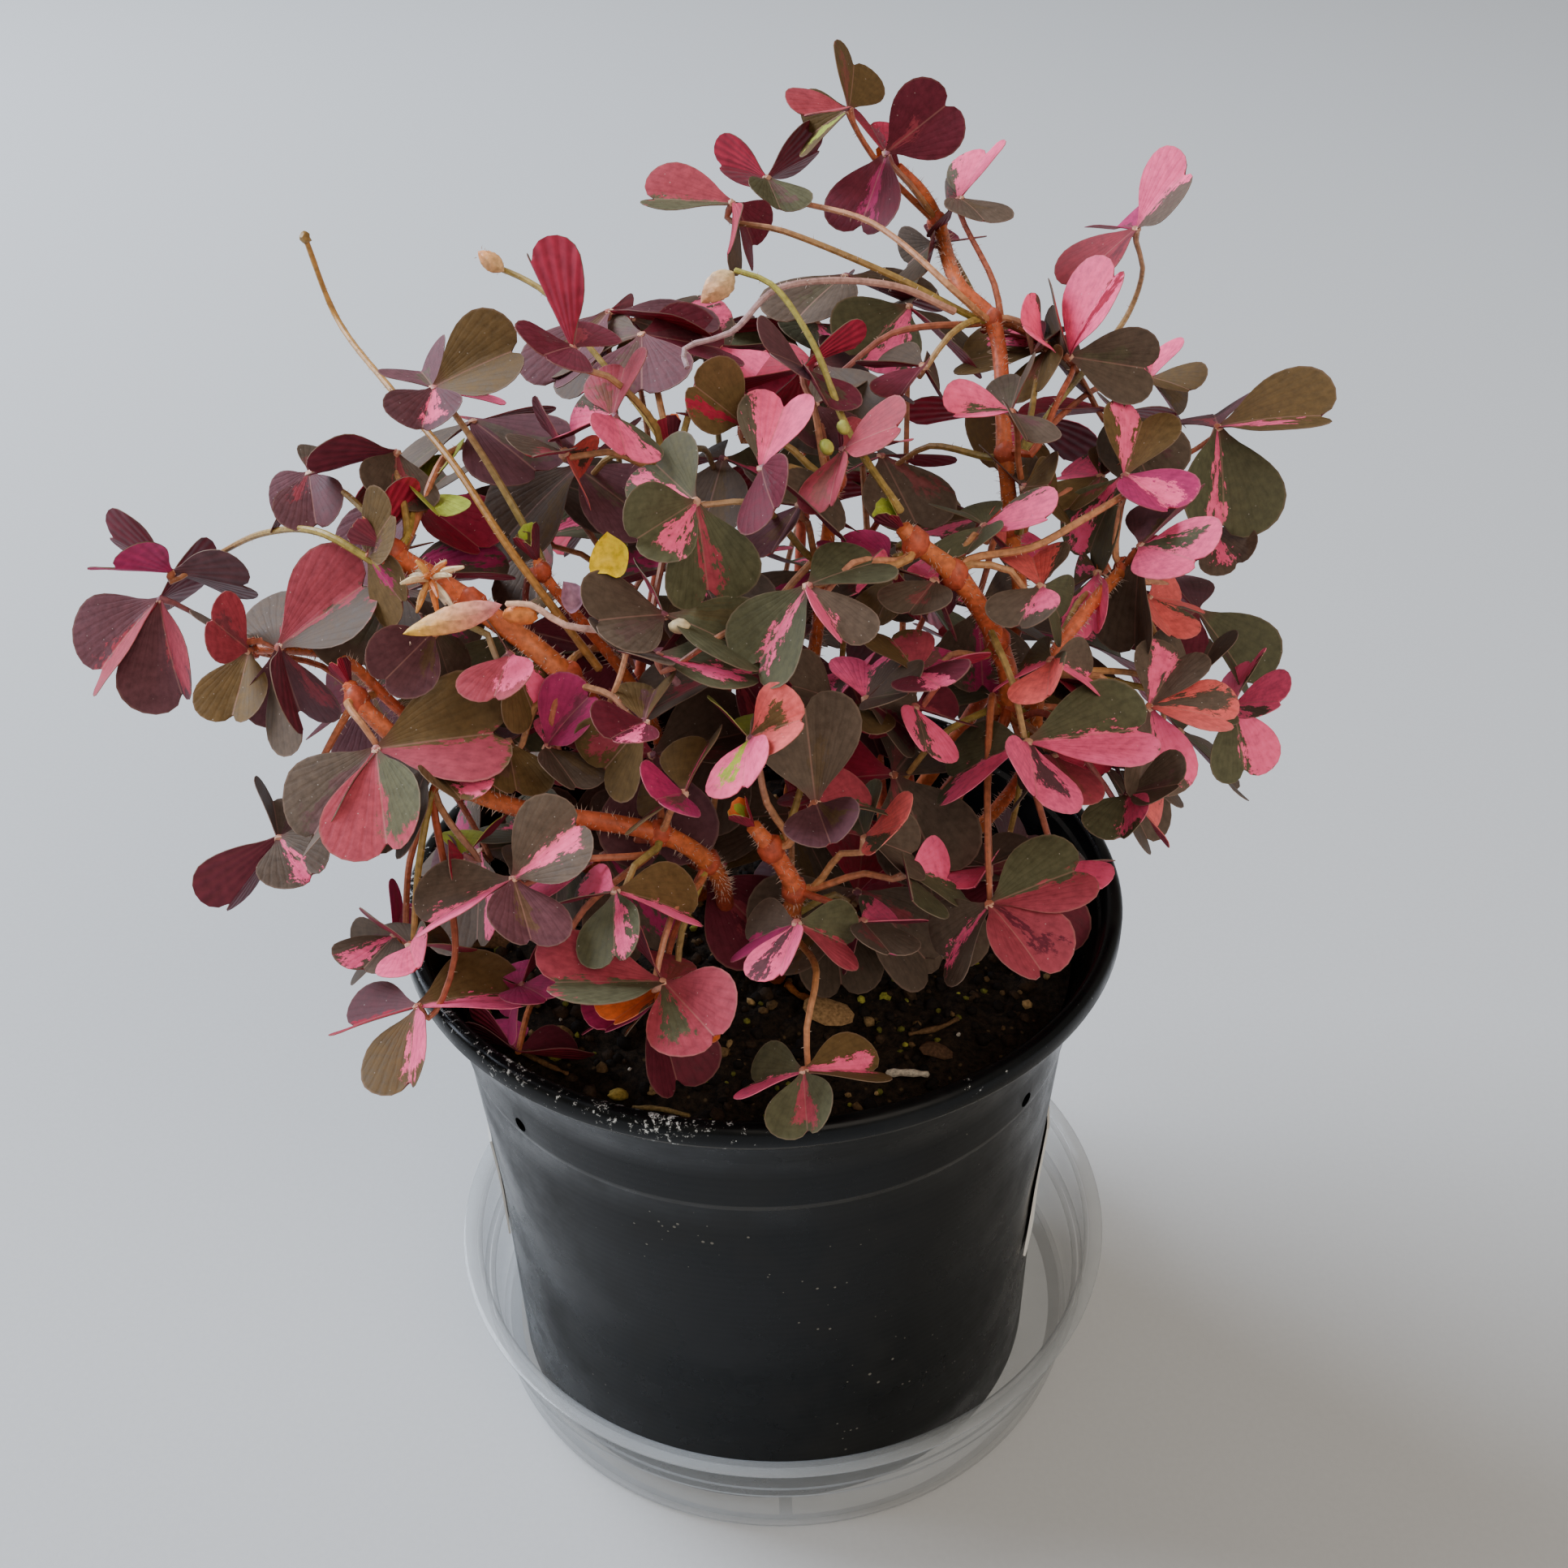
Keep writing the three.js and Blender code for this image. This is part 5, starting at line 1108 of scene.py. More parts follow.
@dataclass(frozen=True)
class Finish:
    """What every finish states: the shader's constants, and a pattern drawn over them."""

    name: str = "finish"
    roughness: float = 0.5
    ior: float = 1.45
    specular: float = 0.5

    def build(self) -> bpy.types.Material:
        """Makes the material.

        Returns:
            The material, with its constants set and its pattern linked.
        """
        material = bpy.data.materials.new(self.name)
        material.use_nodes = True
        tree = material.node_tree
        shader = tree.nodes["Principled BSDF"]
        shader.inputs["Roughness"].default_value = self.roughness
        shader.inputs["IOR"].default_value = self.ior
        shader.inputs["Specular IOR Level"].default_value = self.specular
        node = partial(add_node, tree)
        for socket, source in self.pattern(node, node("TexCoord", out=3)).items():
            tree.links.new(source, shader.inputs[socket])
        return material

    def pattern(self, node: AddNode, here: Socket) -> Feeds:
        """Draws the finish's pattern. Each finish has its own.

        Args:
            node: adds a node to the material's tree.
            here: the place on the piece, in metres.

        Returns:
            What feeds each of the shader's sockets.
        """
        raise NotImplementedError


@dataclass(frozen=True)
class LeafUpper(Finish):
    """Upper side of an oxalis leaflet: living leaf skin, satin and faintly quilted by its veins.

    Pink and salmon sectors that lack green run out from the hub in ragged flames, over a
    dark olive that looks almost brown. A pale thread edges the blade.
    """

    name: str = "leaf_upper_side"
    roughness: float = 0.6
    specular: float = 0.17
    midrib: str = "#b9877a"
    margin: str = "#a98a78"
    heart: str = "#6b3a3c"
    specks: str = "#e9dfd6"
    vein_count: float = 46.0  # about 0.5 mm apart in the middle of a blade 15 mm wide
    mottle_mm: float = 1.3
    speck_mm: float = 1.575  # the room that each speck has; a speck is about 0.2 mm across

    def pattern(self, node: AddNode, here: Socket) -> Feeds:
        """Draws the flame, mottling, veins, midrib, margin and specks."""
        along, sector, edge = (node("SeparateXYZ", [node("Attribute", out=1, attribute_name=layer)])
                               for layer in ("leaf_place", "leaf_sector", "leaf_edge"))
        out_share, seed = along.node.outputs[1:3]
        low, high, reach = sector.node.outputs
        base = node("Attribute", attribute_name="leaf_base")
        patch = node("Attribute", attribute_name="leaf_patch")
        behind = node("Math", [along, 0.08], operation="ADD")
        angle = node("Math", [out_share, behind], operation="ARCTAN2")
        fan = node("Math", [angle, 1.35], operation="MULTIPLY")
        # ragged flames: noise drawn out along the blade
        across = node("Math", [fan, 5.5], operation="MULTIPLY")
        drawn_out = node("Math", [along, 4.0], operation="MULTIPLY")
        streak_at = node("CombineXYZ", [across, drawn_out, seed])
        streak = node("TexNoise", {"Vector": streak_at, "Scale": 1.0, "Detail": 4.0, "Roughness": 0.7})
        ragged = node("Math", [streak, 0.5], operation="SUBTRACT")
        moved = node("Math", [ragged, 1.3, fan], operation="MULTIPLY_ADD")
        from_low = node("Math", [moved, low], operation="SUBTRACT")
        from_high = node("Math", [high, moved], operation="SUBTRACT")
        moved_out = node("Math", [ragged, 0.9, along], operation="MULTIPLY_ADD")
        to_reach = node("Math", [reach, moved_out], operation="SUBTRACT")
        inside = node("Math", [from_low, from_high], operation="MINIMUM")
        inside = node("Math", [inside, to_reach], operation="MINIMUM")
        mask = node("Math", [inside, 14.0, 0.5], operation="MULTIPLY_ADD", use_clamp=True)
        colour = node("Mix", {0: mask, 6: base, 7: patch}, out=2, data_type="RGBA")
        # mottling of the leaf skin, and veins that fan out from the hub
        grain = {"Vector": here, "Scale": 1000 / self.mottle_mm, "Detail": 3.0, "Roughness": 0.6}
        mottle = node("TexNoise", grain)
        shade = node("MapRange", [mottle, 0.3, 0.7, 0.78, 1.2])
        wander = node("Math", [streak, 5.0], operation="MULTIPLY")
        wave = node("Math", [fan, self.vein_count, wander], operation="MULTIPLY_ADD")
        vein = node("Math", [node("Math", [wave], operation="SINE"), 0.0], operation="MAXIMUM")
        vein_shade = node("Math", [vein, -0.06, shade], operation="MULTIPLY_ADD")
        colour = node("VectorMath", {0: colour, 3: vein_shade}, operation="SCALE")
        off_rib = node("Math", [out_share], operation="ABSOLUTE")
        grit = node("TexVoronoi", {"Vector": here, "Scale": 1000 / self.speck_mm})
        for share, code in (
            (node("MapRange", [off_rib, 0.003, 0.016, 0.35, 0.0]), self.midrib),
            (node("MapRange", [edge, 0.95, 1.0, 0.0, 0.3]), self.margin),
            (node("MapRange", [along, 0.02, 0.2, 0.55, 0.0]), self.heart),
            (node("MapRange", [grit, 0.03, 0.07, 0.4, 0.0]), self.specks),
        ):
            colour = node("Mix", {0: share, 6: colour, 7: linear(code)}, out=2, data_type="RGBA")
        height = node("Math", [vein, -0.5, mottle], operation="MULTIPLY_ADD")
        return {
            "Base Color": colour,
            "Roughness": node("MapRange", [mottle, 0.3, 0.7, self.roughness - 0.07, self.roughness + 0.1]),
            "Normal": node("Bump", {"Strength": 0.22, "Distance": 0.0003, "Height": height}),
        }


@dataclass(frozen=True)
class LeafUnder(Finish):
    """Underside of an oxalis leaflet: burgundy to magenta leaf skin, paler along its veins."""

    name: str = "leaf_underside"
    roughness: float = 0.58
    specular: float = 0.3
    mottle_mm: float = 1.6
    vein_count: float = 44.0  # a little wider apart than on the upper side

    def pattern(self, node: AddNode, here: Socket) -> Feeds:
        """Draws the mottling and the veins."""
        along = node("SeparateXYZ", [node("Attribute", out=1, attribute_name="leaf_place")])
        behind = node("Math", [along, 0.08], operation="ADD")
        fan = node("Math", [along.node.outputs[1], behind], operation="ARCTAN2")
        mottle = node("TexNoise", {"Vector": here, "Scale": 1000 / self.mottle_mm, "Detail": 3.0})
        wave = node("Math", [fan, self.vein_count, mottle], operation="MULTIPLY_ADD")
        vein = node("Math", [wave], operation="SINE")
        shade = node("MapRange", [mottle, 0.3, 0.7, 0.78, 1.25])
        shade = node("Math", [vein, 0.1, shade], operation="MULTIPLY_ADD")
        base = node("Attribute", attribute_name="leaf_below")
        return {
            "Base Color": node("VectorMath", {0: base, 3: shade}, operation="SCALE"),
            "Normal": node("Bump", {"Strength": 0.3, "Distance": 0.0003, "Height": vein}),
        }


@dataclass(frozen=True)
class StalkSkin(Finish):
    """Fleshy stem and leaf stalk skin: thin, moist and satin, streaked along its length."""

    name: str = "stalk_skin"
    roughness: float = 0.45
    specular: float = 0.4
    streak_mm: float = 0.9

    def pattern(self, node: AddNode, here: Socket) -> Feeds:
        """Draws the streaks over each stalk's own colour."""
        noise = node("TexNoise", {"Vector": here, "Scale": 1000 / self.streak_mm, "Detail": 3.0})
        shade = node("MapRange", [noise, 0.3, 0.7, 0.7, 1.3])
        base = node("Attribute", attribute_name="stalk_colour")
        return {
            "Base Color": node("VectorMath", {0: base, 3: shade}, operation="SCALE"),
            "Normal": node("Bump", {"Strength": 0.3, "Distance": 0.0002, "Height": noise}),
        }


@dataclass(frozen=True)
class PlantHair(Finish):
    """Fine plant hair: dry, whitish and matt, so that stems look frosted against the light."""

    name: str = "plant_hair"
    roughness: float = 0.7
    specular: float = 0.3
    hair_mm: float = 1.429  # the tone changes from hair to hair

    def pattern(self, node: AddNode, here: Socket) -> Feeds:
        """Draws lighter and darker hairs."""
        noise = node("TexNoise", {"Vector": here, "Scale": 1000 / self.hair_mm})
        tones = {0: noise, 6: linear("#b9907c"), 7: linear("#efe2d2")}
        return {"Base Color": node("Mix", tones, out=2, data_type="RGBA")}


@dataclass(frozen=True)
class BlackPolypropylene(Finish):
    """Injection moulded black polypropylene: a soft sheen, faint rings and grey potting dust."""

    name: str = "black_polypropylene"
    roughness: float = 0.2
    ior: float = 1.49
    specular: float = 0.15
    colour: str = "#090b0c"
    dust: str = "#4a4843"
    flecks: str = "#8f8a7e"
    lime: str = "#c9cbc8"
    haze_mm: float = 18.18
    fleck_mm: float = 2.083  # the room that each fleck has
    patch_mm: float = 35.71
    crowd_mm: float = 16.67
    lime_mm: float = 1.111
    rim_foot: float = 0.0985  # where the rim band starts, in metres as the shader sees it
    # paler grey lines round the wall: (height, half width in metres, how much)
    pale_lines: tuple[tuple[float, float, float], ...] = ((0.0795, 0.0006, 1.0), (0.0993, 0.0005, 2.0))

    def pattern(self, node: AddNode, here: Socket) -> Feeds:
        """Draws haze, flecks of dust, lime on the rim and the moulding rings."""
        x = node("SeparateXYZ", [here])
        height = x.node.outputs[2]
        # cloudy haze and separate flecks of dust, each about 0.6 mm
        cloud = {"Vector": here, "Scale": 1000 / self.haze_mm, "Detail": 5.0, "Roughness": 0.62}
        haze = node("TexNoise", cloud)
        haze_share = node("MapRange", [haze, 0.5, 0.8, 0.0, 0.16])
        fleck = node("TexVoronoi", {"Vector": here, "Scale": 1000 / self.fleck_mm})
        patchy = node("TexNoise", {"Vector": here, "Scale": 1000 / self.patch_mm, "Detail": 2.0})
        fleck_size = node("MapRange", [patchy, 0.52, 0.7, 0.0, 0.14])
        fleck_share = node("Math", [fleck, fleck_size], operation="LESS_THAN")
        fleck_share = node("Math", [fleck_share, 0.5], operation="MULTIPLY")
        # white lime grains left on the rim's front left
        high = node("MapRange", [height, self.rim_foot, 0.1028, 0.04, 0.15])
        left = node("MapRange", [x, -0.03, 0.02, 1.0, 0.3])
        specks = {"Vector": here, "Scale": 1000 / self.lime_mm, "Detail": 5.0, "Roughness": 0.75}
        crowd = node("TexNoise", {"Vector": here, "Scale": 1000 / self.crowd_mm, "Detail": 3.0})
        crowded = node("Math", [crowd, 0.5, node("TexNoise", specks)], operation="MULTIPLY_ADD")
        grain_size = node("Math", [high, left], operation="MULTIPLY")
        lime_line = node("Math", [0.97, grain_size], operation="SUBTRACT")
        lime_share = node("Math", [crowded, lime_line], operation="SUBTRACT")
        lime_share = node("Math", [lime_share, 14.0], operation="MULTIPLY", use_clamp=True)
        above = node("Math", [height, self.rim_foot], operation="GREATER_THAN")
        lime_share = node("Math", [lime_share, above], operation="MULTIPLY")
        # paler grey lines, in the dust's colour and patchy, along the step in the wall and under the rim
        # band
        for level, width, share in self.pale_lines:
            line = node("Math", [height, level, width], operation="COMPARE")
            line_share = node("Math", [line, crowd], operation="MULTIPLY")
            haze_share = node("Math", [line_share, 0.5 * share, haze_share], operation="MULTIPLY_ADD")
        colour: Any = linear(self.colour)
        for share, code in ((haze_share, self.dust), (fleck_share, self.flecks), (lime_share, self.lime)):
            colour = node("Mix", {0: share, 6: colour, 7: linear(code)}, out=2, data_type="RGBA")
        turns = node("Math", [height, 4200.0], operation="MULTIPLY")  # a ring each 1.5 mm
        ring = node("Math", [turns], operation="SINE")
        relief = node("Math", [ring, 0.12, haze], operation="MULTIPLY_ADD")
        return {
            "Base Color": colour,
            "Roughness": node("MapRange", [haze, 0.35, 0.7, self.roughness - 0.04, self.roughness + 0.3]),
            "Normal": node("Bump", {"Strength": 0.05, "Distance": 0.0003, "Height": relief}),
        }


@dataclass(frozen=True)
class ClearPolystyrene(Finish):
    """Vacuum formed clear polystyrene sheet: see-through face on, milky white where the sheet
    is seen edgewise, with sharp highlights and a trace of dust.
    """

    name: str = "clear_polystyrene"
    roughness: float = 0.12
    ior: float = 1.59
    specular: float = 0.6
    dust_mm: float = 6.25
    # where the sheet is thick and bent, the flange, the step and the foot: (height, half width
    # in metres, how milky)
    bends: tuple[tuple[float, float, float], ...] = (
        (0.0233, 0.0009, 0.3), (0.0133, 0.0005, 0.3), (0.0011, 0.0006, 0.2))

    def pattern(self, node: AddNode, here: Socket) -> Feeds:
        """Draws the dust, and how far the sheet covers what is behind it."""
        film = {"Vector": here, "Scale": 1000 / self.dust_mm, "Detail": 4.0, "Roughness": 0.7}
        dust = node("TexNoise", film)
        edgewise = node("LayerWeight", {"Blend": 0.35}, out=1)
        sharp = node("Math", [edgewise, 2.2], operation="POWER")
        cover = node("MapRange", [sharp, 0.0, 1.0, 0.05, 0.6])
        cover = node("Math", [dust, 0.06, cover], operation="MULTIPLY_ADD")
        height = node("SeparateXYZ", [here]).node.outputs[2]
        for level, width, share in self.bends:
            bend = node("Math", [height, level, width], operation="COMPARE")
            cover = node("Math", [bend, share, cover], operation="MULTIPLY_ADD", use_clamp=True)
        tones = {0: dust, 6: linear("#c3c8cb"), 7: linear("#a9aeb0")}
        return {
            "Base Color": node("Mix", tones, out=2, data_type="RGBA"),
            "Roughness": node("MapRange", [dust, 0.5, 0.8, self.roughness, 0.3]),
            "Alpha": cover,
        }


@dataclass(frozen=True)
class LabelFilm(Finish):
    """White polypropylene film, left blank: smooth, a little grey where it is handled."""

    name: str = "white_label_film"
    roughness: float = 0.42
    scuff_mm: float = 11.11

    def pattern(self, node: AddNode, here: Socket) -> Feeds:
        """Draws the scuffs."""
        rubbed = {"Vector": here, "Scale": 1000 / self.scuff_mm, "Detail": 5.0, "Roughness": 0.7}
        scuff = node("TexNoise", rubbed)
        share = node("MapRange", [scuff, 0.45, 0.8, 0.0, 0.5])
        tones = {0: share, 6: linear("#e8e6df"), 7: linear("#c2beb3")}
        return {
            "Base Color": node("Mix", tones, out=2, data_type="RGBA"),
            "Normal": node("Bump", {"Strength": 0.1, "Distance": 0.0002, "Height": scuff}),
        }


@dataclass(frozen=True)
class Peat(Finish):
    """Moist peat potting mix: near black, crumbly and dull, with tan fibres."""

    name: str = "peat_potting_mix"
    roughness: float = 0.92
    specular: float = 0.2
    crumb_mm: float = 1.1
    fibre_mm: float = 2.381

    def pattern(self, node: AddNode, here: Socket) -> Feeds:
        """Draws the crumbs and the fibres."""
        crumbs = {"Vector": here, "Scale": 1000 / self.crumb_mm, "Detail": 5.0, "Roughness": 0.65}
        crumb = node("TexNoise", crumbs)
        share = node("MapRange", [crumb, 0.35, 0.72, 0.0, 1.0])
        fibre = node("TexVoronoi", {"Vector": here, "Scale": 1000 / self.fibre_mm})
        fibre_share = node("MapRange", [fibre, 0.08, 0.16, 0.5, 0.0])
        colour: Any = linear("#120e0b")
        for part, code in ((share, "#3c3024"), (fibre_share, "#7c6444")):
            colour = node("Mix", {0: part, 6: colour, 7: linear(code)}, out=2, data_type="RGBA")
        return {
            "Base Color": colour,
            "Normal": node("Bump", {"Strength": 0.8, "Distance": 0.0008, "Height": crumb}),
        }


@dataclass(frozen=True)
class Grains(Finish):
    """Loose grains, moss and litter on the mix: dry and matt, each in its own colour."""

    name: str = "grains_and_litter"
    roughness: float = 0.85
    specular: float = 0.25
    pore_mm: float = 0.5

    def pattern(self, node: AddNode, here: Socket) -> Feeds:
        """Draws the pores over each grain's own colour."""
        pore = node("TexNoise", {"Vector": here, "Scale": 1000 / self.pore_mm, "Detail": 3.0})
        shade = node("MapRange", [pore, 0.3, 0.7, 0.55, 1.3])
        base = node("Attribute", attribute_name="grain_colour")
        return {
            "Base Color": node("VectorMath", {0: base, 3: shade}, operation="SCALE"),
            "Normal": node("Bump", {"Strength": 0.6, "Distance": 0.0003, "Height": pore}),
        }


@dataclass(frozen=True)
class StudioPaper(Finish):
    """Pale seamless background paper: matt, with a barely seen tooth."""

    name: str = "seamless_paper"
    roughness: float = 0.9
    specular: float = 0.2
    colour: str = "#c3c5c6"
    tooth_mm: float = 1.111

    def pattern(self, node: AddNode, here: Socket) -> Feeds:
        """Draws the paper's tooth."""
        tooth = node("TexNoise", {"Vector": here, "Scale": 1000 / self.tooth_mm, "Detail": 2.0})
        shade = node("MapRange", [tooth, 0.3, 0.7, 0.985, 1.015])
        tone = {0: linear(self.colour)[:3], 3: shade}
        return {"Base Color": node("VectorMath", tone, operation="SCALE")}


@dataclass
class Finishes:
    """The materials that the pieces share."""

    upper: bpy.types.Material = field(default_factory=lambda: LeafUpper().build())
    under: bpy.types.Material = field(default_factory=lambda: LeafUnder().build())
    stalk: bpy.types.Material = field(default_factory=lambda: StalkSkin().build())
    hair: bpy.types.Material = field(default_factory=lambda: PlantHair().build())
    grains: bpy.types.Material = field(default_factory=lambda: Grains().build())

    def plant(self) -> list[bpy.types.Material]:
        """The four slots of every leafy piece: upper side, underside, stalk and hair."""
        return [self.upper, self.under, self.stalk, self.hair]


UPPER, UNDER, STALK, HAIR = range(4)


# Holder

@dataclass
class Pot:
    """Black nursery pot, with a rim band, a moulded step in its wall and drain holes."""

    rim_radius: float = 60.0
    rim_top: float = 103.0
    foot_radius: float = 49.1
    segments: int = 144
    drain: tuple[int, float, float] = (6, 3.4, 37.0)
    hanger_angles: tuple[float, ...] = (-138, -39, 41, 139)
    hanger: tuple[float, float, float] = (81.7, 1.3, 52.5)  # height, radius and reach
    floor: float = 4.0
    cut: float = 8.0  # length of the drills that make the holes
    crease: float = 50.0

    def profile(self) -> list[tuple[float, float]]:
        """Returns the outline from the middle of the floor outside to the middle inside."""
        top, rim, foot = self.rim_top, self.rim_radius, self.foot_radius
        return [
            # the ring that it stands on, and the wall up to its moulded step
            (0, 3.6), (foot - 6, 3.6), (foot - 5.2, 3.2), (foot - 5, 1.8), (foot - 4.6, 1.5),
            (foot - 0.7, 1.5), (foot, 2.1), (49.3, 12), (49.6, 28), (49.9, 45), (51.0, 60), (52.0, 72.5),
            # the step, the flare and the rim band
            (52.4, 78.6), (52.75, 79.3), (52.95, 80.4), (53.25, 86), (53.7, 88.6), (54.7, 91.6),
            (55.8, 94.3), (56.7, 97.2), (57.3, 98.8), (57.8, 99.0), (59.3, 99.0), (59.8, 99.3),
            (rim, 99.8), (rim, top - 1.1), (rim - 0.3, top - 0.4), (rim - 0.9, top),
            # the inside, down to the floor
            (58.0, top), (57.5, top - 0.3), (57.2, top - 1.0), (56.6, 99.6), (55.5, 97.0), (54.4, 94),
            (53.3, 91), (52.2, 86), (51.0, 75), (48.8, 45), (48.0, 10), (47.6, 5.6), (46.8, 5.0), (0, 5.0),
        ]

    def build(self) -> None:
        """Builds the pot and cuts its drain and hanger holes."""
        body = Body()
        body.add(*lathe(self.profile(), self.segments))
        pot = body.piece("nursery_pot", [BlackPolypropylene().build()], "pot_plastic", ["pot"], self.crease)
        cutter = bmesh.new()
        count, radius, ring = self.drain
        upright, lying = Matrix.Identity(4), Matrix.Rotation(math.pi / 2, 4, "Y")
        places = [((i + 0.5) * 2 * math.pi / count, ring, self.floor, radius, upright) for i in range(count)]
        height, radius, reach = self.hanger
        places += [(math.radians(angle), reach, height, radius, lying) for angle in self.hanger_angles]
        for angle, reach, height, size, turn in places:
            out = Matrix.Translation((reach / 1000, 0, height / 1000))
            bmesh.ops.create_cone(cutter, cap_ends=True, segments=20, radius1=size / 1000,
                                  radius2=size / 1000, depth=self.cut / 1000,
                                  matrix=Matrix.Rotation(angle, 4, "Z") @ out @ turn)
        mesh = bpy.data.meshes.new("holes")
        cutter.to_mesh(mesh)
        cutter.free()
        holes = bpy.data.objects.new("holes", mesh)
        bpy.context.scene.collection.objects.link(holes)
        cut = pot.modifiers.new("holes", "BOOLEAN")
        cut.object, cut.operation, cut.solver = holes, "DIFFERENCE", "EXACT"
        done = bpy.data.meshes.new_from_object(pot.evaluated_get(bpy.context.evaluated_depsgraph_get()))
        pot.modifiers.clear()
        pot.data = done
        done.set_sharp_from_angle(angle=math.radians(self.crease))
        bpy.data.objects.remove(holes)


@dataclass
class Saucer:
    """Clear thin saucer with a stepped wall and a flat rim flange."""

    centre: tuple[float, float] = (2.2, 1.4)
    segments: int = 144
    sheet: float = 0.75

    def profile(self) -> list[tuple[float, float]]:
        """Returns the outline, outside first, with its bends rounded as forming leaves them."""
        sheet = self.sheet
        outside = [
            (0, 0.25), (30, 0.25), (30.8, 0.0), (52.6, 0.0), (54.6, 0.25), (55.6, 1.1), (56.0, 2.4),
            (56.6, 8.0), (57.1, 12.0), (57.4, 12.7), (58.0, 13.0), (58.3, 13.7), (58.5, 18.0), (58.7, 22.1),
            (59.1, 22.7), (60.9, 22.8), (61.3, 23.1),
        ]
        inside = [
            (61.3, 23.4), (60.9, 23.6), (58.9, 23.55), (58.0, 22.9), (57.8, 22.0), (57.6, 18.0),
            (57.5, 14.2), (57.2, 13.8), (56.6, 13.5), (56.3, 12.7), (55.8, 8.0), (55.2, 2.9), (54.6, 1.6),
            (53.6, 1.1), (52.4, sheet + 0.2), (31.0, sheet + 0.2), (30.2, sheet + 0.45), (0, sheet + 0.45),
        ]
        return outside + inside

    def build(self) -> None:
        """Builds the saucer."""
        body = Body()
        body.add(*lathe(self.profile(), self.segments, self.centre))
        body.piece("clear_saucer", [ClearPolystyrene().build()], "saucer_plastic", ["saucer"], crease=60)


@dataclass
class Label:
    """Blank white strip wrapped round the rear of the pot."""

    bottom: float = 31.0
    top: float = 55.0
    thickness: float = 0.4
    right_end: tuple[float, float] = (-25.0, -15.0)
    left_end: float = 194.0
    gap: float = 0.12
    lift: float = 0.3  # at the right end
    lift_reach: float = 0.06  # in radians
    steps: int = 110
    wall: tuple[tuple[float, float], ...] = ((28.0, 49.6), (45.0, 49.9), (60.0, 51.0))

    def build(self) -> None:
        """Builds the strip, a little proud of the wall at its right end."""
        heights = np.linspace(self.bottom, self.top, 7)
        wall = np.interp(heights, [z for z, _ in self.wall], [r for _, r in self.wall]) + self.gap
        rights = np.linspace(*self.right_end, len(heights))
        rows = []
        for radius in (wall, wall + self.thickness):
            for height, r, right in zip(heights, radius, rights):
                angles = np.radians(np.linspace(right, self.left_end, self.steps))
                lift = self.lift * np.exp(-((angles - angles[0]) / self.lift_reach) ** 2)
                rows.append(circle(r + lift, height, angles))
        half = len(heights)
        rows[half:] = rows[:half - 1:-1]
        n, rings = self.steps, len(rows)
        faces = [((i + 1) % rings * n + k, (i + 1) % rings * n + k + 1, i * n + k + 1, i * n + k)
                 for i in range(rings) for k in range(n - 1)]
        faces += [tuple(i * n for i in range(rings)), tuple(i * n + n - 1 for i in reversed(range(rings)))]
        body = Body()
        body.add(np.concatenate(rows), faces)
        body.piece("pot_label", [LabelFilm().build()], "label_film", ["label"])


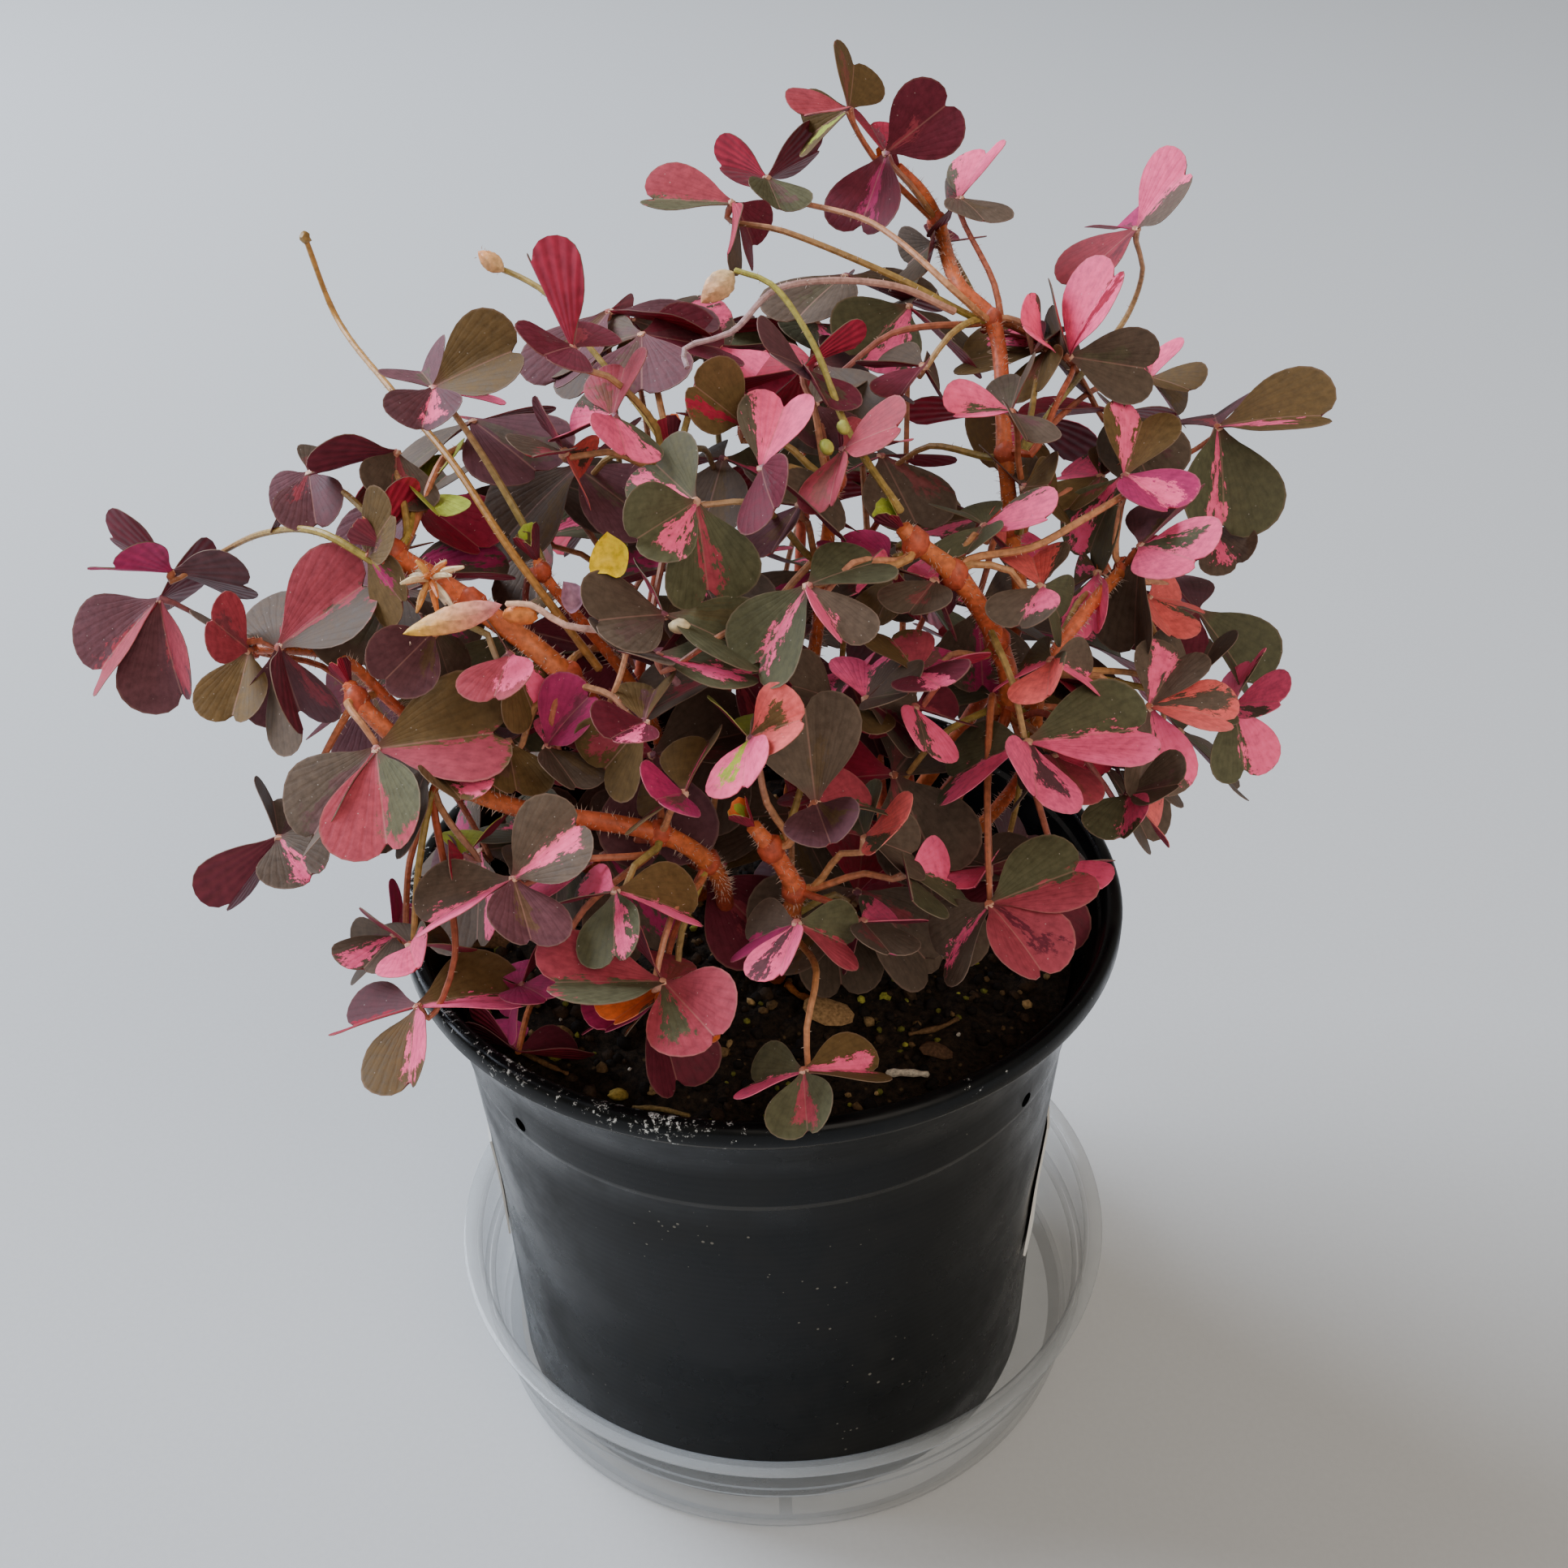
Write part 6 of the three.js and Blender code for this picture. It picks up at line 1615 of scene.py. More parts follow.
@dataclass
class PottingMix:
    """Peat mix with loose grains, moss and dry litter on top."""

    edge_radius: float = 52.5
    edge_top: float = 89.5
    crown: float = 91.3
    inside: tuple[tuple[float, float], ...] = ((48.2, 45.0), (46.8, 5.3))
    rough: float = 0.28
    edge_rough: float = 0.05
    rings: int = 46
    segments: int = 150
    grains: int = 950
    seed: int = 7
    # height, frequency, direction and phase of each wave in the surface
    waves: tuple[tuple[float, ...], ...] = (
        (0.7, 0.21, 0.8, 0.6, 0.4), (0.55, 0.33, -0.5, 0.87, 2.1), (0.4, 0.62, 0.96, -0.3, 4.0),
        (0.3, 1.1, 0.2, 0.98, 1.2), (0.22, 1.9, -0.8, 0.6, 3.3))
    # colour, smallest and largest radius and share of each kind of grain
    kinds: tuple[tuple[str, float, float, float], ...] = (
        ("#1b1511", 0.6, 1.5, 0.42), ("#3b2c1f", 0.6, 1.6, 0.2), ("#6e5638", 0.5, 1.3, 0.13),
        ("#a98a5c", 0.5, 1.1, 0.09), ("#6f6f2c", 0.4, 0.9, 0.14), ("#9a973c", 0.35, 0.8, 0.08),
        ("#cfc9ba", 0.35, 0.6, 0.03))
    pebbles: tuple[tuple[tuple[float, float], float, str], ...] = (
        ((595, 1248), 1.5, "#9a7c50"), ((626, 1270), 1.7, "#a3845a"), ((690, 1281), 1.9, "#8f744c"),
        ((683, 1301), 1.4, "#a99a3e"), ((762, 1352), 1.5, "#b49a4a"), ((1092, 1232), 1.2, "#8d8d35"))
    twigs: tuple[tuple, ...] = (
        ((1093, 1328), (1143, 1331), 0.55, "#d9cfba"), ((970, 1218), (1003, 1238), 0.6, "#b06a35"),
        ((640, 1300), (700, 1330), 0.4, "#7c5a38"), ((1120, 1280), (1180, 1262), 0.4, "#6d5236"),
        ((780, 1370), (850, 1382), 0.35, "#8b7448"))
    dried_leaves: tuple[tuple[tuple[float, float], float, str], ...] = (
        ((590, 1160), 4.5, "#7a5a3c"), ((1021, 1254), 4.2, "#a5835a"), ((1152, 1302), 2.6, "#5c4330"))

    def height(self, x: Array, y: Array) -> Array:
        """Works out the surface, a low crown with crumbs and hollows.

        Args:
            x: places to the right, in mm.
            y: places to the rear, in mm.

        Returns:
            The heights in mm.
        """
        reach = np.hypot(x, y) / self.edge_radius
        bumps = sum(a * np.sin(x * f * c + y * f * s + p) for a, f, c, s, p in self.waves)
        return mix(self.crown, self.edge_top, reach**2) + bumps * (1.15 - reach**4)

    def build(self, finishes: Finishes) -> None:
        """Builds the mix and what lies on it.

        Args:
            finishes: the shared materials.
        """
        rng = np.random.default_rng(self.seed)
        body = Body()
        angles = np.arange(self.segments) * 2 * math.pi / self.segments
        rows = []
        for i in range(1, self.rings + 1):
            ring = circle(self.edge_radius * i / self.rings, 0.0, angles)
            rough = rng.normal(size=self.segments) * (self.rough if i < self.rings else self.edge_rough)
            ring[:, 2] = self.height(*ring[:, :2].T) + rough
            rows.append(ring)
        rows += [circle(radius, height, angles) for radius, height in self.inside]
        points = np.concatenate([*rows, [[0, 0, self.crown], [0, 0, self.inside[-1][1]]]])
        faces = [face[::-1] for face in ring_faces(len(rows), self.segments)]
        body.add(points, faces, 0, grain_colour=vec(0, 0, 0, 1))
        self.scatter(body, rng)
        self.litter(body, rng)
        body.piece("potting_mix", [Peat().build(), finishes.grains], "potting_mix", ["soil"], crease=70)

    def scatter(self, body: Body, rng: np.random.Generator) -> None:
        """Scatters grains, most of them small dark crumbs, some clay, bark and moss.

        Args:
            body: the piece that they belong to.
            rng: what they are drawn with.
        """
        chances = np.array([kind[3] for kind in self.kinds])
        for _ in range(self.grains):
            code, small, large, _ = self.kinds[rng.choice(len(chances), p=chances / chances.sum())]
            angle, reach = rng.uniform(0, 2 * math.pi), (self.edge_radius - 1.4) * math.sqrt(rng.random())
            x, y = reach * math.cos(angle), reach * math.sin(angle)
            size = rng.uniform(small, large)
            z = float(self.height(np.array(x), np.array(y))) + size * 0.25
            body.blob(vec(x, y, z), vec(1, rng.uniform(0.6, 1), rng.uniform(0.5, 0.9)) * size, rng, 0.13, 1,
                      grain_colour=linear(code) * rng.uniform(0.7, 1.3))
        for pixel, size, code in self.pebbles:
            spot = self.on_soil(pixel)
            body.blob(spot + vec(0, 0, size * 0.4), vec(1.25, 0.9, 0.7) * size, rng, 0.1, 1, detail=2,
                      grain_colour=linear(code))

    def on_soil(self, pixel: tuple[float, float], height: float = 90.6) -> Array:
        """Returns the point of the mix that a pixel shows."""
        line = VIEW.sight_line(pixel)
        return VIEW.eye + line * (height - VIEW.eye[2]) / line[2]

    def litter(self, body: Body, rng: np.random.Generator) -> None:
        """Lays the pale twig, dried leaves and short dry stalks on the mix.

        Args:
            body: the piece that they belong to.
            rng: what their bends are drawn with.
        """
        for a, b, radius, code in self.twigs:
            ends = [self.on_soil(a) + vec(0, 0, 1.0), self.on_soil(b) + vec(0, 0, 1.2)]
            way = smooth_way([ends[0], mix(*ends, 0.5) + rng.normal(size=3) * 0.5, ends[1]], 1.0)
            body.tube(way, radius * (1 + 0.2 * rng.normal(size=len(way))), 7, 1, grain_colour=linear(code))
        for pixel, size, code in self.dried_leaves:
            centre = self.on_soil(pixel) + vec(0, 0, 1.4)
            body.blob(centre, vec(size, size * 0.6, 0.55), rng, 0.12, 1, axis=vec(0.2, -0.3, 1), detail=2,
                      grain_colour=linear(code))


# Plant

# Half of a leaflet's outline, from the hub to the notch, as shares of its length.
HEART = ((0, 0.03), (0.14, 0.14), (0.33, 0.37), (0.54, 0.55), (0.78, 0.62), (0.98, 0.55), (1.1, 0.39),
         (1.13, 0.21), (1.08, 0.08), (0.99, 0.012))


@dataclass
class LeafCluster:
    """The leaves that grow from one shoot node, with their stalks and the node's collar."""

    name: str
    layout: Layout
    leaves: list[Leaf]
    at: Array
    stem_radius: float
    foot: Array | None = None
    seed: int = 1
    blade: float = 0.3
    cup: tuple[float, float] = (0.02, 0.16)  # these three as shares of a leaflet's length
    droop: tuple[float, float] = (-0.03, 0.14)
    ripple: tuple[float, float] = (0.004, 0.016)
    rows: int = 15
    columns: int = 6
    skin: str = "#b9553a"
    joint: str = "#cf9f86"
    stalk_codes: tuple[str, ...] = ("#b8864f", "#c98f62", "#a09040", "#a5492b", "#b5683f", "#8f8a45")
    neck_codes: tuple[str, ...] = ("#b06a62", "#8a5560", "#c08a70", "#a5614a")
    body: Body = field(default_factory=Body)

    def build(self, finishes: Finishes) -> None:
        """Builds the cluster as one piece.

        Args:
            finishes: the shared materials.
        """
        rng = np.random.default_rng(self.seed)
        skin = linear(self.skin)
        for leaf in self.leaves:
            for leaflet in leaf.leaflets:
                self.leaflet(leaf.hub, leaflet, rng)
            self.stalk(leaf, rng)
        body = self.body
        collar = self.stem_radius + vec(0.5, 0.5, 0.9)
        body.blob(self.at, collar, rng, 0.05, STALK, axis=UP, detail=2, stalk_colour=skin)
        if self.foot is not None:
            bend = mix(self.at, self.foot, 0.5) + rng.normal(size=3) * 2.0
            way = smooth_way([self.at, bend, self.foot], 3.0)
            body.tube(way, mix(0.95, 1.15, np.linspace(0, 1, len(way))), 10, STALK, stalk_colour=skin)
            body.hairs(way, np.full(len(way), 1.0), 40, 0.8, HAIR, rng)
        body.piece(f"oxalis_{self.name}", finishes.plant(), "leaf", [self.name])

    def leaflet(self, hub: Array, leaflet: Leaflet, rng: np.random.Generator, plain: bool = False) -> None:
        """Adds one folded, notched leaflet as a thin closed blade.

        Args:
            hub: where it starts.
            leaflet: its place, fold and tint.
            rng: what its small differences are drawn with.
            plain: whether it is a young one with no droop.
        """
        rows, columns, length = self.rows, self.columns, leaflet.length
        across = np.cross(leaflet.normal, leaflet.midrib)
        # vertices in rows from the hub to the notch, and in columns from margin to margin
        outline = smooth_way([vec(a, o, 0) for a, o in HEART], 0.02)
        run = np.concatenate([[0], np.cumsum(np.linalg.norm(np.diff(outline, axis=0), axis=1))])
        at = np.linspace(0, run[-1], rows + 1)
        lobe_along = np.interp(at, run, outline[:, 0])
        lobe_out = np.interp(at, run, outline[:, 1]) * rng.uniform(0.92, 1.06)
        rib_along = np.linspace(0, outline[-1, 0], rows + 1)
        share = np.linspace(-1, 1, 2 * columns + 1)
        out_share = np.sign(share) * np.abs(share) ** 0.9
        along = rib_along[:, None] + (lobe_along - rib_along)[:, None] * np.abs(out_share)[None, :]
        out = lobe_out[:, None] * out_share[None, :]
        cup, droop = (0.0, 0.0) if plain else (rng.uniform(*self.cup), rng.uniform(*self.droop))
        ripple, phase = rng.uniform(*self.ripple), rng.uniform(0, 6.3)
        crease = np.sqrt(out**2 + 0.04**2) - 0.04  # a fold with a slightly rounded bottom
        rise = crease * math.sin(leaflet.fold) - cup * out**2 * 1.6 - droop * along**2
        rise += ripple * np.sin(along * 9 + np.sign(out) * 2 + phase) * np.abs(share)[None, :] ** 2
        fold_cos = math.cos(leaflet.fold)
        top = hub + (along * length)[..., None] * leaflet.midrib
        top = top + (out * fold_cos * length)[..., None] * across
        top = (top + (rise * length)[..., None] * leaflet.normal).reshape(-1, 3)
        thick = self.blade * (1 - 0.55 * np.abs(share) ** 3)
        below = top - (np.tile(thick, rows + 1))[:, None] * leaflet.normal
        wide = 2 * columns + 1
        size = (rows + 1) * wide
        faces, slots = [], []
        for i in range(rows):
            for k in range(wide - 1):
                a, b, c, d = i * wide + k, i * wide + k + 1, (i + 1) * wide + k + 1, (i + 1) * wide + k
                faces += [(a, d, c, b), (size + a, size + b, size + c, size + d)]
                slots += [UPPER, UNDER]
        loop = [*range(wide), *(i * wide + wide - 1 for i in range(1, rows + 1))]
        loop += [*range(size - 2, rows * wide - 1, -1), *(i * wide for i in range(rows - 1, 0, -1))]
        for a, b in zip(loop, loop[1:] + loop[:1]):
            faces.append((a, b, size + b, size + a))
            slots.append(UPPER)
        # the half that lies lower or to the right in the picture
        lower = 1.0 if across @ (VIEW.right - VIEW.up) > 0 else -1.0
        seen_below = leaflet.shown < 0
        flame = Flame.read("D" if seen_below else leaflet.tint, lower, rng)
        if seen_below:
            under = TINTS[leaflet.tint[0]].colour * rng.uniform(0.85, 1.15)
        else:
            under = mix(Tint.BURGUNDY.colour, Tint.CRIMSON.colour, rng.random() ** 1.5)
            under = under * rng.uniform(0.8, 1.2)
        seed = rng.uniform(0, 90)
        place = np.stack([along.ravel(), out.ravel(), np.full(size, seed)], 1)
        edge = np.tile(np.stack([np.abs(share), 0 * share, 0 * share], 1), (rows + 1, 1))
        glow = rng.uniform(0.85, 1.15)
        self.body.add(
            np.concatenate([top, below]), faces, slots,
            leaf_place=np.tile(place, (2, 1)), leaf_edge=np.tile(edge, (2, 1)),
            leaf_base=flame.base * glow, leaf_patch=flame.patch * glow, leaf_below=under,
            leaf_sector=vec(flame.low, flame.high, flame.reach),
        )

    def stalk(self, leaf: Leaf, rng: np.random.Generator) -> None:
        """Adds a leaf's stalk, its swollen cream joint at the hub and a few hairs.

        Args:
            leaf: the leaf.
            rng: what its colours and hairs are drawn with.
        """
        points = self.layout.route(leaf)
        if self.foot is None:
            points.append(mix(points[-1], self.at, 0.7))
        way = smooth_way(points, 2.2)
        share = np.linspace(0, 1, len(way))
        radii = mix(0.4, 0.62, share) + 0.3 * np.exp(-(share * len(way) / 1.6) ** 2)
        base = linear(self.stalk_codes[rng.integers(len(self.stalk_codes))])
        tip = linear(self.neck_codes[rng.integers(len(self.neck_codes))])
        colours = mix(tip, base, (share**0.7)[:, None])
        self.body.tube(way, radii, 8, STALK, stalk_colour=colours)
        self.body.blob(leaf.hub - leaf.axis * 0.25, vec(0.85, 0.85, 0.6), rng, 0.05, STALK, axis=leaf.axis,
                       stalk_colour=linear(self.joint))
        self.body.hairs(way, radii, int(len(way) * 1.5), 0.55, HAIR, rng)


@dataclass
class Stem:
    """A fleshy orange-red stem with swollen nodes, hairs and a growing tip of young leaves."""

    name: str
    layout: Layout
    seed: int
    hair_per_mm: float = 9.0
    hair_length: float = 0.95
    swelling: float = 0.2  # at each shoot node
    tones: tuple[str, str, str] = ("#dc7048", "#b54b33", "#c96e40")

    def build(self, finishes: Finishes) -> None:
        """Builds the stem as one piece.

        Args:
            finishes: the shared materials.
        """
        rng = np.random.default_rng(self.seed)
        radius, way_entries, _ = STEMS[self.name]
        points = self.layout.stem_points(self.name)
        spacing = 1.6
        way = smooth_way(points, spacing)
        radii = radius * np.interp(np.arange(len(way)), [0, 6, len(way)], [0.72, 0.92, 1.05])
        for entry in way_entries:
            if isinstance(entry, str):
                off = np.linalg.norm(way - self.layout.way_point(entry), axis=1)
                radii = radii + self.swelling * np.exp(-(off / 1.8) ** 2)
        radii = radii * (1 + 0.015 * rng.normal(size=len(way)))
        tip_tone, foot_tone, band = (linear(code) for code in self.tones)
        share = np.linspace(0, 1, len(way))[:, None]
        colours = mix(mix(tip_tone, foot_tone, share), band, 0.5 + 0.5 * np.sin(share * 17 + self.seed))
        body = Body()
        body.tube(way, radii, 12, STALK, stalk_colour=colours)
        visible = int(len(way) * 0.75)
        count = int(self.hair_per_mm * visible * spacing)
        body.hairs(way[:visible], radii[:visible], count, self.hair_length, HAIR, rng)
        tip = LeafCluster(self.name, self.layout, [], way[0], radius, body=body, rows=7, columns=3)
        out = unit(way[0] - way[3])
        for i in range(3):
            turn = turned(unit(np.cross(out, vec(0.2, 0.9, 0.3))), out, i * 2.1 + self.seed)
            midrib = unit(out + turn * 0.55)
            normal = unit(turn - midrib * (turn @ midrib)) * -1
            length, tint = rng.uniform(3.2, 5.0), ("L", "O", "LO", "ZL")[rng.integers(4)]
            young = Leaflet(midrib, normal, length, math.radians(58), tint, 1.0)
            tip.leaflet(way[0] - out * 0.3, young, rng, plain=True)
        body.piece(f"oxalis_{self.name}", finishes.plant(), "stem", [self.name])


@dataclass
class BareStalk:
    """A thin old flower stalk with no leaves."""

    name: str
    codes: tuple[str, str]
    seed: int

    def build(self, finishes: Finishes) -> None:
        """Builds the stalk as one piece.

        Args:
            finishes: the shared materials.
        """
        rng = np.random.default_rng(self.seed)
        radius, spots = STALKS[self.name]
        way = smooth_way([VIEW.place(spot) for spot in spots], 1.8)
        share = np.linspace(0, 1, len(way))
        radii = radius * mix(0.8, 1.15, share) * (1 + 0.04 * rng.normal(size=len(way)))
        colours = mix(*(linear(code) for code in self.codes), share[:, None])
        body = Body()
        body.tube(way, radii, 8, STALK, stalk_colour=colours)
        body.hairs(way, radii, len(way) * 2, 0.5, HAIR, rng)
        if self.name == "tall_stalk":
            body.blob(way[0], vec(0.9, 0.9, 1.1), rng, 0.1, STALK, axis=way[0] - way[2], detail=2,
                      stalk_colour=linear("#9a7a45"))
        if self.name == "wilted_stalk":
            self.seed_heads(body, rng)
        body.piece(f"oxalis_{self.name}", finishes.plant(), "bare_stalk", [self.name])

    def seed_heads(self, body: Body, rng: np.random.Generator) -> None:
        """Adds the seed capsules and spent buds that hang beside the wilted stalk.

        Args:
            body: the piece that they belong to.
            rng: what their lumps are drawn with.
        """
        for spot, end, radius, code in SEED_HEADS:
            a, b = VIEW.place(spot), VIEW.place(end)
            sizes = vec(radius, radius, np.linalg.norm(a - b) / 2 + radius * 0.5)
            body.blob((a + b) / 2, sizes, rng, 0.05, STALK, axis=b - a, detail=2, stalk_colour=linear(code))
        pale = smooth_way([VIEW.place(s) for s in ((776, 784, 5), (765, 830, 7), (749, 870, 10))], 1.5)
        body.tube(pale, 0.42, 7, STALK, stalk_colour=linear("#dca27c"))


@dataclass
class Bud:
    """A closed bud or a spent flower: furled petals, twisted together and ribbed."""

    name: str
    start: tuple[float, float, float]
    end: tuple[float, float]
    radius: float
    codes: tuple[str, str]
    slot: str
    seed: int
    stalk: tuple[tuple[float, float, float], ...] = ()
    rings: tuple[int, int] = (18, 20)  # how many, and the sides of each
    twist: float = 0.9

    def build(self, finishes: Finishes) -> None:
        """Builds the bud as one piece, with its own stalk if it has one.

        Args:
            finishes: the shared materials.
        """
        rng = np.random.default_rng(self.seed)
        a = VIEW.place(self.start)
        b = VIEW.eye + VIEW.sight_line(self.end) * (VIEW.canopy_depth(self.start) + self.start[2])
        body = Body()
        middle, along = (a + b) / 2, unit(b - a)
        half = float(np.linalg.norm(b - a)) / 2
        side = unit(np.cross(along, vec(0.2, 0.4, 0.9)))
        other = np.cross(along, side)
        rings, sides = self.rings
        tones = [linear(code) for code in self.codes]
        points, colours = [], []
        for i in range(rings):
            t = -1 + 2 * i / (rings - 1)
            size = self.radius * max(0.0, 1 - abs(t - 0.12 * (1 - t * t)) ** 1.8) ** 0.8 + 0.05
            for k in range(sides):
                turn = 2 * math.pi * k / sides + self.twist * t
                rib = 1 + 0.1 * math.cos(5 * turn) + 0.02 * rng.normal()
                out = math.cos(turn) * side + math.sin(turn) * other
                points.append(middle + along * t * half + size * rib * out)
                colours.append(mix(*tones, (t + 1) / 2))
        points += [middle - along * (half + 0.1), middle + along * (half + 0.1)]
        colours += [colours[0], colours[-1]]
        faces = ring_faces(rings, sides)
        body.add(np.array(points), faces, STALK, stalk_colour=np.array(colours))
        body.hairs(np.array([a, middle, b]), np.full(3, self.radius * 0.8), 30, 0.45, HAIR, rng)
        if self.stalk:
            way = smooth_way([VIEW.place(spot) for spot in self.stalk], 1.8)
            body.tube(way, 0.45, 8, STALK, stalk_colour=linear("#a9904f"))
            body.hairs(way, np.full(len(way), 0.45), len(way), 0.5, HAIR, rng)
        body.piece(f"oxalis_{self.name}", finishes.plant(), self.slot, [self.name])


@dataclass
class Blossom:
    """The yellow petal, the mauve one and the dried tuft at the left shoot."""

    seed: int = 31
    # each petal's outline in pixels, its depth and its colour
    petals: tuple[tuple, ...] = (
        (((748, 655), (773, 675), (769, 707), (759, 712), (748, 707), (727, 705), (728, 684), (735, 669)),
         -1.5, "#f2cf1d"),
        (((827, 615), (845, 619), (843, 631), (829, 632)), 1.0, "#d9cf3a"),
        (((694, 716), (715, 722), (717, 745), (704, 756), (692, 742)), 1.0, "#b98aa0"),
    )

    def petal(self, body: Body, outline: Sequence[tuple[float, float]], depth: float, code: str) -> None:
        """Adds a thin, gently cupped petal with the outline of its pixels.

        Args:
            body: the piece that it belongs to.
            outline: (column, row) points round it.
            depth: how far behind the canopy's front it lies.
            code: its colour.
        """
        ring = [VIEW.place((c, r, depth)) for c, r in outline]
        ring = [VIEW.eye + unit(p - VIEW.eye) * np.linalg.norm(ring[0] - VIEW.eye) for p in ring]
        loop = smooth_way([*ring, ring[0]], 0.6)[:-1]
        middle = loop.mean(axis=0)
        back = unit(middle - VIEW.eye)
        steps, count = 5, len(loop)
        rows = []
        for i in range(1, steps + 1):
            share = i / steps
            wave = 0.25 * np.sin(np.arange(count) * 6 * math.pi / count) * share**2
            rows.append(middle + (loop - middle) * share + back * ((1 - share**2) * 1.2 + wave[:, None]))
        top = np.concatenate([*rows, [middle + back * 1.2]])
        points = np.concatenate([top, top + back * 0.25])
        size = len(top)
        faces: list[tuple[int, ...]] = []
        for k in range(count):
            n = (k + 1) % count
            faces += [(size - 1, k, n), (2 * size - 1, size + n, size + k)]
            for i in range(steps - 1):
                a, b, c, d = i * count + k, (i + 1) * count + k, (i + 1) * count + n, i * count + n
                faces += [(a, b, c, d), (size + d, size + c, size + b, size + a)]
            edge = (steps - 1) * count
            faces.append((edge + k, size + edge + k, size + edge + n, edge + n))
        body.add(points, faces, STALK, stalk_colour=linear(code))

    def build(self, finishes: Finishes) -> None:
        """Builds the loose flower parts as one piece.

        Args:
            finishes: the shared materials.
        """
        rng = np.random.default_rng(self.seed)
        body = Body()
        for outline, depth, code in self.petals:
            self.petal(body, outline, depth, code)
        tuft = VIEW.place((530, 714, 2))
        for _ in range(16):
            way_out = unit(rng.normal(size=3) + vec(0, -0.3, 0.4))
            length = rng.uniform(2.5, 6.0)
            end = tuft + way_out * length + vec(0, 0, -0.8)
            way = smooth_way([tuft, tuft + way_out * length * 0.5, end], 0.8)
            tone = ("#e6cfa5", "#d79a55", "#c9743c", "#efe3c8")[rng.integers(4)]
            radii = 0.42 * np.sin(np.linspace(0.5, 2.9, len(way))) + 0.1
            body.tube(way, radii, 6, STALK, stalk_colour=linear(tone))
            body.hairs(way, radii, 6, 0.6, HAIR, rng)
        body.piece("oxalis_blossom", finishes.plant(), "wilted_flower")


@dataclass
class FallenLeaf:
    """The low leaf that lies over the rim's front left, on a short stalk of its own."""

    layout: Layout
    hub_spot: tuple[float, float] = (638, 1294)
    hub_height: float = 96.5
    length: float = 10.5
    tips: tuple[tuple, ...] = (
        ((692, 1326), 0.3, "B"), ((600, 1262), 0.3, "M"), ((605, 1292), 0.35, "B"))
    foot_spot: tuple[float, float] = (668, 1225)
    seed: int = 41

    def build(self, finishes: Finishes) -> None:
        """Builds the leaf and its stalk.

        Args:
            finishes: the shared materials.
        """
        rng = np.random.default_rng(self.seed)
        line = VIEW.sight_line(self.hub_spot)
        hub = VIEW.eye + line * (self.hub_height - VIEW.eye[2]) / line[2]
        cluster = LeafCluster("low_front", self.layout, [], hub, 0.5)
        for pixel, shown, tint in self.tips:
            ends = self.layout.leaflet_ends(hub, pixel, self.length)
            midrib = unit(ends[1] * vec(1, 1, 0.5))
            normal = self.layout.leaflet_normal(hub, midrib, shown, UP)
            cluster.leaflet(hub, Leaflet(midrib, normal, self.length, math.radians(40), tint, shown), rng)
        foot = PottingMix().on_soil(self.foot_spot)
        way = smooth_way([hub - vec(0, 0, 0.5), mix(hub, foot, 0.5) + vec(0, 0, 2.5), foot], 1.5)
        cluster.body.tube(way, 0.5, 8, STALK, stalk_colour=linear("#b5683f"))
        cluster.body.piece("oxalis_low_leaf", finishes.plant(), "leaf")


# Studio

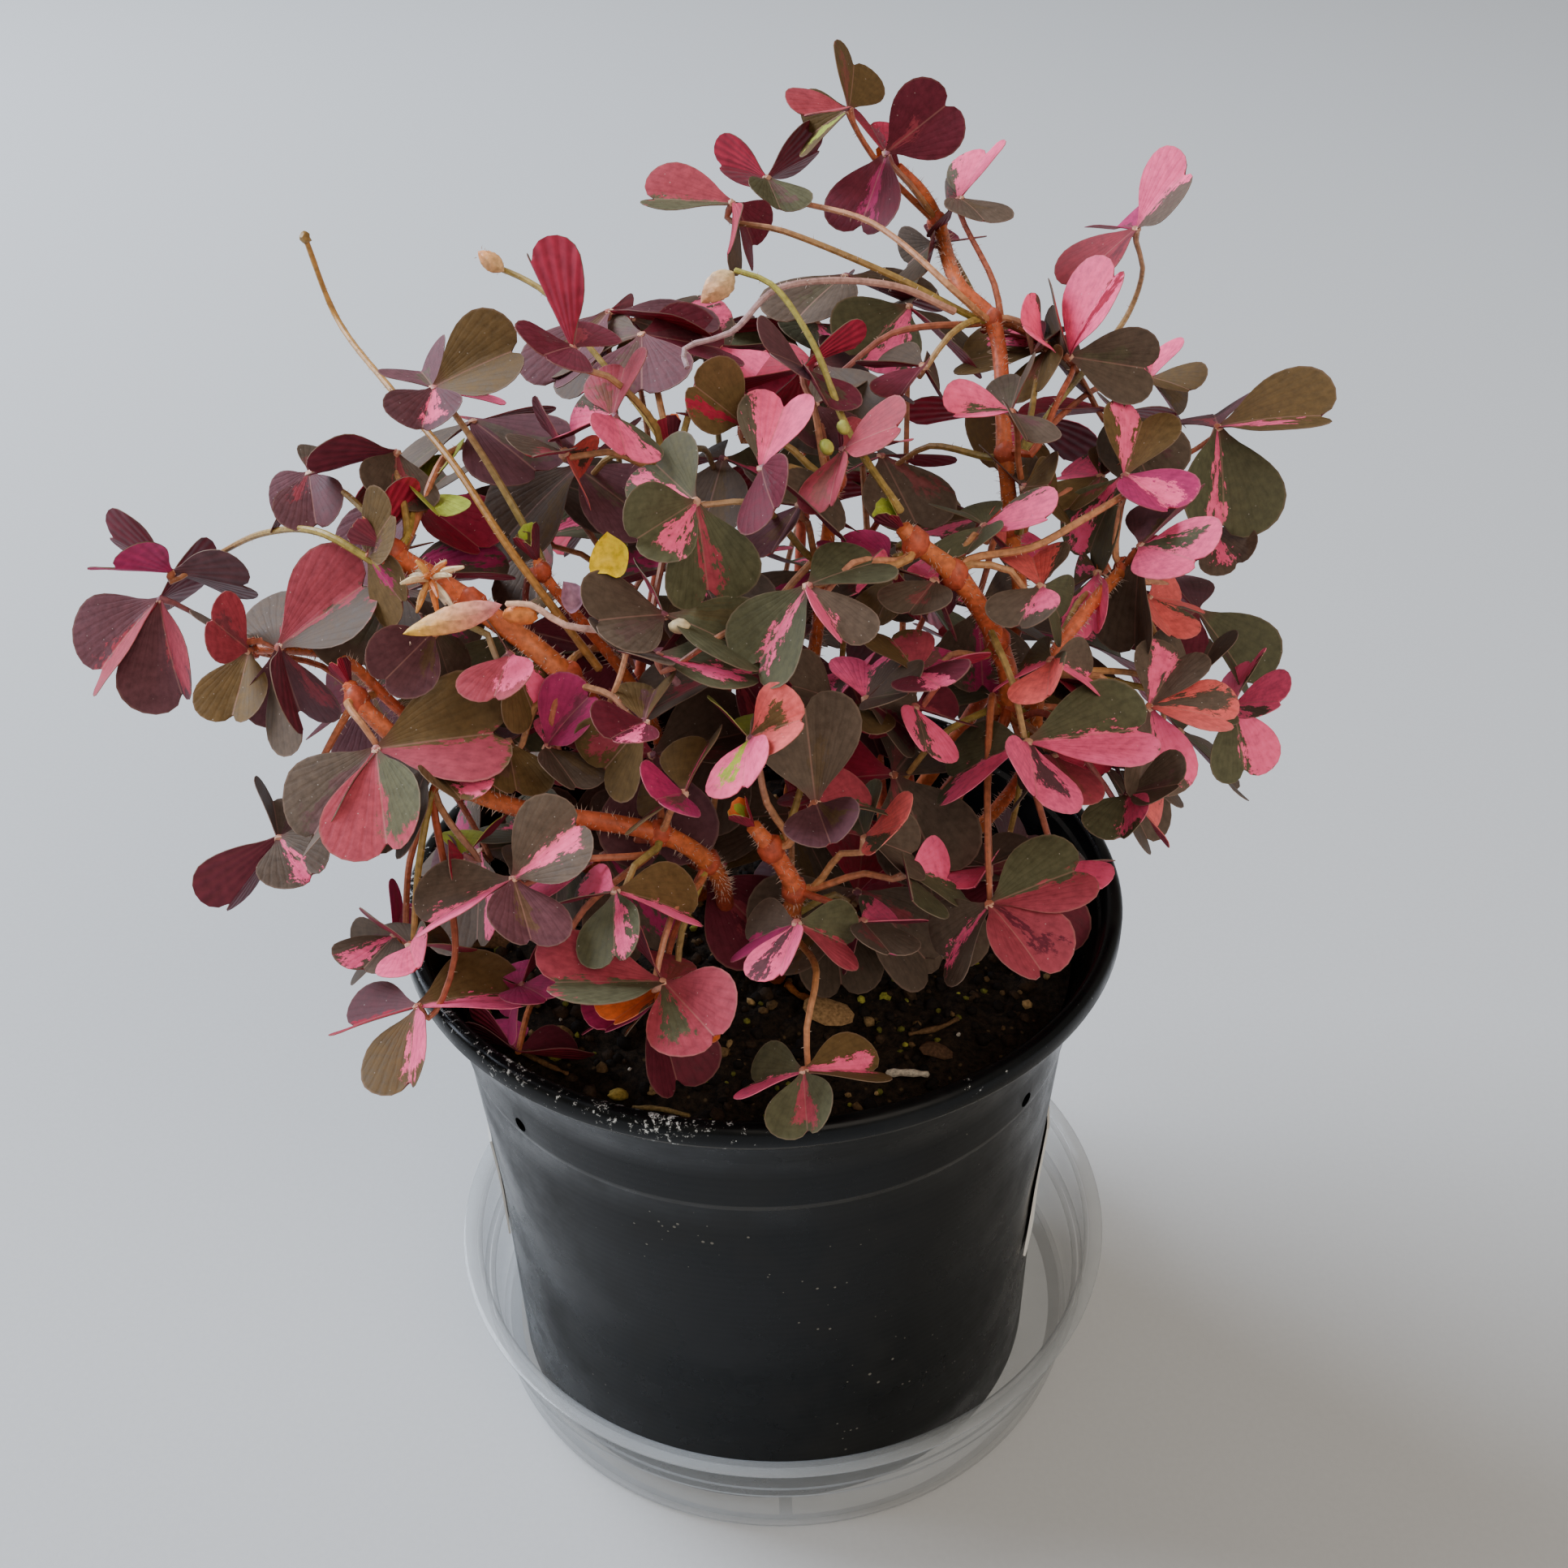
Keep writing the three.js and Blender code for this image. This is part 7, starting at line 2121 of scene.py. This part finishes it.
@dataclass
class Studio:
    """Seamless paper under the pot, and soft light from the left."""

    floor_size: float = 6.0
    sky: tuple[str, float] = ("#ece6dc", 0.46)
    lamps: tuple[tuple[str, tuple, float, float, str], ...] = (
        ("window_light", (-1.6, 0.8, 1.5), 1.5, 112.0, "#e2ecfc"),
        ("fill_light", (0.5, -1.1, 1.1), 1.2, 13.0, "#fff0e0"),
    )
    aim: tuple[float, float, float] = (0.0, 0.0, 0.1)

    def build(self) -> None:
        """Builds the floor and the lights."""
        half = self.floor_size / 2
        corners = [(-half, -half, 0), (half, -half, 0), (half, half, 0), (-half, half, 0)]
        mesh = bpy.data.meshes.new("studio_floor")
        mesh.from_pydata(corners, [], [(0, 1, 2, 3)])
        mesh.materials.append(StudioPaper().build())
        floor = bpy.data.objects.new("studio_floor", mesh)
        bpy.context.scene.collection.objects.link(floor)
        world = bpy.data.worlds.new("studio_sky")
        world.use_nodes = True
        background = world.node_tree.nodes["Background"]
        background.inputs["Color"].default_value = linear(self.sky[0])
        background.inputs["Strength"].default_value = self.sky[1]
        bpy.context.scene.world = world
        for name, place, size, power, code in self.lamps:
            data = bpy.data.lights.new(name, "AREA")
            data.size, data.energy, data.color = size, power, linear(code)[:3]
            lamp = bpy.data.objects.new(name, data)
            bpy.context.scene.collection.objects.link(lamp)
            turn = (Vector(self.aim) - Vector(place)).to_track_quat("-Z", "Y")
            lamp.matrix_world = Matrix.Translation(place) @ turn.to_matrix().to_4x4()


def main() -> None:
    """Builds the holder, the plant and the studio, and notes the sizes."""
    logging.basicConfig(level=logging.INFO, format="%(name)s %(message)s")
    VIEW.camera()
    Studio().build()
    finishes = Finishes()
    Saucer().build()
    Pot().build()
    Label().build()
    PottingMix().build(finishes)
    layout = Layout()
    for i, name in enumerate(STEMS):
        Stem(name, layout, 100 + i).build(finishes)
    for i, shoot in enumerate(layout.shoots()):
        radius = next((stem[0] for stem in STEMS.values() if shoot.name in stem[1]), 1.0)
        LeafCluster(f"leaves_{shoot.name}", layout, shoot.leaves, shoot.at, radius, shoot.foot,
                    seed=200 + i).build(finishes)
    for piece in (
        BareStalk("tall_stalk", ("#b98a4a", "#a8763c"), 401),
        BareStalk("old_stalk_right", ("#b59aa0", "#c08a72"), 402),
        BareStalk("bud_stalk", ("#a9a350", "#a5874a"), 403),
        BareStalk("wilted_stalk", ("#e0b394", "#b88a92"), 404),
        Bud("bud", (864, 373, 4), (904, 335), 1.85, ("#e2a074", "#dfc190"), "bud", 405),
        Bud("bud_small", (589, 310, -12), (621, 334), 1.35, ("#dd8a4c", "#e6c08a"), "bud", 406,
            ((616, 331, 5), (640, 341, 9), (676, 364, 13), (730, 432, 18), (790, 506, 20), (824, 558, 20))),
        Bud("wilted_flower", (497, 781, -5), (618, 745), 1.8, ("#e8b53a", "#d8848a"), "wilted_flower", 407),
    ):
        piece.build(finishes)
    Blossom().build(finishes)
    FallenLeaf(layout).build(finishes)


if __name__ == "__main__":
    main()
